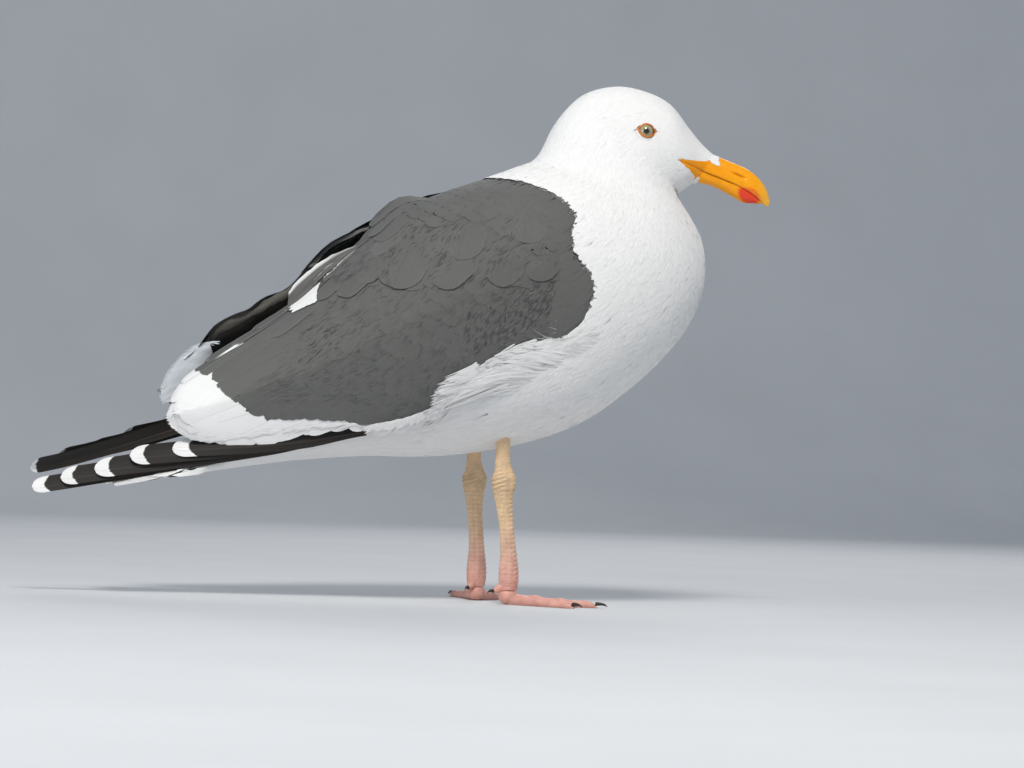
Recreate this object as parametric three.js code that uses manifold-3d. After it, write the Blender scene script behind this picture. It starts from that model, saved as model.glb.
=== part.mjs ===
// Western gull, standing at rest with its wings folded: a still, life-size model.
// Millimetres, +Z up.  The bird faces +X, its left side is +Y, and it stands on z = 0.
// The body is one loft whose rings fan round the throat and run back to the tail.
// The wings are curved shells laid over it, and the wing tips are stacks of blades.

import * as THREE from 'three';
import { mergeVertices } from 'three/addons/utils/BufferGeometryUtils.js';
import Module from 'manifold-3d';

const wasm = await Module();
wasm.setup();

// ---------------------------------------------------------------- driving sizes

const GAP = 0.3;                 // clear gap between pieces that meet
const HEAD_TURN = -14;           // degrees, the head looks to the bird's right
const NECK_PIVOT_X = 70;         // the vertical axis that the head turns about
const AROUND = 22;               // facets round the body
const RINGS_PER_STATION = 1.16;  // body rings for each named station

const BILL_TIP_X = 179.5;        // before the head is turned
const EYE_RADIUS = 6.6;
const EYE_CENTRE = { x: 89.0, z: 332.2 };
const EYE_STAND_OUT = 0.9;       // how far the eyeball stands out of the head

const FAR_WING_LIFT = 18;        // the left wing is carried this much higher
const WING_STEPS = 14;           // facets along a wing
const WING_ACROSS = 8;           // facets across a wing
const WING_EDGE = 1.3;           // thickness at a wing's free edge

const STANCE_HALF = 27;          // each leg stands this far from the midline
const LEG_RIGHT_X = -11.8;       // ankle joints
const LEG_LEFT_X = -19.8;
const LEAN_RIGHT = 6.0;          // how far a tarsus slopes forward on its way down
const LEAN_LEFT = 4.0;
const ANKLE_Z = 85;
const FOOT_TOP_Z = 17;
const RIGHT_FOOT_AZIMUTH = -24;  // direction of the middle toe
const LEFT_FOOT_AZIMUTH = 70;
const TOE_SPLAY = 26;
const TOE = { inner: 42, middle: 62, outer: 55 };  // toe lengths without the claws
const CLAW_LENGTH = 8.5;
const WEB_THICKNESS = 1.4;

// Body stations from the bill back to the tail.  back and front are the two ends of
// a ring in the bird's midplane [x, z]; half is the ring's half width; at is where
// along the ring, from back to front, it is widest; full below 1 squares the ring.
const STATIONS = [
  { name: 'bill_base',  back: [139.0, 319.8], front: [124.5, 300.0], half: 8.6,  at: 0.52, full: 1.00 },
  { name: 'lores',      back: [130.5, 327.0], front: [121.5, 297.3], half: 13.0, at: 0.52, full: 1.00 },
  { name: 'forehead',   back: [121.0, 337.6], front: [118.3, 294.6], half: 18.0, at: 0.52, full: 0.98 },
  { name: 'brow',       back: [106.5, 354.8], front: [115.3, 292.2], half: 22.6, at: 0.52, full: 0.96 },
  { name: 'crown',      back: [87.0, 363.6],  front: [113.6, 290.6], half: 26.0, at: 0.52, full: 0.96 },
  { name: 'hindcrown',  back: [66.0, 365.8],  front: [114.0, 289.0], half: 29.0, at: 0.54, full: 0.96 },
  { name: 'occiput',    back: [43.5, 358.3],  front: [116.0, 286.2], half: 32.5, at: 0.56, full: 0.96 },
  { name: 'nape',       back: [26.0, 338.5],  front: [119.0, 282.0], half: 37.0, at: 0.56, full: 0.96 },
  { name: 'hindneck',   back: [13.2, 313.5],  front: [125.0, 273.0], half: 43.5, at: 0.55, full: 0.95 },
  { name: 'collar',     back: [-2.0, 305.5],  front: [132.5, 258.5], half: 51.5, at: 0.54, full: 0.94 },
  { name: 'shoulder',   back: [-20.0, 298.2], front: [135.5, 238.0], half: 60.0, at: 0.53, full: 0.93 },
  { name: 'mantle',     back: [-38.0, 291.0], front: [132.4, 216.4], half: 66.0, at: 0.52, full: 0.92 },
  { name: 'breast',     back: [-56.0, 284.0], front: [121.2, 193.2], half: 70.0, at: 0.51, full: 0.92 },
  { name: 'keel',       back: [-72.0, 276.5], front: [103.0, 170.6], half: 72.0, at: 0.50, full: 0.92 },
  { name: 'belly',      back: [-87.0, 265.5], front: [79.0, 148.6],  half: 72.0, at: 0.49, full: 0.92 },
  { name: 'flank',      back: [-101.0, 248.0], front: [51.0, 128.3], half: 70.0, at: 0.48, full: 0.92 },
  { name: 'thigh',      back: [-114.0, 227.0], front: [17.0, 114.2], half: 66.0, at: 0.47, full: 0.93 },
  { name: 'vent',       back: [-128.0, 203.0], front: [-20.0, 105.2], half: 59.0, at: 0.46, full: 0.94 },
  { name: 'rump',       back: [-143.0, 177.0], front: [-60.0, 100.0], half: 50.0, at: 0.46, full: 0.95 },
  { name: 'crissum',    back: [-159.0, 150.0], front: [-103.0, 99.0], half: 40.5, at: 0.47, full: 0.96 },
  { name: 'tail_base',  back: [-176.0, 126.5], front: [-146.0, 95.0], half: 33.5, at: 0.50, full: 0.96 },
  { name: 'tail_cover', back: [-195.0, 109.5], front: [-184.0, 89.5], half: 31.0, at: 0.50, full: 0.94 },
  { name: 'tail_root',  back: [-217.0, 95.5],  front: [-214.0, 84.5], half: 31.0, at: 0.50, full: 0.90 },
  { name: 'tail_mid',   back: [-241.0, 88.0],  front: [-240.0, 81.5], half: 32.0, at: 0.50, full: 0.85 },
  { name: 'tail_end',   back: [-264.0, 81.6],  front: [-263.5, 77.6], half: 33.0, at: 0.50, full: 0.80 },
  { name: 'tail_tip',   back: [-279.0, 77.6],  front: [-278.8, 75.4], half: 28.0, at: 0.50, full: 0.75 },
];
const TAIL_DROOP = 3.5;          // the tail's edges hang lower than its middle
const TAIL_FROM = 20;            // station where the droop begins

// Folded wing, from the wrist back to the tip of the tertials.  Each line is a
// section: upper edge, widest place and lower edge, as [x, distance from midline, z].
const WING = [
  { top: [39, 33, 267],   side: [45, 64, 230],    low: [37, 63, 191],    round: 0.95, thick: 4.5 },
  { top: [10, 24, 283],   side: [8, 72.5, 226],     low: [5, 68, 176],     round: 0.90, thick: 9.0 },
  { top: [-25, 17, 288],  side: [-26, 75.5, 217], low: [-30, 68, 165],   round: 0.85, thick: 10.0 },
  { top: [-62, 13, 277],  side: [-62, 75, 204],   low: [-66, 62, 135],   round: 0.80, thick: 10.0 },
  { top: [-97, 11, 258],  side: [-97, 70, 186],   low: [-98, 57, 121.5],   round: 0.72, thick: 9.5 },
  { top: [-130, 10, 229], side: [-129, 62, 168],  low: [-128, 53, 118.5], round: 0.62, thick: 8.5 },
  { top: [-160, 10, 201], side: [-159, 55, 154],  low: [-158, 47, 114],  round: 0.55, thick: 7.0 },
  { top: [-190, 12, 179], side: [-188, 48, 142],  low: [-186, 42, 109.5], round: 0.50, thick: 5.5 },
  { top: [-216, 15, 160], side: [-215, 41, 131],  low: [-212, 36, 106],  round: 0.50, thick: 4.0 },
  { top: [-236, 19, 143], side: [-238, 35, 124],  low: [-230, 32, 107],  round: 0.50, thick: 3.0 },
  { top: [-246.5, 24, 124], side: [-246.5, 28, 120], low: [-243, 29, 114], round: 0.50, thick: 2.0 },
];

// Folded primaries of one wing, lowest and shortest first.  root and tip are
// [x, distance from midline, z]; wide is the blade's full width near its middle.
const PRIMARIES = [
  { root: [-112, 46, 117], tip: [-241, 27.5, 99.5],  wide: 15, thick: 2.2 },
  { root: [-112, 44, 118], tip: [-269, 22.5, 93.5],  wide: 16, thick: 2.2 },
  { root: [-112, 42, 119], tip: [-292, 18, 84.0],  wide: 16, thick: 2.2 },
  { root: [-112, 40, 120], tip: [-314, 13.5, 77.5],    wide: 15, thick: 2.0 },
  { root: [-112, 38, 121], tip: [-332.5, 9.5, 70.5], wide: 13, thick: 1.8 },
];
const PRIMARY_LEAN = 0.62;       // blades lean from upright towards flat, in radians

// ---------------------------------------------------------------- small maths

const rad = THREE.MathUtils.degToRad;
const lerp = THREE.MathUtils.lerp;
const clamp01 = (v) => Math.min(1, Math.max(0, v));
const smooth = (a, b, v) => { const k = clamp01((v - a) / (b - a)); return k * k * (3 - 2 * k); };
const power = (v, p) => Math.sign(v) * Math.pow(Math.abs(v), p);

// Smooth curve through evenly numbered keys.
function spline(keys, t) {
  const n = keys.length - 1;
  const k = Math.min(n - 1, Math.max(0, Math.floor(t)));
  const f = t - k;
  const a = keys[Math.max(0, k - 1)], b = keys[k], c = keys[k + 1], d = keys[Math.min(n, k + 2)];
  return 0.5 * (2 * b + (c - a) * f + (2 * a - 5 * b + 4 * c - d) * f * f
    + (3 * b - a - 3 * c + d) * f * f * f);
}
const column = (rows, pick) => rows.map(pick);

function turnHead(p, weight) {
  const a = rad(HEAD_TURN) * weight;
  const dx = p.x - NECK_PIVOT_X;
  return new THREE.Vector3(
    NECK_PIVOT_X + dx * Math.cos(a) - p.y * Math.sin(a),
    dx * Math.sin(a) + p.y * Math.cos(a), p.z);
}
const headTurnWeight = (t) => 1 - smooth(5.5, 10.5, t);
const headPoint = (x, y, z) => turnHead(new THREE.Vector3(x, y, z), 1);

// ---------------------------------------------------------------- closed shapes

// Rings of equal length, joined in order, with a fan at each end.
function ringLoft(rings) {
  const n = rings[0].length;
  const points = [];
  const faces = [];
  for (const ring of rings) for (const p of ring) points.push(p.x, p.y, p.z);
  for (let r = 0; r + 1 < rings.length; r++) {
    for (let i = 0; i < n; i++) {
      const j = (i + 1) % n;
      const a = r * n + i, b = r * n + j, c = (r + 1) * n + i, d = (r + 1) * n + j;
      faces.push(a, b, c, b, d, c);
    }
  }
  for (const end of [0, rings.length - 1]) {
    const mid = new THREE.Vector3();
    for (const p of rings[end]) mid.addScaledVector(p, 1 / n);
    const m = points.length / 3;
    points.push(mid.x, mid.y, mid.z);
    for (let i = 0; i < n; i++) {
      const a = end * n + i, b = end * n + (i + 1) % n;
      if (end === 0) faces.push(a, m, b); else faces.push(a, b, m);
    }
  }
  return solidFrom(points, faces);
}

// A plate between two grids of points, outer[i][j] and inner[i][j].
function plate(outer, inner) {
  const rows = outer.length, cols = outer[0].length;
  const points = [];
  const faces = [];
  for (const grid of [outer, inner]) for (const row of grid) for (const p of row) points.push(p.x, p.y, p.z);
  const o = (i, j) => i * cols + j;
  const q = (i, j) => rows * cols + i * cols + j;
  const quad = (a, b, c, d) => faces.push(a, b, c, a, c, d);
  for (let i = 0; i + 1 < rows; i++) for (let j = 0; j + 1 < cols; j++) {
    quad(o(i, j), o(i + 1, j), o(i + 1, j + 1), o(i, j + 1));
    quad(q(i, j), q(i, j + 1), q(i + 1, j + 1), q(i + 1, j));
  }
  for (let i = 0; i + 1 < rows; i++) {
    quad(o(i, 0), q(i, 0), q(i + 1, 0), o(i + 1, 0));
    quad(o(i, cols - 1), o(i + 1, cols - 1), q(i + 1, cols - 1), q(i, cols - 1));
  }
  for (let j = 0; j + 1 < cols; j++) {
    quad(o(0, j), o(0, j + 1), q(0, j + 1), q(0, j));
    quad(o(rows - 1, j), q(rows - 1, j), q(rows - 1, j + 1), o(rows - 1, j + 1));
  }
  return solidFrom(points, faces);
}

function signedVolume(points, faces) {
  let v = 0;
  const at = (i) => new THREE.Vector3(points[3 * i], points[3 * i + 1], points[3 * i + 2]);
  for (let f = 0; f < faces.length; f += 3) {
    v += at(faces[f]).dot(at(faces[f + 1]).cross(at(faces[f + 2]))) / 6;
  }
  return v;
}

function solidFrom(points, faces) {
  if (signedVolume(points, faces) < 0) {
    for (let f = 0; f < faces.length; f += 3) [faces[f], faces[f + 1]] = [faces[f + 1], faces[f]];
  }
  const geometry = new THREE.BufferGeometry();
  geometry.setAttribute('position', new THREE.Float32BufferAttribute(points, 3));
  geometry.setIndex(faces);
  return toSolid(geometry);
}

function toSolid(geometry, matrix) {
  const g = geometry.clone();
  g.deleteAttribute('normal');
  g.deleteAttribute('uv');
  const m = mergeVertices(g, 1e-4);
  if (matrix) m.applyMatrix4(matrix);
  return new wasm.Manifold(new wasm.Mesh({
    numProp: 3,
    vertProperties: new Float32Array(m.attributes.position.array),
    triVerts: new Uint32Array(m.index.array),
  }));
}

function toGeometry(solid) {
  const mesh = solid.getMesh();
  const positions = new Float32Array(mesh.numVert * 3);
  for (let i = 0; i < mesh.numVert; i++) {
    for (let k = 0; k < 3; k++) positions[3 * i + k] = mesh.vertProperties[mesh.numProp * i + k];
  }
  const g = new THREE.BufferGeometry();
  g.setAttribute('position', new THREE.BufferAttribute(positions, 3));
  g.setIndex(Array.from(mesh.triVerts));
  g.computeVertexNormals();
  return g;
}

// The biggest piece left after a cut.
function mainPiece(solid) {
  const bits = solid.decompose();
  return bits.reduce((best, s) => (Math.abs(s.volume()) > Math.abs(best.volume()) ? s : best), bits[0]);
}

// A large block that starts at a plane and fills the side its normal points to.
function halfSpace(point, normal) {
  const size = 1200;
  const n = normal.clone().normalize();
  const turn = new THREE.Quaternion().setFromUnitVectors(new THREE.Vector3(0, 0, 1), n);
  const centre = point.clone().addScaledVector(n, size / 2);
  const matrix = new THREE.Matrix4().compose(centre, turn, new THREE.Vector3(1, 1, 1));
  return toSolid(new THREE.BoxGeometry(size, size, size), matrix);
}

function ball(centre, rx, ry, rz, across = 16, up = 10, turn = new THREE.Quaternion()) {
  const matrix = new THREE.Matrix4().compose(centre, turn, new THREE.Vector3(rx, ry, rz));
  return toSolid(new THREE.SphereGeometry(1, across, up), matrix);
}

// ---------------------------------------------------------------- body

function bodyPoint(t, angle, grow = 0) {
  const row = (pick) => spline(column(STATIONS, pick), t);
  const bx = row((s) => s.back[0]), bz = row((s) => s.back[1]);
  const fx = row((s) => s.front[0]), fz = row((s) => s.front[1]);
  const half = row((s) => s.half) + grow;
  const at = row((s) => s.at), full = row((s) => s.full);
  const c = power(Math.cos(angle), full), s = power(Math.sin(angle), full);
  const u = c >= 0 ? at - at * c : at - (1 - at) * c;
  const len = Math.hypot(fx - bx, fz - bz);
  const v = u + (u - 0.5) * 2 * grow / len;
  const y = half * s;
  const droop = TAIL_DROOP * smooth(TAIL_FROM, STATIONS.length - 2, t) * (y / half) ** 2;
  const p = new THREE.Vector3(lerp(bx, fx, v), y, lerp(bz, fz, v) - droop);
  return turnHead(p, headTurnWeight(t));
}

function bodySolid(grow = 0) {
  const last = STATIONS.length - 1;
  const steps = Math.round(last * RINGS_PER_STATION);
  const rings = [];
  for (let k = 0; k <= steps; k++) {
    const t = last * k / steps;
    const ring = [];
    for (let i = 0; i < AROUND; i++) ring.push(bodyPoint(t, 2 * Math.PI * i / AROUND, grow));
    rings.push(ring);
  }
  return ringLoft(rings);
}

// ---------------------------------------------------------------- wings

const wingLift = (side, s) => (side > 0 ? lerp(FAR_WING_LIFT * smooth(0.16, 0.55, s), 20, smooth(0.75, 1, s)) : 0);
const wingReach = (side, s) => (side > 0 ? -3 * smooth(0.7, 1, s) : 0);
// the near wing's shoulder feathers stand up over the back in a bundle
const shoulderRise = (side, s) => (side < 0 ? 8.5 * Math.exp(-(((s - 0.372) / 0.055) ** 2)) : 0);

function wingSection(s, side) {
  const t = s * (WING.length - 1);
  const get = (key) => new THREE.Vector3(
    spline(column(WING, (w) => w[key][0]), t) + wingReach(side, s),
    side * spline(column(WING, (w) => w[key][1]), t),
    spline(column(WING, (w) => w[key][2]), t) + wingLift(side, s) + (key === 'top' ? shoulderRise(side, s) : 0));
  return {
    top: get('top'), mid: get('side'), low: get('low'),
    round: spline(column(WING, (w) => w.round), t),
    thick: spline(column(WING, (w) => w.thick), t),
  };
}

// v runs from the upper edge (0) over the widest place (0.5) to the lower edge (1).
function wingPoint(s, v, side) {
  const w = wingSection(s, side);
  const out = new THREE.Vector3();
  if (v <= 0.5) {
    const a = v * Math.PI;
    const arcY = Math.sin(a), arcZ = 1 - Math.cos(a), line = v * 2;
    const ky = lerp(line, arcY, w.round), kz = lerp(line, arcZ, w.round);
    out.set(lerp(w.top.x, w.mid.x, line), lerp(w.top.y, w.mid.y, ky), lerp(w.top.z, w.mid.z, kz));
  } else {
    const a = (v - 0.5) * Math.PI;
    const arcY = 1 - Math.cos(a), arcZ = Math.sin(a), line = v * 2 - 1;
    const ky = lerp(line, arcY, w.round), kz = lerp(line, arcZ, 0.5 * w.round);
    out.set(lerp(w.mid.x, w.low.x, line), lerp(w.mid.y, w.low.y, ky), lerp(w.mid.z, w.low.z, kz));
  }
  return out;
}

function wingNormal(s, v, side) {
  const e = 0.01;
  const s0 = Math.max(0, s - e), s1 = Math.min(1, s + e);
  const v0 = Math.max(0, v - e), v1 = Math.min(1, v + e);
  const ds = wingPoint(s1, v, side).sub(wingPoint(s0, v, side));
  const dv = wingPoint(s, v1, side).sub(wingPoint(s, v0, side));
  const n = ds.cross(dv).normalize();
  if (n.y * side < 0) n.negate();
  return n;
}

function wingSolid(side, { inner = 0, outer = 0, spread = 0 } = {}) {
  const outGrid = [], inGrid = [];
  for (let i = 0; i <= WING_STEPS; i++) {
    const s = i / WING_STEPS;
    const rowOut = [], rowIn = [];
    const edgeS = Math.pow(Math.sin(Math.PI * clamp01(0.06 + 0.94 * s)), 0.35);
    for (let j = 0; j <= WING_ACROSS; j++) {
      const v = j / WING_ACROSS;
      const p = wingPoint(s, v, side), n = wingNormal(s, v, side);
      const body = Math.pow(Math.sin(Math.PI * v), 0.5) * (s < 0.97 ? edgeS : edgeS * 0.7);
      const thick = WING_EDGE + Math.max(0, wingSection(s, side).thick - WING_EDGE) * body;
      if (spread > 0) {
        const c = wingPoint(0.45, 0.5, side);
        const along = wingPoint(Math.min(1, s + 0.02), v, side).sub(wingPoint(Math.max(0, s - 0.02), v, side)).normalize();
        const across = wingPoint(s, Math.min(1, v + 0.02), side).sub(wingPoint(s, Math.max(0, v - 0.02), side)).normalize();
        if (i === 0) p.addScaledVector(along, -spread);
        if (i === WING_STEPS) p.addScaledVector(along, spread);
        if (j === 0) p.addScaledVector(across, -spread);
        if (j === WING_ACROSS) p.addScaledVector(across, spread);
      }
      rowOut.push(p.clone().addScaledVector(n, outer));
      rowIn.push(p.clone().addScaledVector(n, -thick - inner));
    }
    outGrid.push(rowOut);
    inGrid.push(rowIn);
  }
  return plate(outGrid, inGrid);
}

// All the room outside a wing: its middle surface swept up and away from the body.
function wingSweep(side) {
  const sweep = new THREE.Vector3(0, side * 0.75, 0.66).multiplyScalar(60);
  const outGrid = [], inGrid = [];
  for (let i = 0; i <= WING_STEPS; i++) {
    const s = i / WING_STEPS;
    const rowOut = [], rowIn = [];
    for (let j = 0; j <= WING_ACROSS; j++) {
      const p = wingPoint(s, j / WING_ACROSS, side), n = wingNormal(s, j / WING_ACROSS, side);
      p.addScaledVector(n, -WING_EDGE / 2);
      rowIn.push(p);
      rowOut.push(p.clone().add(sweep));
    }
    outGrid.push(rowOut);
    inGrid.push(rowIn);
  }
  return plate(outGrid, inGrid);
}

// ---------------------------------------------------------------- primaries

const primaryLift = (side, along) => (side > 0 ? lerp(27, 13, smooth(0.3, 1, along)) : 0);

function primaryBlade(row, side, grow = 0) {
  const stops = [0, 0.4, 0.78, 0.92, 0.975, 1];
  const steps = stops.length - 1;
  const rings = [];
  for (let k = 0; k <= steps; k++) {
    const a = stops[k];
    const x = lerp(row.root[0], row.tip[0], a);
    const bow = Math.sin(Math.PI * a);
    const y = side * (lerp(row.root[1], row.tip[1], a) + 2.5 * bow);
    const z = lerp(row.root[2], row.tip[2], a) - 1.5 * bow + primaryLift(side, a);
    const tip = 0.12 + 0.88 * Math.sqrt(Math.max(0, 1 - (Math.max(0, a - 0.88) / 0.12) ** 2));
    const half = (row.wide / 2) * lerp(0.55, 1, smooth(0, 0.35, a)) * tip + grow;
    const thick = (row.thick / 2) * lerp(1.1, 0.55, a) + grow;
    const lean = PRIMARY_LEAN * smooth(0.2, 1, a);
    const up = new THREE.Vector3(0, -side * Math.sin(lean), Math.cos(lean));
    const out = new THREE.Vector3(0, side * Math.cos(lean), Math.sin(lean));
    const c = new THREE.Vector3(x + (k === steps ? -grow : k === 0 ? grow : 0), y, z);
    rings.push([
      c.clone().addScaledVector(up, half),
      c.clone().addScaledVector(up, half * 0.5).addScaledVector(out, thick),
      c.clone().addScaledVector(up, -half * 0.5).addScaledVector(out, thick),
      c.clone().addScaledVector(up, -half),
      c.clone().addScaledVector(up, -half * 0.5).addScaledVector(out, -thick),
      c.clone().addScaledVector(up, half * 0.5).addScaledVector(out, -thick),
    ]);
  }
  return ringLoft(rings);
}

const primaryStack = (side, grow = 0) => PRIMARIES
  .map((row) => primaryBlade(row, side, grow))
  .reduce((all, blade) => all.add(blade));

// ---------------------------------------------------------------- bill

// Rings of the bill: culmen (top) and lower outline, and the cutting edge between.
const BILL = [
  { x: 0.00, top: [139.6, 319.6], bite: [131.5, 307.6], low: [125.2, 299.8], half: 8.5 },
  { x: 0.25, top: [151.5, 315.3], bite: [144.0, 303.2], low: [137.5, 297.6], half: 7.4 },
  { x: 0.50, top: [163.0, 310.6], bite: [154.5, 299.2], low: [150.5, 292.2], half: 6.4 },
  { x: 0.70, top: [171.5, 304.0], bite: [163.0, 295.2], low: [160.0, 287.3], half: 5.4 },
  { x: 0.85, top: [177.0, 296.0], bite: [169.0, 291.6], low: [167.0, 286.9], half: 4.0 },
  { x: 1.00, top: [179.2, 288.0], bite: [174.0, 287.2], low: [172.5, 286.6], half: 1.6 },
];

function billRing(t, upper) {
  const get = (pick) => spline(column(BILL, pick), t);
  const top = [get((b) => b.top[0]), get((b) => b.top[1])];
  const bite = [get((b) => b.bite[0]), get((b) => b.bite[1])];
  const low = [get((b) => b.low[0]), get((b) => b.low[1])];
  const half = get((b) => b.half);
  const ring = [];
  const sides = 7;
  for (let i = 0; i <= sides; i++) {
    const a = Math.PI * i / sides - Math.PI / 2;   // -90 .. 90 degrees, right to left
    const y = half * Math.sin(a) * (upper ? 1 : 0.9);
    const k = Math.pow(Math.cos(a), 0.75);
    const end = upper ? top : low;
    const gap = (upper ? 1 : -1) * GAP / 2;
    ring.push(headPoint(lerp(bite[0], end[0], k), y, lerp(bite[1], end[1], k) + gap));
  }
  return ring;
}

function billUpper() {
  const rings = [];
  for (let k = 0; k <= 10; k++) rings.push(billRing(5 * k / 10, true));
  rings.push(billRing(5, true).map((p) => p.lerp(headPoint(178.0, 0, 284.6), 0.8)));
  return ringLoft(rings);
}

function billLower() {
  const rings = [];
  for (let k = 0; k <= 9; k++) rings.push(billRing(4.72 * k / 9, false));
  return ringLoft(rings);
}

// ---------------------------------------------------------------- legs and feet

// A leg length: each row gives z, its share of the lean, and the half sizes fore-aft and across.
function legLength(x, y, rows, lean, around = 9, finer = 2) {
  const rings = [];
  const steps = (rows.length - 1) * finer;
  for (let k = 0; k <= steps; k++) {
    const t = k / finer;
    const get = (i) => spline(rows.map((r) => r[i]), t);
    const ring = [];
    for (let i = 0; i < around; i++) {
      const a = 2 * Math.PI * i / around;
      ring.push(new THREE.Vector3(x + get(1) * lean + 1.6 + get(2) * Math.cos(a), y + get(3) * Math.sin(a), get(0)));
    }
    rings.push(ring);
  }
  return ringLoft(rings);
}

const SHIN_ROWS = [   // feathered root down to the top of the ankle
  [140, -0.5, 7.5, 7.0], [125, -0.3, 5.4, 5.2], [110, -0.2, 4.9, 4.4],
  [98, -0.2, 5.3, 4.2], [91.5, 0, 6.6, 4.9],
];
const TARSUS_ROWS = [ // ankle joint down to the root of the toes
  [91.2, 0, 6.9, 5.0], [87, 0, 8.6, 6.0], [81, 0, 8.2, 5.6], [74, 0.05, 6.6, 4.4],
  [64, 0.28, 5.3, 3.6], [50, 0.62, 4.9, 3.4], [35, 0.88, 5.5, 3.6], [25, 0.97, 6.6, 4.2],
  [FOOT_TOP_Z, 1.0, 7.9, 5.4],
];

function toeSolid(root, azimuth, length, thick) {
  const dir = new THREE.Vector3(Math.cos(azimuth), Math.sin(azimuth), 0);
  const side = new THREE.Vector3(-dir.y, dir.x, 0);
  const rings = [];
  const steps = 7;
  for (let k = 0; k <= steps; k++) {
    const a = 1 - (1 - k / steps) ** 1.25;
    const pads = 1 + 0.10 * Math.cos(2 * Math.PI * 3 * a);
    const end = Math.sqrt(1 - smooth(0.86, 1, a) * 0.8);
    const half = lerp(thick, thick * 0.62, a) * pads * end;
    const rise = lerp(thick * 1.25, thick * 0.62, Math.sqrt(a)) * end;
    const base = -0.7;
    const ring = [];
    for (let i = 0; i < 7; i++) {
      const b = 2 * Math.PI * (i + 0.25) / 7;
      const z = base + rise + rise * Math.sin(b) + (1 - end) * rise * 0.9;
      ring.push(root.clone().addScaledVector(dir, a * length)
        .addScaledVector(side, half * Math.cos(b)).setZ(z));
    }
    rings.push(ring);
  }
  return ringLoft(rings);
}

function webSolid(root, azimuthA, lengthA, azimuthB, lengthB) {
  const top = [], bottom = [];
  const across = 4, along = 3;
  for (let i = 0; i <= across; i++) {
    const a = i / across;
    const azimuth = lerp(azimuthA, azimuthB, a);
    const reach = lerp(lengthA, lengthB, a) * (1 - 0.22 * Math.sin(Math.PI * a));
    const rowTop = [], rowBottom = [];
    for (let j = 0; j <= along; j++) {
      const b = lerp(0.05, 1, j / along);
      const x = root.x + Math.cos(azimuth) * reach * b, y = root.y + Math.sin(azimuth) * reach * b;
      const z = lerp(5.5, 1.4, Math.sqrt(b));
      rowTop.push(new THREE.Vector3(x, y, z + WEB_THICKNESS / 2));
      rowBottom.push(new THREE.Vector3(x, y, z - WEB_THICKNESS / 2));
    }
    top.push(rowTop);
    bottom.push(rowBottom);
  }
  return plate(top, bottom);
}

function clawSolid(root, azimuth, length, thick) {
  const dir = new THREE.Vector3(Math.cos(azimuth), Math.sin(azimuth), 0);
  const side = new THREE.Vector3(-dir.y, dir.x, 0);
  const rings = [];
  for (let k = 0; k <= 3; k++) {
    const a = k / 3;
    const r = thick * lerp(1, 0.18, a);
    const ring = [];
    for (let i = 0; i < 6; i++) {
      const b = 2 * Math.PI * i / 6;
      ring.push(root.clone().addScaledVector(dir, length * Math.sin(a * 1.25) / Math.sin(1.25) + r * 0.3 * Math.sin(b))
        .addScaledVector(side, r * 0.8 * Math.cos(b))
        .add(new THREE.Vector3(0, 0, r * 1.15 * Math.sin(b) - (root.z - 0.5) * 0.6 * a * a)));
    }
    rings.push(ring);
  }
  return ringLoft(rings);
}

function footPieces(side, ankleX, lean, footAzimuth) {
  const y = side * STANCE_HALF;
  const hub = new THREE.Vector3(ankleX + lean + 2.4, y, 0);
  const main = rad(footAzimuth);
  const toes = [
    { key: 'inner', azimuth: main - side * rad(TOE_SPLAY), length: TOE.inner, thick: 3.7 },
    { key: 'middle', azimuth: main, length: TOE.middle, thick: 4.1 },
    { key: 'outer', azimuth: main + side * rad(TOE_SPLAY), length: TOE.outer, thick: 3.8 },
  ];
  let foot = ball(new THREE.Vector3(hub.x - 0.5, y, 8.2), 8.9, 6.6, 8.9, 10, 6);
  for (const t of toes) foot = foot.add(toeSolid(hub, t.azimuth, t.length, t.thick));
  foot = foot.add(webSolid(hub, toes[0].azimuth, TOE.inner * 0.93, toes[1].azimuth, TOE.middle * 0.84));
  foot = foot.add(webSolid(hub, toes[1].azimuth, TOE.middle * 0.84, toes[2].azimuth, TOE.outer * 0.92));

  const halluxWay = main + Math.PI - side * 0.45;
  const halluxRoot = new THREE.Vector3(hub.x + 6.2 * Math.cos(halluxWay), y + 5.2 * Math.sin(halluxWay), 11.5);
  const halluxTurn = new THREE.Quaternion().setFromEuler(new THREE.Euler(0, rad(28), halluxWay, 'ZYX'));
  foot = foot.add(ball(halluxRoot, 5.6, 2.5, 2.7, 8, 5, halluxTurn));
  foot = foot.intersect(halfSpace(new THREE.Vector3(), new THREE.Vector3(0, 0, 1)));

  const claws = toes.map((t) => {
    const root = new THREE.Vector3(hub.x + Math.cos(t.azimuth) * (t.length + 2 * GAP),
      hub.y + Math.sin(t.azimuth) * (t.length + 2 * GAP), 2.6);
    return { key: t.key, solid: clawSolid(root, t.azimuth, CLAW_LENGTH, 1.6) };
  });
  const halluxTip = halluxRoot.clone().add(new THREE.Vector3(5.5 * Math.cos(halluxWay), 5.5 * Math.sin(halluxWay), -3.0));
  claws.push({ key: 'hallux', solid: clawSolid(halluxTip, halluxWay, 3.6, 1.15) });
  return { foot: mainPiece(foot), claws, hub };
}

// ---------------------------------------------------------------- looks

const finish = (color, roughness) => new THREE.MeshStandardMaterial({ color, roughness, metalness: 0 });
const WHITE_PLUMAGE = finish(0xf2f1ee, 0.85);
const GREY_PLUMAGE = finish(0x64645f, 0.8);
const BLACK_PLUMAGE = finish(0x272321, 0.6);
const BILL_HORN = finish(0xe9a01c, 0.35);
const EYE_WET = finish(0x9a9260, 0.08);
const LEG_SKIN = finish(0xd9a593, 0.6);
const CLAW_HORN = finish(0x1c1815, 0.4);

// ---------------------------------------------------------------- assembly

const gull = new THREE.Group();

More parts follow.
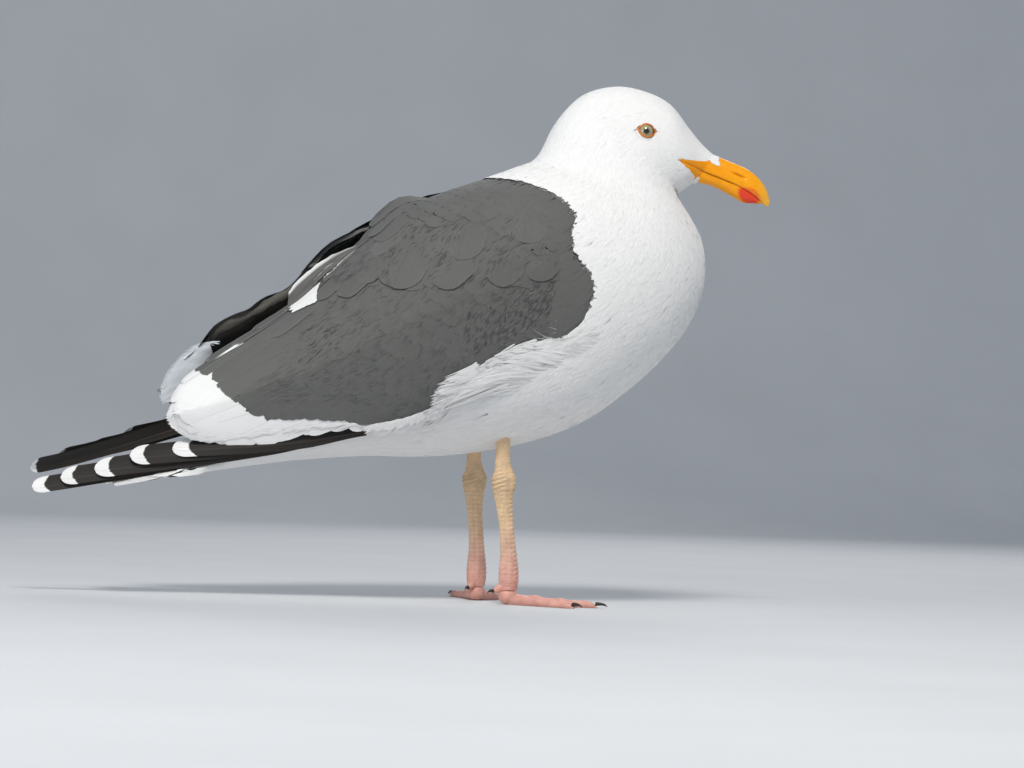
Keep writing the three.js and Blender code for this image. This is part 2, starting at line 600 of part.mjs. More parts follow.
function addPiece(name, solid, material) {
  const mesh = new THREE.Mesh(toGeometry(mainPiece(solid)), material.clone());
  mesh.name = name;
  gull.add(mesh);
}

// Wings first: the body is cut to lie under them.
const wingR = wingSolid(-1);
const wingL = wingSolid(1);
const underWing = (side) => mainPiece(primaryStack(side).subtract(wingSweep(side))
  .subtract(wingSolid(side, { inner: GAP, outer: GAP, spread: GAP })));
const primariesR = underWing(-1);
const primariesL = underWing(1);

let body = bodySolid();
for (const side of [-1, 1]) {
  body = body.subtract(wingSweep(side));
  body = body.subtract(wingSolid(side, { inner: GAP, outer: GAP, spread: GAP }));
  body = body.subtract(primaryStack(side, GAP));
}
body = mainPiece(body);

// Thin cuts part the head, neck, breast, abdomen and tail.
function cutPlane(back, front) {
  const along = new THREE.Vector3(front[0] - back[0], 0, front[1] - back[1]);
  const normal = new THREE.Vector3(-along.z, 0, along.x).normalize();   // towards the bill
  const point = new THREE.Vector3(back[0], 0, back[1]);
  return { point, normal };
}
function keepBetween(solid, ahead, behind) {
  let out = solid;
  if (ahead) out = out.intersect(halfSpace(ahead.point.clone().addScaledVector(ahead.normal, -GAP / 2), ahead.normal.clone().negate()));
  if (behind) out = out.intersect(halfSpace(behind.point.clone().addScaledVector(behind.normal, GAP / 2), behind.normal));
  return out;
}
const headCut = cutPlane([18.5, 326], [119.5, 281.5]);
const neckCut = cutPlane([-11, 302], [133, 250]);
const waistCut = cutPlane([-62, 300], [-6, 90]);
const tailCut = cutPlane([-190, 135], [-168, 60]);

const eyes = [-1, 1].map((side) => {
  // The eye's centre lies inside the side of the head by most of its radius.
  let surface = 0;
  for (let t = 2; t <= 5; t += 0.02) for (let k = 0; k <= 60; k++) {
    const p = bodyPoint(t, Math.PI * k / 60);
    const local = turnHead(p, 0);
    const back = { x: NECK_PIVOT_X + (local.x - NECK_PIVOT_X) * Math.cos(rad(HEAD_TURN)) + local.y * Math.sin(rad(HEAD_TURN)),
      y: -(local.x - NECK_PIVOT_X) * Math.sin(rad(HEAD_TURN)) + local.y * Math.cos(rad(HEAD_TURN)) };
    if (Math.hypot(back.x - EYE_CENTRE.x, p.z - EYE_CENTRE.z) < 2.2) surface = Math.max(surface, back.y);
  }
  const centre = headPoint(EYE_CENTRE.x, side * (surface + EYE_STAND_OUT - EYE_RADIUS), EYE_CENTRE.z);
  return { side, centre };
});

let head = keepBetween(body, null, headCut);
for (const eye of eyes) head = head.subtract(ball(eye.centre, EYE_RADIUS + GAP, EYE_RADIUS + GAP, EYE_RADIUS + GAP, 12, 8));

addPiece('head', head, WHITE_PLUMAGE);
addPiece('neck', keepBetween(body, headCut, neckCut), WHITE_PLUMAGE);

const legs = [
  { tag: 'right', side: -1, x: LEG_RIGHT_X, lean: LEAN_RIGHT, azimuth: RIGHT_FOOT_AZIMUTH },
  { tag: 'left', side: 1, x: LEG_LEFT_X, lean: LEAN_LEFT, azimuth: LEFT_FOOT_AZIMUTH },
];
const bodyWithClearance = bodySolid(GAP);

addPiece('breast', keepBetween(body, neckCut, waistCut), WHITE_PLUMAGE);
addPiece('abdomen', keepBetween(body, waistCut, tailCut), WHITE_PLUMAGE);
addPiece('tail', keepBetween(body, tailCut, null), WHITE_PLUMAGE);
addPiece('wing_right', wingR, GREY_PLUMAGE);
addPiece('wing_left', wingL, GREY_PLUMAGE);
addPiece('primaries_right', primariesR, BLACK_PLUMAGE);
addPiece('primaries_left', primariesL, BLACK_PLUMAGE);

// The bill's base is cut clear of the face.
const faceCut = cutPlane([139.0, 319.8], [124.5, 300.0]);
const faceAhead = halfSpace(
  headPoint(faceCut.point.x, 0, faceCut.point.z).addScaledVector(turnHead(faceCut.normal.clone().add(new THREE.Vector3(NECK_PIVOT_X, 0, 0)), 1).sub(new THREE.Vector3(NECK_PIVOT_X, 0, 0)), GAP),
  turnHead(faceCut.normal.clone().add(new THREE.Vector3(NECK_PIVOT_X, 0, 0)), 1).sub(new THREE.Vector3(NECK_PIVOT_X, 0, 0)));
const upper = billUpper().intersect(faceAhead);
addPiece('bill_upper', upper, BILL_HORN);
addPiece('bill_lower', billLower().intersect(faceAhead), BILL_HORN);

for (const eye of eyes) {
  addPiece(eye.side < 0 ? 'eye_right' : 'eye_left', ball(eye.centre, EYE_RADIUS, EYE_RADIUS, EYE_RADIUS, 14, 8), EYE_WET);
}

for (const leg of legs) {
  const y = leg.side * STANCE_HALF;
  addPiece(`shin_${leg.tag}`, legLength(leg.x, y, SHIN_ROWS, leg.lean).subtract(bodyWithClearance), LEG_SKIN);
  const { foot, claws } = footPieces(leg.side, leg.x, leg.lean, leg.azimuth);
  const tarsus = legLength(leg.x, y, TARSUS_ROWS, leg.lean);
  const clear = halfSpace(new THREE.Vector3(0, 0, FOOT_TOP_Z - GAP), new THREE.Vector3(0, 0, 1));
  addPiece(`tarsus_${leg.tag}`, tarsus, LEG_SKIN);
  const footTrim = foot.subtract(clear);
  addPiece(`foot_${leg.tag}`, footTrim, LEG_SKIN);
  for (const claw of claws) {
    addPiece(`claw_${leg.tag}_${claw.key}`, claw.solid, CLAW_HORN);
  }
}

// Origin: the middle of the floor under the whole bird.
const box = new THREE.Box3().setFromObject(gull);
gull.position.set(-(box.min.x + box.max.x) / 2, -(box.min.y + box.max.y) / 2, -box.min.z);
gull.updateMatrixWorld(true);

export default gull;
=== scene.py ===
# Western gull, standing with folded wings: skin, feathers, bill, eyes and claws
# laid over the fixed frame.  Shapes are worked out in millimetres in the bird's own
# frame (facing +X, sagittal plane y = 0, floor z = 0), then moved to the row frame.
import math
import bpy
import bmesh
import numpy as np
from mathutils import Matrix, Vector
from mathutils.kdtree import KDTree


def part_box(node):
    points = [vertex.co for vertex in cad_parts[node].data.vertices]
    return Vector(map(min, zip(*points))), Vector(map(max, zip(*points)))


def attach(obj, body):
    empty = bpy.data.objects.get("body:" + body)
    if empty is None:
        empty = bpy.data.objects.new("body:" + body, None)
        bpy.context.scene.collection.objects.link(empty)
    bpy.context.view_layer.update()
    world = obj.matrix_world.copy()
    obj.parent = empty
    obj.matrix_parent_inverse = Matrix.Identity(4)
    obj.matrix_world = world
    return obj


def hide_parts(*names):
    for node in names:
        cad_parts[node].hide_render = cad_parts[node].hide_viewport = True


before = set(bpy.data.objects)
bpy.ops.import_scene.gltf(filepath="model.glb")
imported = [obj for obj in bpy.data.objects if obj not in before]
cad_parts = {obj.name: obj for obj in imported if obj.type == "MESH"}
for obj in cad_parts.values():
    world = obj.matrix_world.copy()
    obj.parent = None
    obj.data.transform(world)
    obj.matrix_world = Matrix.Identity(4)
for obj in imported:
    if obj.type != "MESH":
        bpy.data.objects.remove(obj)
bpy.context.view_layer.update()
rng = np.random.default_rng(20417)

_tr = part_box("tarsus_right")
OX = _tr[1][0] * 1000.0 - 3.7
OY = (_tr[0][1] + _tr[1][1]) * 500.0 + 27.0
OFF = np.array([OX, OY, 0.0])


def row(p):
    """Bird frame in mm to row frame in metres."""
    return (np.asarray(p, float) + OFF) / 1000.0


# ------------------------------------------------------------------ small maths
def smooth(a, b, v):
    k = np.clip((np.asarray(v, float) - a) / (b - a), 0, 1)
    return k * k * (3 - 2 * k)


def lerp(a, b, k):
    return a + (b - a) * k


def power(v, p):
    return np.sign(v) * np.abs(v) ** p


def unit(v):
    return v / np.maximum(np.linalg.norm(v, axis=-1, keepdims=True), 1e-12)


def spl(keys, t):
    """Smooth curve through evenly numbered keys."""
    keys = np.asarray(keys, float)
    t = np.asarray(t, float)
    n = len(keys) - 1
    k = np.clip(np.floor(t), 0, n - 1).astype(int)
    f = t - k
    if keys.ndim == 2:
        f = f[..., None]
    a = keys[np.maximum(k - 1, 0)]
    b = keys[k]
    c = keys[k + 1]
    d = keys[np.minimum(k + 2, n)]
    return 0.5 * (2 * b + (c - a) * f + (2 * a - 5 * b + 4 * c - d) * f ** 2
                  + (3 * b - a - 3 * c + d) * f ** 3)


def pick(table, t):
    """Piecewise linear table [(t, value), ...]."""
    x, y = zip(*table)
    return np.interp(t, x, y)


def noise3(p, scale, seed=0):
    """Cheap smooth noise from a few turned sine waves, about -1..1."""
    r = np.random.default_rng(1000 + seed)
    out = 0.0
    for k in range(5):
        w = unit(r.normal(size=3)) * scale * (0.7 + 0.35 * k)
        out = out + np.sin(p @ w + r.uniform(0, 6.28)) / (1 + 0.3 * k)
    return out / 3.0


# ------------------------------------------------------------------ body shape
HEAD_TURN = math.radians(-14)
PIVOT = 70.0
# back x, z; front x, z; half width; widest place; fullness
ST = np.array([
    [139.0, 319.8, 124.5, 300.0, 8.6, 0.52, 1.00],   # bill base
    [130.5, 327.0, 121.5, 297.3, 13.0, 0.52, 1.00],  # lores
    [121.0, 337.6, 118.3, 294.6, 18.0, 0.52, 0.98],  # forehead
    [106.5, 354.8, 115.3, 292.2, 22.6, 0.52, 0.96],  # brow
    [87.0, 363.6, 113.6, 290.6, 26.0, 0.52, 0.96],   # crown
    [66.0, 365.8, 114.0, 289.0, 29.0, 0.54, 0.96],   # hindcrown
    [43.5, 358.3, 116.0, 286.2, 32.5, 0.56, 0.96],   # occiput
    [26.0, 338.5, 119.0, 282.0, 37.0, 0.56, 0.96],   # nape
    [13.2, 313.5, 125.0, 273.0, 43.5, 0.55, 0.95],   # hindneck
    [-2.0, 305.5, 132.5, 258.5, 51.5, 0.54, 0.94],   # collar
    [-20.0, 298.2, 135.5, 238.0, 60.0, 0.53, 0.93],  # shoulder
    [-38.0, 291.0, 132.4, 216.4, 66.0, 0.52, 0.92],  # mantle
    [-56.0, 284.0, 121.2, 193.2, 70.0, 0.51, 0.92],  # breast
    [-72.0, 276.5, 103.0, 170.6, 72.0, 0.50, 0.92],  # keel
    [-87.0, 265.5, 79.0, 148.6, 72.0, 0.49, 0.92],   # belly
    [-101.0, 248.0, 51.0, 128.3, 70.0, 0.48, 0.92],  # flank
    [-114.0, 227.0, 17.0, 114.2, 66.0, 0.47, 0.93],  # thigh
    [-128.0, 203.0, -20.0, 105.2, 59.0, 0.46, 0.94],  # vent
    [-143.0, 177.0, -60.0, 100.0, 50.0, 0.46, 0.95],  # rump
    [-159.0, 150.0, -103.0, 99.0, 40.5, 0.47, 0.96],  # crissum
    [-176.0, 126.5, -146.0, 95.0, 33.5, 0.50, 0.96],  # tail base
    [-195.0, 109.5, -184.0, 89.5, 31.0, 0.50, 0.94],  # tail cover
    [-217.0, 95.5, -214.0, 84.5, 31.0, 0.50, 0.90],   # tail root
    [-241.0, 88.0, -240.0, 81.5, 32.0, 0.50, 0.85],   # tail mid
    [-264.0, 81.6, -263.5, 77.6, 33.0, 0.50, 0.80],   # tail end
    [-279.0, 77.6, -278.8, 75.4, 28.0, 0.50, 0.75],   # tail tip
])
LAST = len(ST) - 1
TAIL_DROOP = 3.5
TAIL_FROM = 20


def turn_head(p, w):
    a = HEAD_TURN * w
    dx = p[..., 0] - PIVOT
    out = p.copy()
    out[..., 0] = PIVOT + dx * np.cos(a) - p[..., 1] * np.sin(a)
    out[..., 1] = dx * np.sin(a) + p[..., 1] * np.cos(a)
    return out


def head_pt(x, y, z):
    return turn_head(np.array([x, y, z], float), 1.0)


def body_point(t, ang, grow=0.0):
    t, ang = np.broadcast_arrays(np.asarray(t, float), np.asarray(ang, float))
    v = spl(ST, t)
    bx, bz, fx, fz, half, at, full = [v[..., i] for i in range(7)]
    half = half + grow
    c, s = power(np.cos(ang), full), power(np.sin(ang), full)
    u = np.where(c >= 0, at - at * c, at - (1 - at) * c)
    ln = np.hypot(fx - bx, fz - bz)
    k = u + (u - 0.5) * 2 * grow / ln
    y = half * s
    droop = TAIL_DROOP * smooth(TAIL_FROM, LAST - 1, t) * (y / np.maximum(half, 1e-3)) ** 2
    p = np.stack([lerp(bx, fx, k), y, lerp(bz, fz, k) - droop], -1)
    return turn_head(p, 1 - smooth(5.5, 10.5, t))


# ------------------------------------------------------------------ wing shape
WING = [  # top, side, low as x, out, z; roundness; thickness
    [39, 33, 267, 45, 64, 230, 37, 63, 191, 0.95, 4.5],
    [10, 24, 283, 8, 72.5, 226, 5, 68, 176, 0.90, 9.0],
    [-25, 17, 288, -26, 75.5, 217, -30, 68, 165, 0.85, 10.0],
    [-62, 13, 277, -62, 75, 204, -66, 62, 135, 0.80, 10.0],
    [-97, 11, 258, -97, 70, 186, -98, 57, 121.5, 0.72, 9.5],
    [-130, 10, 229, -129, 62, 168, -128, 53, 118.5, 0.62, 8.5],
    [-160, 10, 201, -159, 55, 154, -158, 47, 114, 0.55, 7.0],
    [-190, 12, 179, -188, 48, 142, -186, 42, 109.5, 0.50, 5.5],
    [-216, 15, 160, -215, 41, 131, -212, 36, 106, 0.50, 4.0],
    [-236, 19, 143, -238, 35, 124, -230, 32, 107, 0.50, 3.0],
    [-246.5, 24, 124, -246.5, 28, 120, -243, 29, 114, 0.50, 2.0],
]
WING = np.array(WING, float)


def wing_lift(side, s):
    if side < 0:
        return 0.0 * s
    return lerp(18 * smooth(0.16, 0.55, s), 20, smooth(0.75, 1, s))


def wing_point(s, v, side):
    s, v = np.broadcast_arrays(np.asarray(s, float), np.asarray(v, float))
    w = spl(WING, s * (len(WING) - 1))
    top, mid, low, rnd = w[..., 0:3], w[..., 3:6], w[..., 6:9], w[..., 9]
    a = np.where(v <= 0.5, v * np.pi, (v - 0.5) * np.pi)
    line = np.where(v <= 0.5, v * 2, v * 2 - 1)
    ky1, kz1 = lerp(line, np.sin(a), rnd), lerp(line, 1 - np.cos(a), rnd)
    ky2, kz2 = lerp(line, 1 - np.cos(a), rnd), lerp(line, np.sin(a), 0.5 * rnd)
    up = np.stack([lerp(top[..., 0], mid[..., 0], line), lerp(top[..., 1], mid[..., 1], ky1),
                   lerp(top[..., 2], mid[..., 2], kz1)], -1)
    dn = np.stack([lerp(mid[..., 0], low[..., 0], line), lerp(mid[..., 1], low[..., 1], ky2),
                   lerp(mid[..., 2], low[..., 2], kz2)], -1)
    p = np.where((v <= 0.5)[..., None], up, dn)
    p = p.copy()
    p[..., 1] *= side
    p[..., 2] += wing_lift(side, s)
    if side > 0:
        p[..., 0] += 2 * smooth(0.88, 1, s)
        drop = 4.2 * np.exp(-((s - 0.42) / 0.07) ** 2) + 6.5 * np.exp(-((s - 0.60) / 0.045) ** 2) \
            + 3.0 * np.exp(-((s - 0.69) / 0.03) ** 2) + 7.5 * smooth(0.765, 0.84, s)
        p[..., 2] -= drop * np.clip(1 - 2 * v, 0, 1) ** 1.3
    else:   # the near wing's shoulder feathers stand up over the back in a bundle
        p[..., 2] += 8.5 * np.exp(-((s - 0.372) / 0.055) ** 2) * np.clip(1 - 2 * v, 0, 1) ** 2
    return p


# ------------------------------------------------------------------ gridded surfaces
class Surf:
    def __init__(self, fn, p1, q1, n_p, n_q, wrap=False, flip=False, p0=0.0):
        self.p0, self.p1, self.q1, self.np, self.nq, self.wrap = p0, p1, q1, n_p, n_q, wrap
        p = np.linspace(p0, p1, n_p + 1)[:, None]
        q = np.linspace(0, q1, n_q + 1)[None, :]
        self.P = fn(p + 0 * q, q + 0 * p)
        gp = np.gradient(self.P, axis=0) * (n_p / (p1 - p0))
        if wrap:
            Pw = np.concatenate([self.P[:, -2:-1], self.P, self.P[:, 1:2]], 1)
            gq = (Pw[:, 2:] - Pw[:, :-2]) * 0.5 * (n_q / q1)
        else:
            gq = np.gradient(self.P, axis=1) * (n_q / q1)
        self.Ep, self.Eq = gp, gq
        n = unit(np.cross(gp, gq))
        self.N = -n if flip else n
        self.area = np.linalg.norm(np.cross(gp, gq), axis=-1)

    def _mix(self, A, p, q):
        fp = np.clip((p - self.p0) / (self.p1 - self.p0) * self.np, 0, self.np - 1e-6)
        if self.wrap:
            fq = np.mod(q / self.q1, 1.0) * self.nq
        else:
            fq = np.clip(q / self.q1 * self.nq, 0, self.nq - 1e-6)
        i, j = np.floor(fp).astype(int), np.minimum(np.floor(fq).astype(int), self.nq - 1)
        a, b = (fp - i)[..., None], (fq - j)[..., None]
        return (A[i, j] * (1 - a) * (1 - b) + A[i + 1, j] * a * (1 - b)
                + A[i, j + 1] * (1 - a) * b + A[i + 1, j + 1] * a * b)

    def at(self, p, q):
        pos = self._mix(self.P, p, q)
        if not self.wrap:   # straight on past the edge
            over_p = (p - np.clip(p, self.p0, self.p1))[..., None]
            over_q = (q - np.clip(q, 0, self.q1))[..., None]
            pos = pos + self._mix(self.Ep, p, q) * over_p + self._mix(self.Eq, p, q) * over_q
        else:
            over_p = (p - np.clip(p, self.p0, self.p1))[..., None]
            pos = pos + self._mix(self.Ep, p, q) * over_p
        return pos, unit(self._mix(self.N, p, q))

    def frame(self, p, q):
        return self._mix(self.Ep, p, q), self._mix(self.Eq, p, q)

    def step(self, p, q, vec):
        """Move from p, q by a 3-D vector, in the parameters."""
        Ep, Eq = self.frame(p, q)
        a, b, c = (Ep * Ep).sum(-1), (Ep * Eq).sum(-1), (Eq * Eq).sum(-1)
        r1, r2 = (vec * Ep).sum(-1), (vec * Eq).sum(-1)
        det = np.maximum(a * c - b * b, 1e-6)
        far = 1.5 * np.linalg.norm(vec, axis=-1)
        mp, mq = far / np.sqrt(np.maximum(a, 1e-9)), far / np.sqrt(np.maximum(c, 1e-9))
        return p + np.clip((r1 * c - r2 * b) / det, -mp, mp), q + np.clip((r2 * a - r1 * b) / det, -mq, mq)


BODY = Surf(body_point, LAST, 2 * np.pi, 620, 320, wrap=True)
# outward normals: check one point on the left flank
if BODY.N[300, 80, 1] < 0:
    BODY.N *= -1
WINGS = {}
for _side in (-1, 1):
    _w = Surf(lambda s, v, _side=_side: wing_point(s, v, _side), 1.0, 1.0, 220, 120)
    if (_w.N[60, 60, 1] * _side) < 0:
        _w.N *= -1
    WINGS[_side] = _w


# ------------------------------------------------------------------ meshes
def new_mesh(name, verts, faces, uvs=None, attrs=None, normals=None, smooth_faces=True):
    """verts (n,3) in the bird frame (mm); faces (m,4) or (m,3)."""
    verts = row(verts).astype(np.float32)
    me = bpy.data.meshes.new(name)
    m, k = faces.shape
    me.vertices.add(len(verts))
    me.vertices.foreach_set("co", verts.ravel())
    me.loops.add(m * k)
    me.loops.foreach_set("vertex_index", faces.astype(np.int32).ravel())
    me.polygons.add(m)
    me.polygons.foreach_set("loop_start", np.arange(0, m * k, k, dtype=np.int32))
    me.polygons.foreach_set("loop_total", np.full(m, k, dtype=np.int32))
    if smooth_faces:
        me.polygons.foreach_set("use_smooth", np.ones(m, bool))
    me.update(calc_edges=True)
    for uv_name, uv in (uvs or {}).items():
        lay = me.uv_layers.new(name=uv_name)
        lay.data.foreach_set("uv", uv[faces.ravel()].astype(np.float32).ravel())
    for a_name, val in (attrs or {}).items():
        if val.ndim == 1:
            at = me.attributes.new(a_name, 'FLOAT', 'POINT')
            at.data.foreach_set("value", val.astype(np.float32))
        else:
            at = me.attributes.new(a_name, 'FLOAT_COLOR', 'POINT')
            rgba = np.concatenate([val, np.ones((len(val), 1))], 1)
            at.data.foreach_set("color", rgba.astype(np.float32).ravel())
    me.validate()
    if normals is not None:
        me.normals_split_custom_set_from_vertices(normals.astype(np.float32).tolist())
    ob = bpy.data.objects.new(name, me)
    bpy.context.scene.collection.objects.link(ob)
    return ob


def grid_faces(rows, cols, wrap=False, start=0):
    i = np.arange(rows - 1)[:, None]
    n = cols if wrap else cols - 1
    j = np.arange(n)[None, :]
    jn = (j + 1) % cols
    a, b = i * cols + j, i * cols + jn
    c, d = (i + 1) * cols + jn, (i + 1) * cols + j
    return np.stack([a, b, c, d], -1).reshape(-1, 4) + start


class Coat:
    """Many feathers gathered into one mesh of triangles."""

    def __init__(self):
        self.v, self.f, self.uv, self.bake, self.nrm, self.col, self.rn, self.mk = ([] for _ in range(8))
        self.count = 0

    def put(self, verts, nrm, col, uv, bake, rnd, one, mark=None):
        """verts (N, K, 3) for N like feathers whose faces are one (F, 3)."""
        sound = np.isfinite(verts).all(axis=(1, 2))
        if not sound.all():   # a vane that ran off the end of its surface is left out
            K0 = verts.shape[1]
            col = np.broadcast_to(col, (len(verts), K0, 3))[sound]
            verts, nrm, uv, bake, rnd = verts[sound], nrm[sound], uv[sound], bake[sound], rnd[sound]
            mark = None if mark is None else np.asarray(mark, float)[sound]
        N, K, _ = verts.shape
        faces = (one[None] + (np.arange(N) * K)[:, None, None]).reshape(-1, 3)
        self.v.append(verts.reshape(-1, 3))
        self.nrm.append(nrm.reshape(-1, 3))
        self.col.append(np.broadcast_to(col, (N, K, 3)).reshape(-1, 3))
        self.uv.append(uv.reshape(-1, 2))
        self.bake.append(bake.reshape(-1, 2))
        self.rn.append(np.repeat(rnd, K))
        self.mk.append(np.full(N * K, -20.0) if mark is None else np.asarray(mark, float).reshape(-1))
        self.f.append(faces + self.count)
        self.count += N * K

    def add(self, verts, nrm, col, uv, bake, rnd, solid=0.22, mark=None):
        """Vanes (N, R, C, 3), each closed by an underside that meets it in a thin edge."""
        N, R, C, _ = verts.shape
        per = R * C
        q = grid_faces(R, C)[:, ::-1]
        rim = np.concatenate([np.arange(C), C - 1 + C * np.arange(1, R),
                              (R - 1) * C + np.arange(C - 2, -1, -1), C * np.arange(R - 2, 0, -1)])
        nx = np.roll(rim, -1)
        one = np.concatenate([q, q[:, ::-1] + per, np.stack([rim, nx, nx + per, rim + per], -1)])
        one = np.concatenate([one[:, [0, 1, 2]], one[:, [0, 2, 3]]])
        thin = np.full((R, C), 1.0)
        thin[:, 0] = thin[:, -1] = 0.22
        thin[-1] = 0.22
        turn = (np.cross(verts[:, 1:, :-1] - verts[:, :-1, :-1], verts[:, :-1, 1:] - verts[:, :-1, :-1])
                * nrm[:, :-1, :-1]).sum(-1).sum((1, 2))
        for way in (True, False):
            sel = (turn >= 0) == way
            n = int(sel.sum())
            if not n:
                continue
            flat = verts[sel].reshape(n, per, 3)
            nf = nrm[sel].reshape(n, per, 3)

            def twice(x):
                y = np.asarray(x)[sel].reshape(n, per, -1)
                return np.concatenate([y, y], 1)
            low = flat - nf * (solid * thin.reshape(-1))[None, :, None]
            mk = None if mark is None else twice(mark)[..., 0]
            self.put(np.concatenate([flat, low], 1), np.concatenate([nf, -nf], 1), twice(col), twice(uv),
                     twice(bake), rnd[sel], one if way else one[:, ::-1], mk)

    def build(self, name, material, slot, custom=True):
        v = np.concatenate(self.v)
        f = np.concatenate(self.f)
        nr = unit(np.concatenate(self.nrm))
        ob = new_mesh(name, v, f,
                      uvs={"Vane": np.concatenate(self.uv), "OFBake": np.concatenate(self.bake)},
                      attrs={"tint": np.concatenate(self.col), "rnd": np.concatenate(self.rn),
                             "mark": np.concatenate(self.mk)},
                      normals=nr if custom else None)
        ob.data.materials.append(material)
        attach(ob, "root")
        print("coat", name, "triangles", len(f))
        return ob


def round_vane(a, L, W):
    """Half-width share of a broad feather with a rounded end."""
    d = (1 - a) * L / (W * 0.5)
    tip = np.sqrt(np.clip(1 - (1 - np.clip(d, 0, 1)) ** 2, 0, 1))
    return np.maximum(tip, 0.03) * (0.55 + 0.45 * smooth(0, 0.45, a))


def long_vane(a, L, W):
    """A flight feather: nearly even, with a blunt oval end."""
    d = (1 - a) * L / (W * 0.75)
    tip = np.clip(1 - (1 - np.clip(d, 0, 1)) ** 2.3, 0, 1) ** 0.5
    return np.maximum(tip, 0.03) * (0.60 + 0.40 * smooth(0, 0.5, a))


def feathers(surf, p0, q0, direction, L, W, h0, h1, rows, cols, wide=round_vane, flat=2.0, camber=0.0,
             ragged=0.0, curl=0.0, soft=0.7, bend=0.0, tilt=0.0, seed=1, split=0.0):
    """Lay N vanes on a surface.  Returns verts, normals, a, b (N, R, C[, 3]) and the shafts' p, q."""
    r = np.random.default_rng(seed)
    N = len(p0)
    a_list = np.asarray(rows, float)
    b_list = np.asarray(cols, float)
    R, C = len(a_list), len(b_list)
    V = np.zeros((N, R, C, 3))
    NS = np.zeros((N, R, C, 3))
    A = np.zeros((N, R, C))
    SP = np.zeros((N, R, 2))
    pc, qc = np.array(p0, float), np.array(q0, float)
    D = unit(direction)
    L, W, h0, h1, bend, tilt, curl = [np.broadcast_to(np.asarray(x, float), (N,)) for x in (L, W, h0, h1, bend, tilt, curl)]
    rag = r.uniform(-1, 0.4, (N, C)) * ragged
    notch_b = r.uniform(-0.9, 0.9, N)
    notch = (r.uniform(0, 1, N) < split) * r.uniform(0.04, 0.12, N)
    prev = 0.0
    for i, a in enumerate(a_list):
        _, n = surf.at(pc, qc)
        Dn = unit(D - (D * n).sum(-1, keepdims=True) * n)
        if i > 0:
            pc, qc = surf.step(pc, qc, Dn * (L * (a - prev))[:, None])
            _, n = surf.at(pc, qc)
            Dn = unit(D - (D * n).sum(-1, keepdims=True) * n)
            D = unit(Dn + np.cross(n, Dn) * (bend * (a - prev))[:, None])
        prev = a
        SP[:, i, 0], SP[:, i, 1] = pc, qc
        ctr, _ = surf.at(pc, qc)
        Cn = np.cross(n, Dn)
        w = wide(a, L, W)
        near_tip = float(smooth(0.45, 1.0, a))
        for j, b in enumerate(b_list):
            back = (rag[:, j] * near_tip - notch * np.exp(-((b - notch_b) / 0.16) ** 2) * near_tip) * L
            vec = Cn * (b * w * W * 0.5)[:, None] + Dn * back[:, None]
            p, q = surf.step(pc, qc, vec)
            pos, nn = surf.at(p, q)
            wild = (np.linalg.norm(pos - ctr - vec, axis=-1) > 2.2 * np.linalg.norm(vec, axis=-1) + 3.0)[:, None]
            pos, nn = np.where(wild, ctr + vec, pos), np.where(wild, n, nn)
            prof = 1 - (1 - a) ** flat
            h = h0 + (h1 - h0) * prof + curl * W * a ** 3 - camber * W * b * b + tilt * b * w
            V[:, i, j] = pos + nn * h[:, None]
            NS[:, i, j] = nn
            A[:, i, j] = a
    far = np.linalg.norm(V - V[:, :1, C // 2:C // 2 + 1], axis=-1).reshape(N, -1).max(1)
    V[far > 1.15 * L + 0.6 * W + 2.0] = np.nan
    du = np.gradient(V, axis=1)
    dv = np.gradient(V, axis=2)
    nb = unit(np.cross(du, dv))
    flip = np.sign((nb * NS).sum(-1, keepdims=True))
    nb = nb * np.where(flip == 0, 1, flip)
    NN = unit(NS * soft + nb * (1 - soft))
    Bm = np.broadcast_to(b_list[None, None, :], (N, R, C))
    return V, NN, A, Bm, SP


BLADE_FACES = {}


def blade_faces(k):
    """Closed tuft: k rows of left, ridge, right, then a point."""
    f = []
    for i in range(k - 1):
        a, b = 3 * i, 3 * (i + 1)
        for u, w in ((0, 1), (1, 2), (2, 0)):
            f += [(a + u, a + w, b + w), (a + u, b + w, b + u)]
    e, t = 3 * (k - 1), 3 * k
    f += [(e, e + 1, t), (e + 1, e + 2, t), (e + 2, e, t), (0, 2, 1)]
    return np.array(f)[:, ::-1]


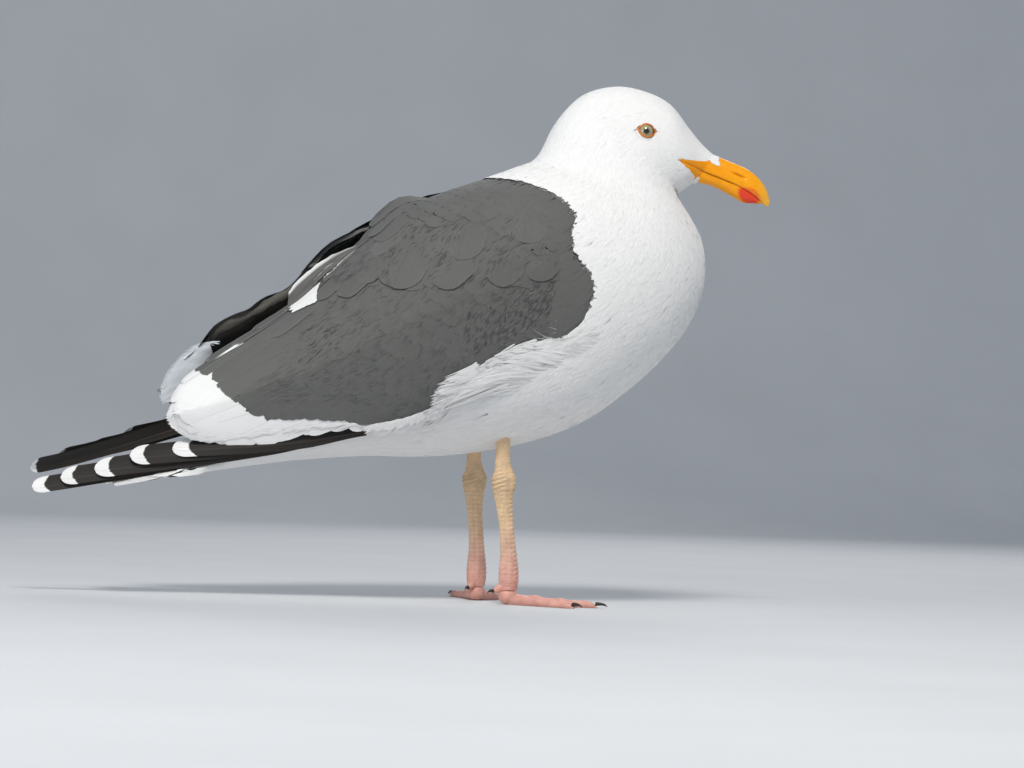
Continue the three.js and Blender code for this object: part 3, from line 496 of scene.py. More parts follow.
def blades(surf, p0, q0, direction, L, W, h0, h1, stops=(0.0, 0.36, 0.72), wide=(0.62, 1.0, 0.72), ridge=0.22,
           flat=2.2, bend=0.0, lift=0.0, side_turn=0.22):
    """Slim closed tufts.  Returns verts, normals (N, K, 3), a, b (N, K)."""
    N = len(p0)
    k = len(stops)
    V = np.zeros((N, 3 * k + 1, 3))
    NS = np.zeros_like(V)
    A = np.zeros((N, 3 * k + 1))
    B = np.zeros((N, 3 * k + 1))
    pc, qc = np.array(p0, float), np.array(q0, float)
    D = unit(direction)
    L, W, h0, h1, bend, lift = [np.broadcast_to(np.asarray(x, float), (N,)) for x in (L, W, h0, h1, bend, lift)]
    prev = 0.0
    for i, a in enumerate(list(stops) + [1.0]):
        _, n = surf.at(pc, qc)
        Dn = unit(D - (D * n).sum(-1, keepdims=True) * n)
        if i > 0:
            pc, qc = surf.step(pc, qc, Dn * (L * (a - prev))[:, None])
            _, n = surf.at(pc, qc)
            Dn = unit(D - (D * n).sum(-1, keepdims=True) * n)
            D = unit(Dn + np.cross(n, Dn) * (bend * (a - prev))[:, None])
        prev = a
        h = h0 + (h1 - h0) * (1 - (1 - a) ** flat) + lift * a ** 3
        if i == k:
            pos, nn = surf.at(pc, qc)
            V[:, 3 * k] = pos + nn * h[:, None]
            NS[:, 3 * k] = nn
            A[:, 3 * k] = 1.0
            break
        Cn = np.cross(n, Dn)
        for j, b in enumerate((-1, 0, 1)):
            if b == 0:
                pos, nn = surf.at(pc, qc)
            else:
                vec = Cn * (b * wide[i] * W * 0.5)[:, None]
                p, q = surf.step(pc, qc, vec)
                pos, nn = surf.at(p, q)
                ctr, _ = surf.at(pc, qc)
                wild = (np.linalg.norm(pos - ctr - vec, axis=-1) > 1.0 * np.linalg.norm(vec, axis=-1) + 0.6)[:, None]
                pos, nn = np.where(wild, ctr + vec, pos), np.where(wild, n, nn)
            hh = h + (ridge * W * wide[i] if b == 0 else 0)
            V[:, 3 * i + j] = pos + nn * hh[:, None]
            NS[:, 3 * i + j] = unit(nn + side_turn * b * Cn)
            A[:, 3 * i + j] = a
            B[:, 3 * i + j] = b
    far = np.linalg.norm(V - V[:, 1:2], axis=-1).max(1)
    V[far > 1.15 * L + 0.6 * W + 2.0] = np.nan
    # in a hollow the ridge still stands over the tuft's edges; one that folds over itself is left out
    for i in range(k):
        over = ((V[:, 3 * i + 1] - 0.5 * (V[:, 3 * i] + V[:, 3 * i + 2])) * NS[:, 3 * i + 1]).sum(-1)
        V[:, 3 * i + 1] += NS[:, 3 * i + 1] * np.clip(0.05 * W * wide[i] - over, 0, 2.0)[:, None]
        ahead = V[:, 3 * (i + 1) + 1] if i + 1 < k else V[:, 3 * k]
        across = V[:, 3 * i + 2] - V[:, 3 * i]
        g = np.cross(ahead - V[:, 3 * i + 1], across)
        up = (g * NS[:, 3 * i + 1]).sum(-1)
        V[(up < 0.3 * np.linalg.norm(g, axis=-1)) | (np.linalg.norm(across, axis=-1) > 1.7 * W + 0.3)] = np.nan
    return V, NS, A, B


def patch_uv(u0, v0, A, Bm, size=0.003):
    """A small patch for each tuft, at its root's place on the skin's unwrap."""
    lo, hi = size, 1 - size
    ex = (slice(None),) + (None,) * (A.ndim - 1)
    u = np.clip(u0, lo, hi)[ex] + Bm * size * 0.5
    v = np.clip(v0, lo, hi)[ex] + (A - 0.5) * size
    return np.stack([u, v], -1)


# ------------------------------------------------------------------ materials
def nodes_of(name):
    mat = bpy.data.materials.new(name)
    mat.use_nodes = True
    nt = mat.node_tree
    nt.nodes.clear()
    out = nt.nodes.new("ShaderNodeOutputMaterial")
    bsdf = nt.nodes.new("ShaderNodeBsdfPrincipled")
    nt.links.new(bsdf.outputs[0], out.inputs[0])
    return mat, nt, bsdf


def N(nt, kind, **kw):
    n = nt.nodes.new(kind)
    for k, v in kw.items():
        if k.startswith("in_"):
            key = k[3:]
            n.inputs[int(key) if key.isdigit() else key].default_value = v
        else:
            setattr(n, k, v)
    return n


def mix_rgb(nt, fac, a, b, mode='MIX'):
    m = nt.nodes.new("ShaderNodeMix")
    m.data_type = 'RGBA'
    m.blend_type = mode
    for sock, val in ((0, fac), (6, a), (7, b)):
        if isinstance(val, (int, float, tuple, list)):
            m.inputs[sock].default_value = val if not isinstance(val, tuple) or len(val) == 4 else (*val, 1)
        else:
            nt.links.new(val, m.inputs[sock])
    return m.outputs[2]


def math_node(nt, op, a, b=None, c=None):
    m = nt.nodes.new("ShaderNodeMath")
    m.operation = op
    for i, val in enumerate((a, b, c)):
        if val is None:
            continue
        if isinstance(val, (int, float)):
            m.inputs[i].default_value = val
        else:
            nt.links.new(val, m.inputs[i])
    return m.outputs[0]


def ramp(nt, fac, stops, interp='LINEAR'):
    r = nt.nodes.new("ShaderNodeValToRGB")
    r.color_ramp.interpolation = interp
    el = r.color_ramp.elements
    while len(el) > 1:
        el.remove(el[-1])
    el[0].position = stops[0][0]
    el[0].color = (*stops[0][1], 1) if len(stops[0][1]) == 3 else stops[0][1]
    for pos, col in stops[1:]:
        e = el.new(pos)
        e.color = (*col, 1) if len(col) == 3 else col
    nt.links.new(fac, r.inputs[0])
    return r.outputs[0]


def plumage(name, rough=0.85, sheen=0.25, barb=0.10, bump=0.25, mottle=0.05, barb_scale=46.0,
            fine=900.0, sss=0.0, white=(0.84, 0.835, 0.82), fray=0.8, shaft=0.0):
    """Feather vanes: the tint attribute, white past the mark, with barbs slanting off the shaft."""
    mat, nt, b = nodes_of(name)
    tint = N(nt, "ShaderNodeAttribute", attribute_name="tint")
    rnd = N(nt, "ShaderNodeAttribute", attribute_name="rnd")
    mark = N(nt, "ShaderNodeAttribute", attribute_name="mark")
    uv = N(nt, "ShaderNodeUVMap", uv_map="Vane")
    sep = N(nt, "ShaderNodeSeparateXYZ")
    nt.links.new(uv.outputs[0], sep.inputs[0])
    # barbs: lines that run out and towards the tip from the shaft
    absx = math_node(nt, 'ABSOLUTE', math_node(nt, 'SUBTRACT', sep.outputs[0], 0.5))
    slant = math_node(nt, 'SUBTRACT', sep.outputs[1], math_node(nt, 'MULTIPLY', absx, 0.55))
    coord = N(nt, "ShaderNodeCombineXYZ")
    nt.links.new(math_node(nt, 'MULTIPLY', slant, barb_scale), coord.inputs[0])
    nt.links.new(math_node(nt, 'MULTIPLY', rnd.outputs[2], 37.0), coord.inputs[1])
    nt.links.new(math_node(nt, 'MULTIPLY', absx, 1.5), coord.inputs[2])
    n1 = N(nt, "ShaderNodeTexNoise", in_Scale=1.0, in_Detail=3.0, in_Roughness=0.6)
    nt.links.new(coord.outputs[0], n1.inputs["Vector"])
    obj = N(nt, "ShaderNodeTexCoord")
    n2 = N(nt, "ShaderNodeTexNoise", in_Scale=fine, in_Detail=2.0)
    nt.links.new(obj.outputs["Object"], n2.inputs["Vector"])
    n3 = N(nt, "ShaderNodeTexNoise", in_Scale=38.0, in_Detail=2.0)
    nt.links.new(obj.outputs["Object"], n3.inputs["Vector"])
    shade = math_node(nt, 'MULTIPLY_ADD', math_node(nt, 'SUBTRACT', n1.outputs[0], 0.5), barb * 2, 1.0)
    shade = math_node(nt, 'MULTIPLY_ADD', math_node(nt, 'SUBTRACT', n3.outputs[0], 0.5), mottle * 2, shade)
    shade = math_node(nt, 'MULTIPLY_ADD', math_node(nt, 'SUBTRACT', rnd.outputs[2], 0.5), mottle, shade)
    if shaft > 0:   # the shaft shows as a fine darker line
        line = math_node(nt, 'MULTIPLY', math_node(nt, 'LESS_THAN', absx, 0.014), shaft)
        shade = math_node(nt, 'SUBTRACT', shade, line)
    edge = math_node(nt, 'MULTIPLY_ADD', math_node(nt, 'SUBTRACT', n1.outputs[0], 0.5), fray * 4, mark.outputs[2])
    past = N(nt, "ShaderNodeMapRange", interpolation_type='SMOOTHSTEP')
    past.inputs["From Min"].default_value = -0.35
    past.inputs["From Max"].default_value = 0.35
    nt.links.new(edge, past.inputs["Value"])
    tone = mix_rgb(nt, past.outputs[0], tint.outputs[0], (*white, 1))
    col = N(nt, "ShaderNodeVectorMath", operation='SCALE')
    nt.links.new(tone, col.inputs[0])
    nt.links.new(shade, col.inputs[3])
    nt.links.new(col.outputs[0], b.inputs["Base Color"])
    rr = math_node(nt, 'MULTIPLY_ADD', n1.outputs[0], 0.12, rough - 0.06)
    nt.links.new(rr, b.inputs["Roughness"])
    bp = N(nt, "ShaderNodeBump", in_Strength=bump, in_Distance=0.0003)
    hsum = math_node(nt, 'ADD', n1.outputs[0], math_node(nt, 'MULTIPLY', n2.outputs[0], 0.5))
    nt.links.new(hsum, bp.inputs["Height"])
    nt.links.new(bp.outputs[0], b.inputs["Normal"])
    b.inputs["Sheen Weight"].default_value = sheen
    b.inputs["Sheen Roughness"].default_value = 0.5
    b.inputs["Specular IOR Level"].default_value = 0.25
    if sss > 0:
        b.inputs["Subsurface Weight"].default_value = sss
        b.inputs["Subsurface Radius"].default_value = (1.0, 0.9, 0.8)
        b.inputs["Subsurface Scale"].default_value = 0.003
    return mat


WHITE = np.array([0.84, 0.835, 0.82])
GREY = np.array([0.118, 0.119, 0.112])
DARK = np.array([0.020, 0.0175, 0.0155])

MAT_BODY = plumage("plumage_soft", rough=0.9, sheen=0.25, barb=0.04, bump=0.15, mottle=0.02)
MAT_WING = plumage("plumage_wing", rough=0.72, sheen=0.10, barb=0.16, bump=0.35, mottle=0.03, barb_scale=60.0, shaft=0.10)
MAT_QUILL = plumage("plumage_quill", rough=0.6, sheen=0.06, barb=0.09, bump=0.3, mottle=0.03, barb_scale=150.0, shaft=0.14)

# ------------------------------------------------------------------ markings
MANTLE_FRONT = [(180, 15.0), (190.2, 26.9), (202.1, 35.0), (211.2, 37.8), (219.5, 39.5), (230.9, 34.1), (236.7, 27.6),
                (243.2, 22.0), (249.5, 22.3), (255.8, 23.3), (261.4, 24.4), (268.0, 26.6), (275.5, 21.8), (280.3, 16.9),
                (284.4, 11.5), (288.5, 3.0), (292.1, -5.1), (293.6, -13.3), (295.2, -22.8), (297.5, -33.0), (310.0, -60.0)]


def body_grey(P):
    """0 white .. 1 grey on the trunk: the mantle between and in front of the wings."""
    x, y, z = P[..., 0], np.abs(P[..., 1]), P[..., 2]
    edge = np.interp(z, *zip(*MANTLE_FRONT)) + 1.1 * noise3(P, 0.18, 3)
    ahead = smooth(2.0, -2.0, x - edge)
    # grey stops over the rump, which is white
    rump = smooth(-108, -118, x)
    low = smooth(236, 244, z + np.clip(-x - 40, 0, 200) * 0.9)
    low = np.maximum(low, smooth(187, 190, z) * smooth(46, 52, y))   # under the wing's front edge
    return ahead * low * (1 - rump)

# wing: where the broad white tips begin, as v for each s
WHITE_EDGE = [(0.0, 1.2), (0.16, 1.1), (0.20, 1.002), (0.30, 0.998), (0.36, 0.992), (0.42, 0.976), (0.473, 0.956), (0.518, 0.90), (0.577, 0.833), (0.618, 0.808),
              (0.668, 0.762), (0.727, 0.65), (0.755, 0.525), (0.790, 0.40), (0.812, 0.25), (0.840, 0.05), (0.87, -0.1),
              (1.0, -0.4)]


# ------------------------------------------------------------------ coat of the body
LEN = [(0, 2.2), (1, 3.2), (2, 4.4), (4, 6.2), (6, 8.2), (8, 11), (10, 13.5), (12, 16), (14, 18), (17, 21), (20, 26), (22, 30)]
WID = [(0, 0.60), (1, 0.75), (2, 0.95), (4, 1.2), (6, 1.45), (8, 1.8), (10, 2.1), (12, 2.4), (14, 2.8), (17, 3.2), (20, 3.8), (22, 4.4)]
DEP = [(0, 0.4), (1, 0.5), (2, 0.7), (4, 0.9), (6, 1.1), (8, 1.3), (10, 1.5), (14, 1.7), (17, 1.7), (20, 1.3), (22, 1.0), (25, 0.6)]

# where the wings lie, for feathers that meet them
KD = {}
for _side in (-1, 1):
    w = WINGS[_side]
    pts = w.P[::2, ::2].reshape(-1, 3)
    kd = KDTree(len(pts))
    for i, c in enumerate(pts):
        kd.insert(c, i)
    kd.balance()
    ss, vv = np.meshgrid(np.linspace(0, 1, w.P[::2].shape[0]), np.linspace(0, 1, w.P[:, ::2].shape[1]), indexing='ij')
    KD[_side] = (kd, pts, w.N[::2, ::2].reshape(-1, 3), ss.ravel(), vv.ravel())


def near_wing(P):
    """Signed height over the nearer wing's outer face, with its s, v and normal."""
    P = P.reshape(-1, 3)
    h = np.full(len(P), 99.0)
    s = np.full(len(P), -1.0)
    v = np.full(len(P), -1.0)
    n = np.zeros((len(P), 3))
    dist = np.full(len(P), 99.0)
    for side in (-1, 1):
        kd, pts, nrm, ss, vv = KD[side]
        for i in np.nonzero(P[:, 1] * side > -6)[0]:
            co, idx, d = kd.find(P[i])
            if d < dist[i] and d < 40:
                dist[i] = d
                h[i] = (P[i] - pts[idx]) @ nrm[idx]
                s[i], v[i] = ss[idx], vv[idx]
                n[i] = nrm[idx]
    return h, s, v, n


def scatter(surf, t0, t1, density, seed, jitter=0.35):
    """Even points over part of the body, density in tufts per mm2 as a function of t."""
    r = np.random.default_rng(seed)
    ti = np.linspace(t0, t1, 240)
    ai = np.linspace(0, 2 * np.pi, 241)
    area = surf._mix(surf.area[..., None], ti[:, None] + 0 * ai[None, :], ai[None, :] + 0 * ti[:, None])[..., 0]
    wgt = area * density(ti)[:, None]
    cell = (ti[1] - ti[0]) * (ai[1] - ai[0])
    n = int(wgt[:-1, :-1].sum() * cell)
    g = 1.32471795724
    k = np.arange(n)
    u1 = np.mod(0.5 + k / g + r.normal(0, jitter, n) / math.sqrt(max(n, 1)), 1)
    u2 = np.mod(0.5 + k / g ** 2 + r.normal(0, jitter, n) / math.sqrt(max(n, 1)), 1)
    mt = wgt.sum(1)
    ct = np.concatenate([[0], np.cumsum((mt[1:] + mt[:-1]) * 0.5)])
    ct /= ct[-1]
    t = np.interp(u1, ct, ti)
    fi = np.clip((t - t0) / (t1 - t0) * 239, 0, 238.999)
    i0 = fi.astype(int)
    cum = np.concatenate([np.zeros((240, 1)), np.cumsum((wgt[:, 1:] + wgt[:, :-1]) * 0.5, 1)], 1)
    cum /= cum[:, -1:]
    a = np.empty(n)
    for i in range(n):
        a[i] = np.interp(u2[i], cum[i0[i]], ai)
    return t, a


EYES = {}
EYE_AXIS = {}
EYE_R = 6.6
EYE_X, EYE_Z = 89.0, 332.2


def head_local(P):
    """Undo the head's turn: straight-ahead coordinates for points on the head."""
    dx = P[..., 0] - PIVOT
    c, s = math.cos(HEAD_TURN), math.sin(HEAD_TURN)
    return np.stack([PIVOT + dx * c + P[..., 1] * s, -dx * s + P[..., 1] * c, P[..., 2]], -1)


for _side in (-1, 1):
    tt, aa = np.meshgrid(np.linspace(2, 5, 151), np.linspace(0, np.pi, 61), indexing='ij')
    lp = head_local(body_point(tt, aa)).reshape(-1, 3)
    near = np.hypot(lp[:, 0] - EYE_X, lp[:, 2] - EYE_Z) < 2.2
    EYES[_side] = head_pt(EYE_X, _side * (lp[near, 1].max() + 0.9 - 6.6), EYE_Z)
    i = np.argmin(np.hypot(lp[:, 0] - EYE_X, lp[:, 2] - EYE_Z))
    at = aa.ravel()[i] if _side > 0 else 2 * np.pi - aa.ravel()[i]
    _, nn = BODY.at(np.array([tt.ravel()[i]]), np.array([at]))
    EYE_AXIS[_side] = unit(nn[0])


def gape_mask(hl):
    """1 where the bare orange bill shows instead of feathers, in head coordinates."""
    x, z = hl[..., 0], hl[..., 2]
    top = np.interp(x, [112, 114, 116, 130, 139.5, 141], [314.2, 314.4, 315.0, 314.2, 312.6, 322])
    bot = np.interp(x, [112, 114, 118, 126.5, 128], [313.6, 312.8, 310.5, 303.2, 296])
    return (x > 113) & (z < top) & (z > bot)


def eye_rel(hl):
    """Place relative to the eye on its own side, scaled so that the bare ring's rim is at 1."""
    return (hl[..., 0] - EYE_X) / 7.1, (hl[..., 2] - EYE_Z) / 5.5


def lie_of_coat(t, a, pos, n):
    """The way the feathers point."""
    Ep, Eq = BODY.frame(t, a)
    D = unit(Ep)
    face = 1 - smooth(2.0, 6.0, t)
    c, s = math.cos(HEAD_TURN), math.sin(HEAD_TURN)
    back = np.broadcast_to(np.array([-c, -s, -0.12]), D.shape)
    D = unit(D * (1 - 0.65 * face)[:, None] + back * (0.65 * face)[:, None])
    hl = head_local(pos)
    ex, ez = eye_rel(hl)
    r = np.hypot(ex, ez)
    on = (np.abs(hl[:, 1]) > 8) & (t < 6) & (r < 3)
    inx = unit(np.stack([-ex * c, -ex * s, -ez], -1))
    inward = (D * inx).sum(-1)
    k = np.where(on & (inward > 0), inward * smooth(2.6, 1.15, r) * 1.15, 0)
    return unit(D - inx * k[:, None])


def over_wing(V, A, least, rise):
    """Lift tuft points that would sink into a wing."""
    sh = V.shape
    flat = V.reshape(-1, 3).copy()
    cand = np.nonzero(flat[:, 0] < 62)[0]
    hh, s2, v2, n2 = near_wing(flat[cand])
    inside = (s2 > 0.004) & (s2 < 0.996) & (v2 > 0.006) & (v2 < 0.97) & (hh > -14) & ((s2 < 0.15) | (v2 < 0.25))
    need = least + rise * A.reshape(-1)[cand]
    push = np.where(inside, np.maximum(0, need - hh), 0)
    flat[cand] += n2 * push[:, None]
    shift = np.zeros(len(flat))
    shift[cand] = push
    shift = shift.reshape(sh[0], -1)
    out = flat.reshape(sh)
    if len(sh) == 3:   # tufts that would be bent out of shape are left out
        out[(shift.max(1) > 5.0) | (np.ptp(shift, axis=1) > 3.0)] = np.nan
    return out


WING_FRONT = ([-0.2, 0.0, 0.06, 0.30, 0.40, 0.483, 0.60, 0.79, 0.917, 0.942, 1.0, 1.2],
              [0.030, 0.030, 0.052, 0.055, 0.058, 0.034, 0.012, 0.018, 0.040, 0.065, 0.12, 0.12])


def covers_wing(P, slack):
    """Where a white tuft's tip would run on over the grey of the wing, past its front border."""
    h, s, v, _ = near_wing(P)
    lim = np.interp(v, *WING_FRONT) + slack
    return (h < 1.5) & (h > -16) & (s > lim) & (v > 0.004) & (v < 0.93) & (P[:, 0] < 60)


def body_coat(name, t0, t1, K, seed, rows=3, slot="white_plumage_front"):
    r = np.random.default_rng(seed + 1)
    t, a = scatter(BODY, t0, t1, lambda x: K / (pick(LEN, x) * pick(WID, x)), seed)
    pos, n = BODY.at(t, a)
    hl = head_local(pos)
    ok = np.ones(len(t), bool)
    ex, ez = eye_rel(hl)
    ok &= ~((np.hypot(ex, ez) < 1.0) & (np.abs(hl[:, 1]) > 8) & (t < 6))
    ok &= ~((t < 3) & gape_mask(hl))
    if t1 > 8.5:
        h, s, v, _ = near_wing(pos)
        lim = np.interp(v, *WING_FRONT)
        ok &= ~((h < 0.5) & (h > -30) & (s > lim) & (s < 0.985) & (v > 0.03) & (v < 0.975))
        ok &= ~((s > 0.10) & (h > -30) & (h < 3.0) & (v > 0.03) & (v < 0.975) & (pos[:, 2] < 285))
    g0 = body_grey(pos)
    deep = body_grey(pos + np.array([9.0, 0, 4.0]))
    ok &= ~((deep > 0.5) & (g0 > 0.5) & (pos[:, 2] > 262))
    t, a, pos, n, hl = t[ok], a[ok], pos[ok], n[ok], hl[ok]
    D = lie_of_coat(t, a, pos, n)
    ang = r.normal(0, 0.09, len(t))
    D = unit(D * np.cos(ang)[:, None] + np.cross(n, D) * np.sin(ang)[:, None])
    L = pick(LEN, t) * r.uniform(0.75, 1.2, len(t))
    W = pick(WID, t) * r.uniform(0.8, 1.25, len(t))
    dep = pick(DEP, t)
    # tufts that would end over the eye, the bare gape or the wing's grey are shortened
    g = body_grey(pos)
    g = np.where(g > r.uniform(0.25, 0.75, len(g)), 1.0, 0.0)
    slack = r.normal(0, 0.006, len(t))
    reach = np.zeros(len(t))
    clear = np.ones(len(t), bool)
    for f in (0.16, 0.30, 0.44, 0.58, 0.72, 0.86, 1.0):
        tp, tq = BODY.step(t, a, D * (L * f)[:, None])
        tip, _ = BODY.at(tp, tq)
        tl = head_local(tip)
        ex, ez = eye_rel(tl)
        bad = ((np.hypot(ex, ez) < 1.04) & (np.abs(tl[:, 1]) > 8) & (t < 6)) | ((t < 3.5) & gape_mask(tl))
        if t1 > 8.5:
            bad |= (g < 0.5) & (body_grey(tip - np.array([1.0, 0, 0]) * (slack * 160)[:, None]) > 0.5)
            bad |= (g < 0.5) & covers_wing(tip, slack)
        clear &= ~bad
        reach = np.where(clear, f, reach)
    L = L * reach
    keep = L > pick(LEN, t) * 0.12
    t, a, D, L, W, dep, g, pos, n = [x[keep] for x in (t, a, D, L, W, dep, g, pos, n)]
    h1 = -0.10 - 0.07 * dep * r.uniform(0, 1, len(t))
    W = W * 1.28
    stops = (0.0, 0.5) if rows == 2 else (0.0, 0.38, 0.80)
    wide = (0.75, 1.0) if rows == 2 else (0.62, 1.0, 0.80)
    ex, ez = eye_rel(head_local(pos))   # feathers beside the lids stand level with them
    by_eye = (t < 6) * smooth(1.9, 1.35, np.hypot(ex, ez))
    V, NN, A, Bm = blades(BODY, t, a, D, L, W, -dep * (0.5 - 0.40 * by_eye), h1, stops=stops, wide=wide, ridge=0.05,
                          bend=r.normal(0, 0.18, len(t)), side_turn=0.14)
    if t1 > 8.5:   # white tufts lie over the wing's front edge, grey ones run in under its feathers
        under = ((g > 0.5) & (np.abs(pos[:, 1]) > 40) & (pos[:, 2] < 266))[:, None, None]
        V = np.where(under, V, over_wing(V, A, 0.3, 1.1))
    base = lerp(WHITE[None], GREY[None], g[:, None])
    tone = r.normal(1.0, 0.018, len(t))
    col = base[:, None, :] * tone[:, None, None] * (0.96 + 0.04 * A)[..., None]
    c = Coat()
    c.put(V, NN, col, np.stack([Bm * 0.5 + 0.5, A], -1), patch_uv(a / (2 * np.pi), t / LAST, A, Bm),
          r.uniform(0, 1, len(t)), blade_faces(rows))
    return c.build(name, MAT_BODY, slot)


# ------------------------------------------------------------------ solids for the skin
def tri(quads):
    return np.concatenate([quads[:, [0, 1, 2]], quads[:, [0, 2, 3]]])


def outward(v, f):
    vol = np.einsum('ij,ij->', v[f[:, 0]], np.cross(v[f[:, 1]], v[f[:, 2]]))
    return f if vol > 0 else f[:, ::-1]


def loft(rings):
    """Closed solid through rings (R, C, 3)."""
    R, C = rings.shape[:2]
    t = tri(grid_faces(R, C, wrap=True))
    v = np.concatenate([rings.reshape(-1, 3), [rings[0].mean(0)], [rings[-1].mean(0)]])
    j = np.arange(C)
    jn = (j + 1) % C
    cap0 = np.stack([np.full(C, R * C), jn, j], 1)
    cap1 = np.stack([np.full(C, R * C + 1), (R - 1) * C + j, (R - 1) * C + jn], 1)
    f = np.concatenate([t, cap0, cap1])
    return v, outward(v, f)


def torus(rings):
    """Closed ring of sections (R, C, 3), closed both ways."""
    R, C = rings.shape[:2]
    i = np.arange(R)[:, None]
    j = np.arange(C)[None, :]
    q = np.stack(np.broadcast_arrays(i * C + j, i * C + (j + 1) % C, ((i + 1) % R) * C + (j + 1) % C,
                                     ((i + 1) % R) * C + j), -1).reshape(-1, 4)
    v = rings.reshape(-1, 3)
    return v, outward(v, tri(q))


def slab(top, low):
    """Closed plate between two grids (R, C, 3)."""
    R, C = top.shape[:2]
    per = R * C
    q = grid_faces(R, C)
    rim = np.concatenate([np.arange(C), C - 1 + C * np.arange(1, R),
                          (R - 1) * C + np.arange(C - 2, -1, -1), C * np.arange(R - 2, 0, -1)])
    nx = np.roll(rim, -1)
    f = tri(np.concatenate([q, q[:, ::-1] + per, np.stack([nx, rim, rim + per, nx + per], -1)]))
    v = np.concatenate([top.reshape(-1, 3), low.reshape(-1, 3)])
    return v, outward(v, f)


def ball(c, rx, ry, rz, around=40, up=24, turn=None):
    th = np.linspace(0, np.pi, up + 1)[1:-1]
    ph = np.linspace(0, 2 * np.pi, around, endpoint=False)
    r = np.stack([np.sin(th)[:, None] * np.cos(ph) * rx, np.sin(th)[:, None] * np.sin(ph) * ry,
                  (np.cos(th)[:, None] + 0 * ph) * rz], -1)
    if turn is not None:
        r = r @ np.asarray(turn).T
    return loft(r + np.asarray(c, float))


def temp_object(v, f):
    me = bpy.data.meshes.new("tmp")
    me.vertices.add(len(v))
    me.vertices.foreach_set("co", np.asarray(v, np.float32).ravel())
    m = len(f)
    me.loops.add(m * 3)
    me.loops.foreach_set("vertex_index", np.ascontiguousarray(f, np.int32).ravel())
    me.polygons.add(m)
    me.polygons.foreach_set("loop_start", np.arange(0, m * 3, 3, dtype=np.int32))
    me.polygons.foreach_set("loop_total", np.full(m, 3, np.int32))
    me.update(calc_edges=True)
    me.validate()
    ob = bpy.data.objects.new("tmp", me)
    bpy.context.scene.collection.objects.link(ob)
    return ob


def mesh_arrays(me):
    v = np.empty(len(me.vertices) * 3, np.float32)
    me.vertices.foreach_get("co", v)
    me.calc_loop_triangles()
    f = np.empty(len(me.loop_triangles) * 3, np.int32)
    me.loop_triangles.foreach_get("vertices", f)
    return v.reshape(-1, 3).astype(float), f.reshape(-1, 3)


def combine(base, others, op='UNION'):
    """Boolean on (verts, faces) solids."""
    obs = [temp_object(*base)] + [temp_object(*o) for o in others]
    for o in obs[1:]:
        m = obs[0].modifiers.new("b", 'BOOLEAN')
        m.operation = op
        m.solver = 'MANIFOLD'
        m.object = o
        o.hide_render = True
    dg = bpy.context.evaluated_depsgraph_get()
    me = bpy.data.meshes.new_from_object(obs[0].evaluated_get(dg))
    out = mesh_arrays(me)
    bpy.data.meshes.remove(me)
    for o in obs:
        m = o.data
        bpy.data.objects.remove(o)
        bpy.data.meshes.remove(m)
    return out


# ------------------------------------------------------------------ legs and feet
LEGS = [dict(side=-1, x=-11.8, lean=6.0, az=math.radians(-24)),
        dict(side=1, x=-19.8, lean=4.0, az=math.radians(70))]
SPLAY = math.radians(26)
TOES = [("inner", 42.0, 3.7), ("middle", 62.0, 4.1), ("outer", 55.0, 3.8)]
LEG_ROWS = np.array([
    [150, -0.6, 9.0, 8.4], [140, -0.5, 7.5, 7.0], [125, -0.3, 5.4, 5.2], [110, -0.2, 4.9, 4.4],
    [98, -0.2, 5.3, 4.2], [91.3, 0, 6.8, 5.0], [87, 0, 8.6, 6.0], [81, 0, 8.2, 5.6], [74, 0.05, 6.6, 4.4],
    [64, 0.28, 5.3, 3.6], [50, 0.62, 4.9, 3.4], [35, 0.88, 5.5, 3.6], [25, 0.97, 6.6, 4.2],
    [17, 1.0, 6.9, 5.0], [10, 1.0, 6.4, 4.9]])


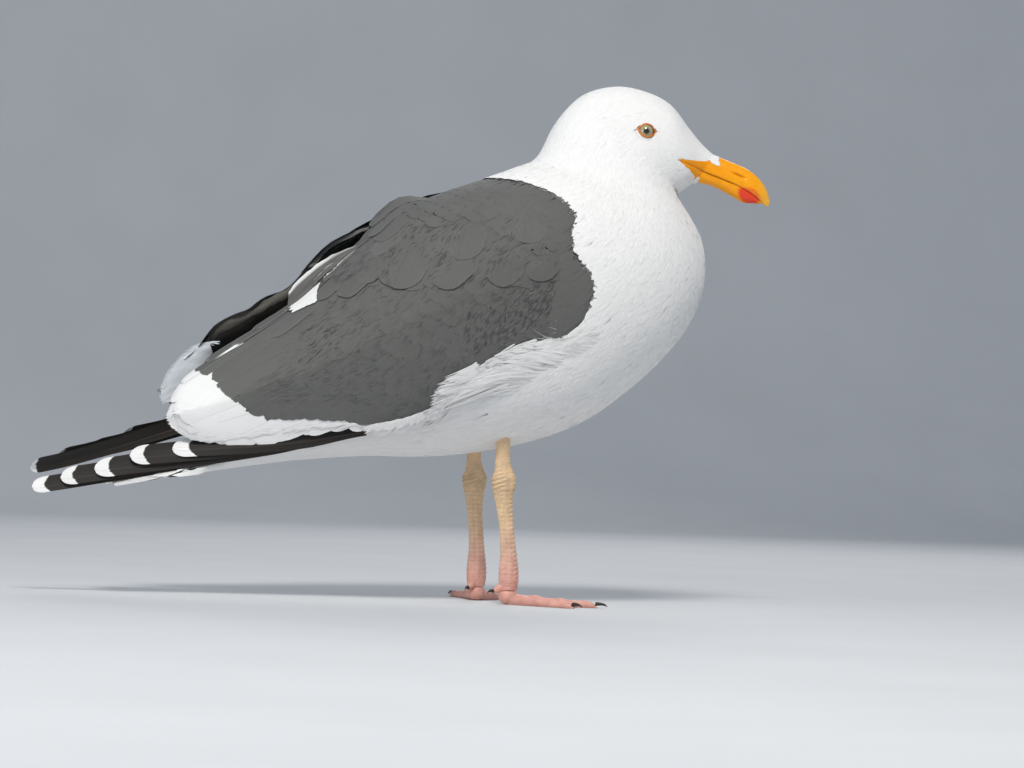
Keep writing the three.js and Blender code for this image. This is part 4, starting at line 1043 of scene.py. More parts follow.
def leg_solid(leg):
    n, c = 420, 72
    t = np.linspace(0, len(LEG_ROWS) - 1, n)
    r = spl(LEG_ROWS, t)
    z, share, fx, fy = [r[:, i][:, None] for i in range(4)]
    a = np.linspace(0, 2 * np.pi, c, endpoint=False)[None, :]
    ca, sa = np.cos(a), np.sin(a)
    front = np.clip(ca, 0, 1) ** 1.5
    back = np.clip(-ca, 0, 1)
    # a tarsus is flatter at the sides than an ellipse, with a ridge behind
    shape = 1 - 0.10 * np.abs(np.sin(2 * a)) * smooth(84, 70, z)
    bare = smooth(104, 98, z)
    # large plates down the front, each with a raised lower edge
    step = 3.05
    ph = np.mod(z / step + 0.25 * sa * np.sign(leg["side"]), 1.0)
    plate = (1 - np.abs(2 * ph - 1) ** 3) * 0.74 - 0.24
    disp = plate * smooth(0.25, 0.75, front) * bare * smooth(10, 22, z) * (1 - 0.5 * smooth(72, 82, z))
    # small net of scales at the sides and back
    net = np.sin(z * 2.3 + 2 * np.sin(a * 5)) * np.sin(a * 9 + z * 0.7)
    disp = disp + 0.11 * net * (1 - smooth(0.3, 0.7, front)) * bare
    # wrinkles and the upright crease over the ankle joint
    ankle = np.exp(-((z - 85) / 7.5) ** 2)
    rear = smooth(0.35, -0.35, ca)
    disp = disp + ankle * (0.30 * rear * np.sin(z * 2.1 + 3 * np.sin(a * 2 + 1)) - 0.1 + 0.25 * smooth(0.4, 0.9, ca))
    crease = np.exp(-((np.abs(sa) - 0.93) / 0.10) ** 2) * np.exp(-((z - 84) / 8) ** 2)
    disp = disp - 0.75 * crease
    # hollow either side of the tarsus, in front of the tendon
    hollow = np.exp(-((ca + 0.25) / 0.22) ** 2) * smooth(76, 66, z) * smooth(14, 26, z)
    disp = disp - 0.65 * hollow
    disp = disp + 0.35 * back ** 4 * smooth(78, 66, z) * smooth(12, 24, z)
    x0 = leg["x"] + share * leg["lean"] + 1.6
    y0 = leg["side"] * 27.0
    P = np.stack([x0 + (fx * shape + disp) * ca, y0 + (fy * shape + disp) * sa, z + 0 * a], -1)
    return loft(P)


def toe_solid(hub, az, length, thick, side, seed):
    d = np.array([math.cos(az), math.sin(az), 0.0])
    s = np.array([-d[1], d[0], 0.0])
    n, c = 150, 44
    k = np.linspace(0, 1, n)
    a = 1 - (1 - k) ** 1.12
    end = np.sqrt(np.clip(1 - smooth(0.90, 1, a) * 0.93, 0, 1))
    joints = {42.0: (0.42, 0.80), 62.0: (0.30, 0.58, 0.85), 55.0: (0.26, 0.47, 0.68, 0.87)}[length]
    knob = sum(np.exp(-((a - j) / 0.055) ** 2) for j in joints)
    half = lerp(thick, thick * 0.60, a) * (0.90 + 0.16 * knob) * end
    rise = lerp(thick * 1.25, thick * 0.60, np.sqrt(a)) * (0.92 + 0.14 * knob) * end
    b = np.linspace(0, 2 * np.pi, c, endpoint=False)[None, :]
    up = np.clip(np.sin(b), 0, 1)
    ph = np.mod(a * length / 2.45, 1.0)[:, None]
    scute = (0.34 * (1 - np.abs(2 * ph - 1) ** 3) - 0.12) * smooth(0.35, 0.8, up) * smooth(1.0, 0.93, a)[:, None]
    bend = 1.2 * np.sin(a * np.pi * 1.1) * (1 if seed % 2 else -1)
    H, R = half[:, None], rise[:, None]
    z = -0.7 + R + (R + scute) * np.sin(b) + (1 - end)[:, None] * R * 0.9
    pos = hub[None, None, :] + (a * length)[:, None, None] * d + ((H + 0.5 * scute) * np.cos(b) + bend[:, None])[..., None] * s
    pos[..., 2] = z
    return loft(pos)


def web_solid(hub, az_a, len_a, az_b, len_b, seed):
    na, nb = 34, 26
    a = np.linspace(0, 1, na)[:, None]
    b = lerp(0.06, 1.0, np.linspace(0, 1, nb))[None, :]
    az = lerp(az_a, az_b, a)
    reach = lerp(len_a, len_b, a) * (1 - 0.20 * np.sin(np.pi * a) + 0.012 * np.sin(a * 23 + seed))
    x, y = hub[0] + np.cos(az) * reach * b, hub[1] + np.sin(az) * reach * b
    z = lerp(5.0, 1.25, np.sqrt(b)) + 0 * a
    # slack folds run out from the root, and cross lines of small scales
    fold = 0.42 * np.sin(a * np.pi * 5 + seed) * np.sin(np.pi * a) ** 0.7 * smooth(0.15, 0.8, b)
    fine = 0.09 * np.sin(b * reach * 1.9 + 2 * np.sin(a * 9)) * np.sin(np.pi * a) ** 0.5
    z = z + fold + fine
    edge = smooth(1.0, 0.94, b)
    th = 0.62 * (0.55 + 0.45 * edge) + 0 * a
    top = np.stack([x + 0 * z, y + 0 * z, z + th], -1)
    low = np.stack([x + 0 * z, y + 0 * z, np.maximum(z - th, 0.02)], -1)
    return slab(top, low)


def claw_solid(root, az, length, thick, drop):
    d = np.array([math.cos(az), math.sin(az), 0.0])
    s = np.array([-d[1], d[0], 0.0])
    k = np.linspace(0, 1, 26)
    a = k ** 0.9
    r = thick * (1 - 0.86 * a ** 1.15)
    b = np.linspace(0, 2 * np.pi, 24, endpoint=False)[None, :]
    along = (length * np.sin(a * 1.25) / math.sin(1.25))[:, None] + r[:, None] * 0.3 * np.sin(b)
    groove = 1 - 0.13 * np.clip(-np.sin(b), 0, 1) ** 4
    z = root[2] + r[:, None] * 1.15 * np.sin(b) * groove - (drop * a ** 2)[:, None] + (0.5 * np.sin(np.pi * a))[:, None]
    pos = root[None, None, :] + along[..., None] * d + (r[:, None] * 0.8 * np.cos(b))[..., None] * s
    pos[..., 2] = np.maximum(z, 0.03)
    return loft(pos)


def foot_parts(leg):
    side = leg["side"]
    hub = np.array([leg["x"] + leg["lean"] + 2.4, side * 27.0, 0.0])
    azs = [leg["az"] - side * SPLAY, leg["az"], leg["az"] + side * SPLAY]
    solids = [ball((hub[0] - 0.8, hub[1], 5.6), 6.9, 5.5, 5.6)]
    claws = []
    for i, ((key, length, thick), az) in enumerate(zip(TOES, azs)):
        solids.append(toe_solid(hub, az, length, thick, side, i))
        root = hub + np.array([math.cos(az) * (length - 1.6), math.sin(az) * (length - 1.6), 2.7])
        claws.append(claw_solid(root, az, 8.4, 1.35, 1.5))
    solids.append(web_solid(hub, azs[0], 42 * 0.93, azs[1], 62 * 0.84, 1.0))
    solids.append(web_solid(hub, azs[1], 62 * 0.84, azs[2], 55 * 0.92, 2.7))
    way = leg["az"] + math.pi - side * 0.45
    hr = np.array([hub[0] + 6.2 * math.cos(way), hub[1] + 5.2 * math.sin(way), 11.5])
    cy, sy = math.cos(way), math.sin(way)
    cp, sp = math.cos(math.radians(28)), math.sin(math.radians(28))
    turn = np.array([[cy * cp, -sy, cy * sp], [sy * cp, cy, sy * sp], [-sp, 0, cp]])
    solids.append(ball(hr, 5.8, 2.6, 2.8, turn=turn))
    tip = hr + np.array([4.8 * math.cos(way), 4.8 * math.sin(way), -2.6])
    claws.append(claw_solid(tip, way, 4.6, 1.3, 1.6))
    return solids, claws, hub


# ------------------------------------------------------------------ one skin
def body_skin():
    t = np.concatenate([np.linspace(0, 6, 150)[:-1], np.linspace(6, LAST, 150)])
    a = np.linspace(0, 2 * np.pi, 216, endpoint=False)
    dep = pick(DEP, t)[:, None]
    P = body_point(t[:, None] + 0 * a[None, :], a[None, :] + 0 * t[:, None])
    pos, nn = BODY.at(t[:, None] + 0 * a[None, :], a[None, :] + 0 * t[:, None])
    V = P - nn * dep[..., None]
    # the skin dips where the bare bill runs back over the face
    hl = head_local(P)
    m = gape_mask(hl) & (t[:, None] < 4)
    V = V - nn * (m * 0.9)[..., None]
    front = [V[0]]
    c = V[0].mean(0)
    fwd = unit(head_pt(160, 0, 303) - head_pt(130, 0, 310))
    for k in (0.25, 0.5, 0.8):
        front.append(c + (V[0] - c) * (1 - 0.35 * k) + fwd * 9 * k)
    rings = np.concatenate([np.array(front[::-1][:-1]), V])
    return loft(rings)


def eye_axes(side):
    axis = EYE_AXIS[side]
    ahead = unit(head_pt(150, 0, 335) - head_pt(50, 0, 335))
    ex = unit(ahead - axis * (ahead @ axis))
    ez = unit(np.cross(ex, axis))
    return ex, ez if ez[2] > 0 else -ez


def lid_shape(ph):
    """Inner edge of the eyelids and the width of the bare ring, for each angle from straight ahead."""
    front = np.exp(-((np.mod(ph + np.pi + 0.16, 2 * np.pi) - np.pi) / 0.26) ** 2)
    back = np.exp(-((np.mod(ph + 0.10, 2 * np.pi) - np.pi) / 0.26) ** 2)
    r_in = 1 / np.sqrt((np.cos(ph) / 4.95) ** 2 + (np.sin(ph) / 4.05) ** 2) + 0.75 * front + 0.45 * back
    wide = 1.22 + 0.75 * front + 0.55 * back + 0.10 * np.clip(np.sin(ph), 0, 1)
    return r_in, wide


def lid_ring(side):
    """The bare orange ring round an eye, with its rolled rim and pointed corners."""
    c = EYES[side]
    axis = EYE_AXIS[side]
    ex, ez = eye_axes(side)
    ph = np.linspace(0, 2 * np.pi, 160, endpoint=False)
    r_in, wide = lid_shape(ph)
    bead = 0.045 * np.sin(ph * 34) + 0.03 * np.sin(ph * 19 + 1)
    prof = [(-0.40, -0.30), (-0.16, 0.10), (0.04, 0.30), (0.30, 0.42), (0.62, 0.40), (0.88, 0.26), (1.02, 0.02),
            (1.10, -0.8), (1.0, -2.4), (0.4, -2.9), (-0.40, -1.6)]
    rings = []
    for i, p in enumerate(ph):
        sec = []
        hb = math.sqrt(max(EYE_R ** 2 - min(r_in[i], 5.7) ** 2, 0))
        for k, h in prof:
            r = r_in[i] + (k * wide[i] if k > 0 else k)
            if k < 0.1:
                base = math.sqrt(EYE_R ** 2 - min(r, 6.2) ** 2)
            else:
                base = hb - 0.50 * (r - r_in[i])
            hh = base + h + (bead[i] if 0 < k < 1.0 else 0)
            sec.append(c + axis * hh + ex * (r * math.cos(p)) + ez * (r * math.sin(p)))
        rings.append(sec)
    return torus(np.array(rings))


def wing_shell(side):
    s = np.linspace(0.012, 0.955, 110)[:, None]
    v = np.linspace(0.035, 0.955, 60)[None, :]
    P, nn = WINGS[side].at(s + 0 * v, v + 0 * s)
    thick = spl(WING[:, 10], s[:, 0] * (len(WING) - 1))[:, None]
    th = 1.3 + (thick - 1.3) * np.sin(np.pi * v) ** 0.5
    edge = smooth(0.0, 0.08, v) * smooth(1.0, 0.92, v) * smooth(1.0, 0.9, s)
    top = P - nn * (1.35 + 0 * th)[..., None]
    low = P - nn * np.maximum(th - 0.4, 1.95)[..., None]
    return slab(top, low)


def paint_skin(v):
    """Colours over the skin: plumage markings, bare legs, eyelid ring."""
    n = len(v)
    col = np.tile(WHITE * 0.97, (n, 1))
    bare = np.zeros(n)
    grey = body_grey(v)
    for side in (-1, 1):
        kd, pts, nrm, ss, vv = KD[side]
        sel = np.nonzero((v[:, 1] * side > 4) & (v[:, 0] < 60) & (v[:, 2] > 95))[0]
        for i in sel[::1]:
            co, idx, d = kd.find(v[i])
            if d < 12 and 0.01 < ss[idx] < 0.99 and vv[idx] < 0.985 and ss[idx] > np.interp(vv[idx], *WING_FRONT) - 0.004:
                h = (v[i] - pts[idx]) @ nrm[idx]
                if -9 < h < 2:
                    wb = np.interp(ss[idx], *zip(*WHITE_EDGE))
                    grey[i] = max(grey[i], 1.0 if vv[idx] < wb else 0.0)
    col = lerp(col, GREY * 0.8, grey[:, None])
    for leg in LEGS:
        hub_y = leg["side"] * 27.0
        near = (np.abs(v[:, 1] - hub_y) < 75) & (v[:, 2] < 118) & (v[:, 0] > -90)
        # above the belly line only the leg itself is bare
        near &= (v[:, 2] < 98) | (np.hypot(v[:, 0] - leg["x"] - 1.0, v[:, 1] - hub_y) < 7.5)
        z = v[:, 2]
        pink = np.array([0.70, 0.35, 0.28])
        yellow = np.array([0.80, 0.61, 0.34])
        pale = np.array([0.74, 0.49, 0.38])
        k = smooth(18, 60, z)[:, None]
        c = lerp(pink[None], yellow[None], 0.75 * k)
        c = lerp(c, pale[None], (smooth(70, 40, z) * smooth(10, 30, z) * 0.35)[:, None])
        mott = noise3(v, 0.55, 5)[:, None]
        c = c * (1 + 0.10 * mott)
        # painted shade: a patchy darker band round the ankle joint
        painted_ankle_shade = np.exp(-((z - 85) / 9) ** 2) * (0.5 + 0.5 * noise3(v, 0.8, 9))
        c = c * (1 - 0.28 * np.clip(painted_ankle_shade, 0, 1))[:, None]
        # grooves between plates are darker: use the height pattern of the front
        ph = np.mod(z / 3.05 + 0.25 * np.sign(leg["side"]) * np.clip((v[:, 1] - hub_y) / 4.0, -1, 1), 1.0)
        line = (np.abs(2 * ph - 1) > 0.80) & (z > 20) & (z < 80)
        c = c * (1 - 0.16 * line)[:, None]
        m = near & (z < 117)
        mine = np.abs(v[:, 1] - hub_y) < np.abs(v[:, 1] + hub_y)
        m &= mine
        col[m] = c[m]
        bare[m] = 1
    for side in (-1, 1):
        d = v - EYES[side]
        ax = d @ EYE_AXIS[side]
        ex, ez = eye_axes(side)
        px, pz = d @ ex, d @ ez
        rad = np.hypot(px, pz)
        r_in, wide = lid_shape(np.arctan2(pz, px))
        k = (rad - r_in) / wide
        m = (k < 1.045) & (ax > -0.5) & (ax < 7.5) & (rad < 9.5)
        orange = np.array([0.74, 0.235, 0.028])
        edge = np.array([0.34, 0.070, 0.016])
        tone = smooth(-0.05, 0.38, k)[:, None]
        col[m] = lerp(edge[None], orange[None], tone[m])
        bare[m] = 1
    return col, bare


def build_skin():
    legs, claws = [], {}
    for leg in LEGS:
        solids, cl, hub = foot_parts(leg)
        legs.append(combine(leg_solid(leg), solids))
        claws[leg["side"]] = cl
    eyes = [ball(EYES[s], EYE_R + 0.03, EYE_R + 0.03, EYE_R + 0.03, 64, 40) for s in (-1, 1)]
    body = combine(body_skin(), eyes, 'DIFFERENCE')
    v, f = combine(body, [lid_ring(-1), lid_ring(1), wing_shell(-1), wing_shell(1)] + legs)
    v[:, 2] = np.maximum(v[:, 2], 0.0)
    col, bare = paint_skin(v)
    ob = new_mesh("skin", v, f, attrs={"tint": col, "bare": bare})
    return ob, claws


def skin_material():
    mat, nt, b = nodes_of("skin")
    tint = N(nt, "ShaderNodeAttribute", attribute_name="tint")
    bare = N(nt, "ShaderNodeAttribute", attribute_name="bare")
    obj = N(nt, "ShaderNodeTexCoord")
    vor = N(nt, "ShaderNodeTexVoronoi", in_Scale=900.0, feature='F1')
    nt.links.new(obj.outputs["Object"], vor.inputs["Vector"])
    n1 = N(nt, "ShaderNodeTexNoise", in_Scale=160.0, in_Detail=4.0)
    nt.links.new(obj.outputs["Object"], n1.inputs["Vector"])
    n2 = N(nt, "ShaderNodeTexNoise", in_Scale=700.0, in_Detail=3.0)
    nt.links.new(obj.outputs["Object"], n2.inputs["Vector"])
    k = math_node(nt, 'MULTIPLY', math_node(nt, 'SUBTRACT', n1.outputs[0], 0.5), 0.35)
    k = math_node(nt, 'MULTIPLY_ADD', math_node(nt, 'SUBTRACT', vor.outputs["Distance"], 0.35), -0.25, k)
    k = math_node(nt, 'MULTIPLY_ADD', k, bare.outputs[2], 1.0)
    col = N(nt, "ShaderNodeVectorMath", operation='SCALE')
    nt.links.new(tint.outputs[0], col.inputs[0])
    nt.links.new(k, col.inputs[3])
    nt.links.new(col.outputs[0], b.inputs["Base Color"])
    rr = math_node(nt, 'MULTIPLY_ADD', n2.outputs[0], 0.25, 0.38)
    nt.links.new(rr, b.inputs["Roughness"])
    h = math_node(nt, 'ADD', math_node(nt, 'MULTIPLY', vor.outputs["Distance"], -0.8),
                  math_node(nt, 'MULTIPLY', n2.outputs[0], 0.5))
    h = math_node(nt, 'MULTIPLY', h, bare.outputs[2])
    bp = N(nt, "ShaderNodeBump", in_Strength=0.45, in_Distance=0.0003)
    nt.links.new(h, bp.inputs["Height"])
    nt.links.new(bp.outputs[0], b.inputs["Normal"])
    b.inputs["Subsurface Weight"].default_value = 0.12
    b.inputs["Subsurface Radius"].default_value = (1.0, 0.35, 0.2)
    b.inputs["Subsurface Scale"].default_value = 0.0015
    return mat
# ------------------------------------------------------------------ bill
BILL = np.array([  # top x, z; bite x, z; low x, z; half width
    [139.6, 319.6, 131.5, 307.6, 125.2, 299.8, 8.5],
    [151.5, 315.3, 144.0, 303.2, 137.5, 297.6, 7.4],
    [163.0, 310.6, 154.5, 299.2, 150.5, 292.2, 6.4],
    [171.5, 304.0, 163.0, 295.2, 160.0, 287.3, 5.4],
    [177.0, 296.0, 169.0, 291.6, 167.0, 286.9, 4.0],
    [179.2, 288.0, 174.0, 287.2, 172.5, 286.6, 1.6]])


def head_surface(x, z, side):
    """Where the side of the head stands at head coordinates x, z."""
    return HEAD_SIDE(x, z) * side


_tt, _aa = np.meshgrid(np.linspace(0.0, 4.5, 220), np.linspace(0.05, np.pi - 0.05, 120), indexing='ij')
_hp = head_local(body_point(_tt, _aa)).reshape(-1, 3)
_kd = KDTree(len(_hp))
for _i, _p in enumerate(_hp):
    _kd.insert((_p[0], 0, _p[2]), _i)
_kd.balance()


def HEAD_SIDE(x, z):
    near = _kd.find_n((x, 0, z), 6)
    w = np.array([1 / (d + 0.15) for _, _, d in near])
    y = np.array([_hp[i, 1] for _, i, _ in near])
    return float((w * y).sum() / w.sum())


# the gape: the bill's bare skin narrows back to the corner of the mouth
GAPE = [(113.5, 313.6), (118.0, 312.4), (124.5, 310.2), (131.5, 307.6)]
GAPE_TOP = [(113.5, 314.0), (118.0, 314.6), (126.0, 314.9), (133.5, 314.0), (139.6, 319.6)]
GAPE_LOW = [(113.5, 313.2), (117.5, 310.9), (121.5, 306.2), (124.0, 303.0), (125.2, 299.8)]


def bill_rows(t):
    r = spl(BILL, t)
    return r[..., 0:2], r[..., 2:4], r[..., 4:6], r[..., 6]


def mandible(upper):
    n, c = 150, 61
    rings = []
    for k in range(n):
        u = k / (n - 1)
        t = 5.0 * u ** 0.92 if upper else 4.74 * u ** 0.94
        top, bite, low, half = bill_rows(np.array(t))
        if upper:
            bite = bite + np.array([0, -0.05])
        else:
            bite = bite + np.array([0, -0.22])
        a = np.linspace(-np.pi / 2, np.pi / 2, c)
        sa, ca = np.sin(a), np.cos(a)
        end = top if upper else low
        if upper:
            # side walls stand nearly upright, then turn over into the ridge
            y = half * np.sign(sa) * np.abs(sa) ** 0.86
            kk = ca ** 0.78
            # cutting edge overhangs the lower jaw a little and the ridge is narrow
            ridge = lerp(1.0, 0.86, smooth(0.5, 0.95, kk))
            y = y * ridge
        else:
            y = half * 0.9 * np.sign(sa) * np.abs(sa) ** 0.9
            kk = ca ** 0.72
        x = lerp(bite[0], end[0], kk)
        z = lerp(bite[1], end[1], kk)
        # flute along the upper jaw's side where the nostril lies
        if upper:
            g = math.exp(-((t - 1.7) / 0.75) ** 2)
            z_n = np.exp(-((kk - 0.50) / 0.13) ** 2)
            y = y - np.sign(sa) * 0.45 * g * z_n
            # nostril slit
            slot = math.exp(-((t - 1.83) / 0.40) ** 4)
            zs = np.exp(-((kk - 0.49 - 0.03 * (t - 1.8)) / 0.052) ** 2)
            y = y - np.sign(sa) * 2.1 * slot * zs
            # the tip's plate
            y = y + np.sign(sa) * 0.28 * smooth(2.3, 2.9, np.array(t)) * (1 - smooth(4.2, 5.0, np.array(t))) * np.exp(-((kk - 0.25) / 0.2) ** 2)
        else:
            # ridges of the two jaw branches meet at the gonys
            y = y * (1 + 0.06 * math.exp(-((t - 2.4) / 0.5) ** 2))
            if t < 2.0:   # a soft hollow between the branches
                z = z + 1.1 * (1 - t / 2.0) * smooth(0.86, 1.0, kk)
        pts = np.stack([x, y, z], -1)
        # inner side: a flat palate closes the section
        m = 11
        back = np.linspace(1, -1, m + 2)[1:-1]
        inn = np.stack([np.full(m, bite[0]), back * abs(y[0]) * 0.97,
                        np.full(m, bite[1]) + (0.5 if upper else -0.5) * (1 - back ** 2)], -1)
        rings.append(np.concatenate([pts, inn]))
    rings = np.array(rings)
    if upper:   # hooked tip
        last = rings[-1]
        for k, r in ((0.35, 0.72), (0.65, 0.42), (0.85, 0.20), (1.0, 0.06)):
            c0 = lerp(last.mean(0), np.array([178.0, 0, 284.8]), k)
            rings = np.concatenate([rings, (c0 + (last - last.mean(0)) * r)[None]])
    else:
        last = rings[-1]
        for k, r in ((0.5, 0.75), (0.85, 0.45), (1.0, 0.15)):
            c0 = last.mean(0) + np.array([1.1 * k, 0, 0.1 * k])
            rings = np.concatenate([rings, (c0 + (last - last.mean(0)) * r)[None]])
    # back of the jaw: the bare skin runs back over the face on each side
    first = rings[0].copy()
    back_rings = []
    m = 46
    for k in range(1, m + 1):
        u = k / m * 1.12
        ring = first.copy()
        for i in range(c):
            kk = math.cos(-math.pi / 2 + math.pi * i / (c - 1)) ** (0.78 if upper else 0.72)
            sd = -1.0 if i < (c - 1) / 2 else 1.0
            # curve from the base ring back to the corner of the mouth
            gx = lerp(131.5, 113.5, u)
            gz = float(np.interp(gx, [g[0] for g in GAPE], [g[1] for g in GAPE]))
            if upper:
                ez = float(np.interp(gx + 4.0 * (1 - u), [g[0] for g in GAPE_TOP], [g[1] for g in GAPE_TOP]))
                hz = gz + 0.12 + (max(ez - gz, 0.2) + 1.6) * min(kk * 1.35, 1.0)
            else:
                ez = float(np.interp(gx - 2.5 * (1 - u), [g[0] for g in GAPE_LOW], [g[1] for g in GAPE_LOW]))
                hz = gz - 0.12 - (max(gz - ez, 0.2) + 1.6) * min(kk * 1.35, 1.0)
            hx = gx + (first[i, 0] - 131.5) * (1 - u) * 0.9
            if kk > 0.72:   # under the feathers of the forehead or chin
                uu = 1 - (1 - min(u, 1.0)) ** 3
                ring[i] = [lerp(first[i, 0], 118, u), first[i, 1] * (1 - 0.75 * uu), lerp(first[i, 2], gz, 0.85 * uu)]
            else:
                if not upper:
                    hz = max(hz, float(np.interp(hx, [118, 122, 125.2], [304.5, 302.2, 299.9])))
                w = float(smooth(0.0, 0.62, np.array(u)))
                surf = HEAD_SIDE(hx, hz) - 0.28 - 0.9 * max(0.0, u - 0.93) / 0.19 - 1.4 * smooth(0.42, 0.72, np.array(kk))
                # the mouth line is a groove
                yy = lerp(abs(first[i, 1]), surf, w) - 0.55 * math.exp(-(kk / 0.10) ** 2)
                ring[i] = [lerp(first[i, 0], hx, w), sd * yy, lerp(first[i, 2], hz, w)]
        yin = min(abs(ring[0, 1]), abs(ring[c - 1, 1])) * 0.96
        for j in range(11):
            b = 1 - 2 * (j + 1) / 12
            ring[c + j] = [ring[0, 0], b * yin, ring[0, 2] + (0.4 if upper else -0.4) * (1 - b * b)]
        back_rings.append(ring)
    rings = np.concatenate([np.array(back_rings[::-1]), rings])
    # the cheek runs into the bill's side without a step
    idx = np.arange(len(rings))
    kern = np.exp(-(np.arange(-11, 12) / 5.0) ** 2)
    kern = kern / kern.sum()
    pad = np.pad(rings, ((11, 11), (0, 0), (0, 0)), mode='edge')
    even = sum(kern[j] * pad[j:j + len(rings)] for j in range(23))
    wgt = smooth(2, 12, idx) * smooth(m + 22, m + 8, idx)
    rings = rings + (even - rings) * wgt[:, None, None]
    hl = rings.copy()
    world = turn_head(rings.reshape(-1, 3), 1.0).reshape(rings.shape)
    v, f = loft(world)
    flat = np.concatenate([hl.reshape(-1, 3), [hl[0].mean(0)], [hl[-1].mean(0)]])
    return v, f, flat


def bill_colour(hl, upper):
    x, y, z = hl[:, 0], hl[:, 1], hl[:, 2]
    orange = np.array([0.90, 0.315, 0.0])
    yellow = np.array([0.92, 0.405, 0.004])
    horn = np.array([0.86, 0.50, 0.07])
    red = np.array([0.78, 0.055, 0.018])
    along = smooth(140, 178, x)
    k = 0.30 + 0.45 * along + 0.20 * noise3(hl, 0.22, 6)
    c = lerp(orange[None], yellow[None], np.clip(k, 0, 1)[:, None])
    # pale horn at the cutting edges near the tip
    edge = smooth(168, 178, x) * 0.55
    c = lerp(c, horn[None], edge[:, None])
    du, dw = (x - 164.4) * 0.92 - (z - 292.2) * 0.39, (x - 164.4) * 0.39 + (z - 292.2) * 0.92
    rd = np.hypot(du / 9.0, dw / (6.6 if not upper else 5.6)) + 0.10 * noise3(hl, 0.5, 8)
    spot = smooth(1.10, 0.70, rd) * (1.0 if not upper else 0.6)
    c = lerp(c, red[None], spot[:, None])
    # deeper orange at the gape
    g = smooth(132, 118, x)
    c = lerp(c, np.array([0.86, 0.27, 0.0])[None], (0.25 * g)[:, None])
    return c


def bill_material():
    mat, nt, b = nodes_of("bill_horn")
    tint = N(nt, "ShaderNodeAttribute", attribute_name="tint")
    obj = N(nt, "ShaderNodeTexCoord")
    mp = N(nt, "ShaderNodeMapping")
    mp.inputs["Scale"].default_value = (140, 500, 500)
    mp.inputs["Rotation"].default_value = (0, math.radians(22), HEAD_TURN)
    nt.links.new(obj.outputs["Object"], mp.inputs[0])
    n1 = N(nt, "ShaderNodeTexNoise", in_Scale=1.0, in_Detail=5.0, in_Roughness=0.6)
    nt.links.new(mp.outputs[0], n1.inputs["Vector"])
    n2 = N(nt, "ShaderNodeTexNoise", in_Scale=260.0, in_Detail=4.0)
    nt.links.new(obj.outputs["Object"], n2.inputs["Vector"])
    k = math_node(nt, 'MULTIPLY_ADD', math_node(nt, 'SUBTRACT', n1.outputs[0], 0.5), 0.22, 1.0)
    k = math_node(nt, 'MULTIPLY_ADD', math_node(nt, 'SUBTRACT', n2.outputs[0], 0.5), 0.14, k)
    col = N(nt, "ShaderNodeVectorMath", operation='SCALE')
    nt.links.new(tint.outputs[0], col.inputs[0])
    nt.links.new(k, col.inputs[3])
    nt.links.new(col.outputs[0], b.inputs["Base Color"])
    rr = math_node(nt, 'MULTIPLY_ADD', n2.outputs[0], 0.22, 0.24)
    nt.links.new(rr, b.inputs["Roughness"])
    bp = N(nt, "ShaderNodeBump", in_Strength=0.22, in_Distance=0.00025)
    nt.links.new(n1.outputs[0], bp.inputs["Height"])
    nt.links.new(bp.outputs[0], b.inputs["Normal"])
    b.inputs["Subsurface Weight"].default_value = 0.15
    b.inputs["Subsurface Radius"].default_value = (1.0, 0.5, 0.1)
    b.inputs["Subsurface Scale"].default_value = 0.0015
    b.inputs["Specular IOR Level"].default_value = 0.32
    return mat


# short feathers that run forward over the bill's base
def bill_wall(upper, t, a):
    top, bite, low, half = bill_rows(np.clip(t, 0, 4.9))
    sa, ca = np.sin(a), np.cos(a)
    end = top if upper else low
    kk = np.clip(ca, 0, 1) ** (0.78 if upper else 0.72)
    y = half * (1.0 if upper else 0.9) * np.sign(sa) * np.abs(sa) ** (0.86 if upper else 0.9)
    x = lerp(bite[..., 0], end[..., 0], kk)
    z = lerp(bite[..., 1], end[..., 1], kk)
    hl = np.stack([x, y, z], -1)
    return turn_head(hl.reshape(-1, 3), 1.0).reshape(hl.shape)


def bill_feathers():
    c = Coat()
    for upper in (True, False):
        surf = Surf(lambda p, q, upper=upper: bill_wall(upper, p, q - math.pi / 2), 1.2, math.pi, 48, 120)
        mid = surf.N[20, 60, 2]
        if (mid < 0) == upper:
            surf.N *= -1
        r = np.random.default_rng(91 if upper else 92)
        n = 1500 if upper else 900
        q = r.uniform(0.05, math.pi - 0.05, n)
        kk = np.sin(q) ** (0.78 if upper else 0.72)
        edge = np.interp(kk, [0.0, 0.42, 0.47, 0.56, 0.70, 0.85, 1.0], [-0.5, -0.30, 0.40, 0.64, 0.52, 0.34, 0.24]) if upper else \
            np.interp(kk, [0.0, 0.45, 0.62, 0.80, 1.0], [-0.6, -0.25, 0.02, 0.10, 0.16])
        edge = edge + r.normal(0, 0.022, n)
        p = r.uniform(-0.34 if upper else -0.62, 0.60 if upper else 0.2, n)
        L = r.uniform(2.0, 3.6, n)
        reach = (edge - p) * 11.5
        L = np.minimum(L, reach)
        ok = (L > 0.7) & (kk > (np.interp(p, [-0.34, -0.05, 0.25, 0.50], [0.62, 0.60, 0.52, 0.42]) if upper else 0.42))
        p, q, L = p[ok], q[ok], L[ok]
        m = len(p)
        Ep, Eq = surf.frame(p, q)
        V, NN, A, Bm = blades(surf, p, q, unit(Ep), L, r.uniform(0.55, 0.95, m), 0.02, r.uniform(0.12, 0.34, m),
                              stops=(0.0, 0.5), wide=(0.8, 1.0), ridge=0.10, bend=r.normal(0, 0.15, m))
        col = WHITE[None, None, :] * r.normal(0.99, 0.02, m)[:, None, None] * (0.96 + 0.04 * A)[..., None]
        c.put(V, NN, col, np.stack([Bm * 0.5 + 0.5, A], -1), patch_uv(q / math.pi, (0.01 if upper else 0.02) + 0 * p, A, Bm),
              r.uniform(0, 1, m), blade_faces(2))
    return c


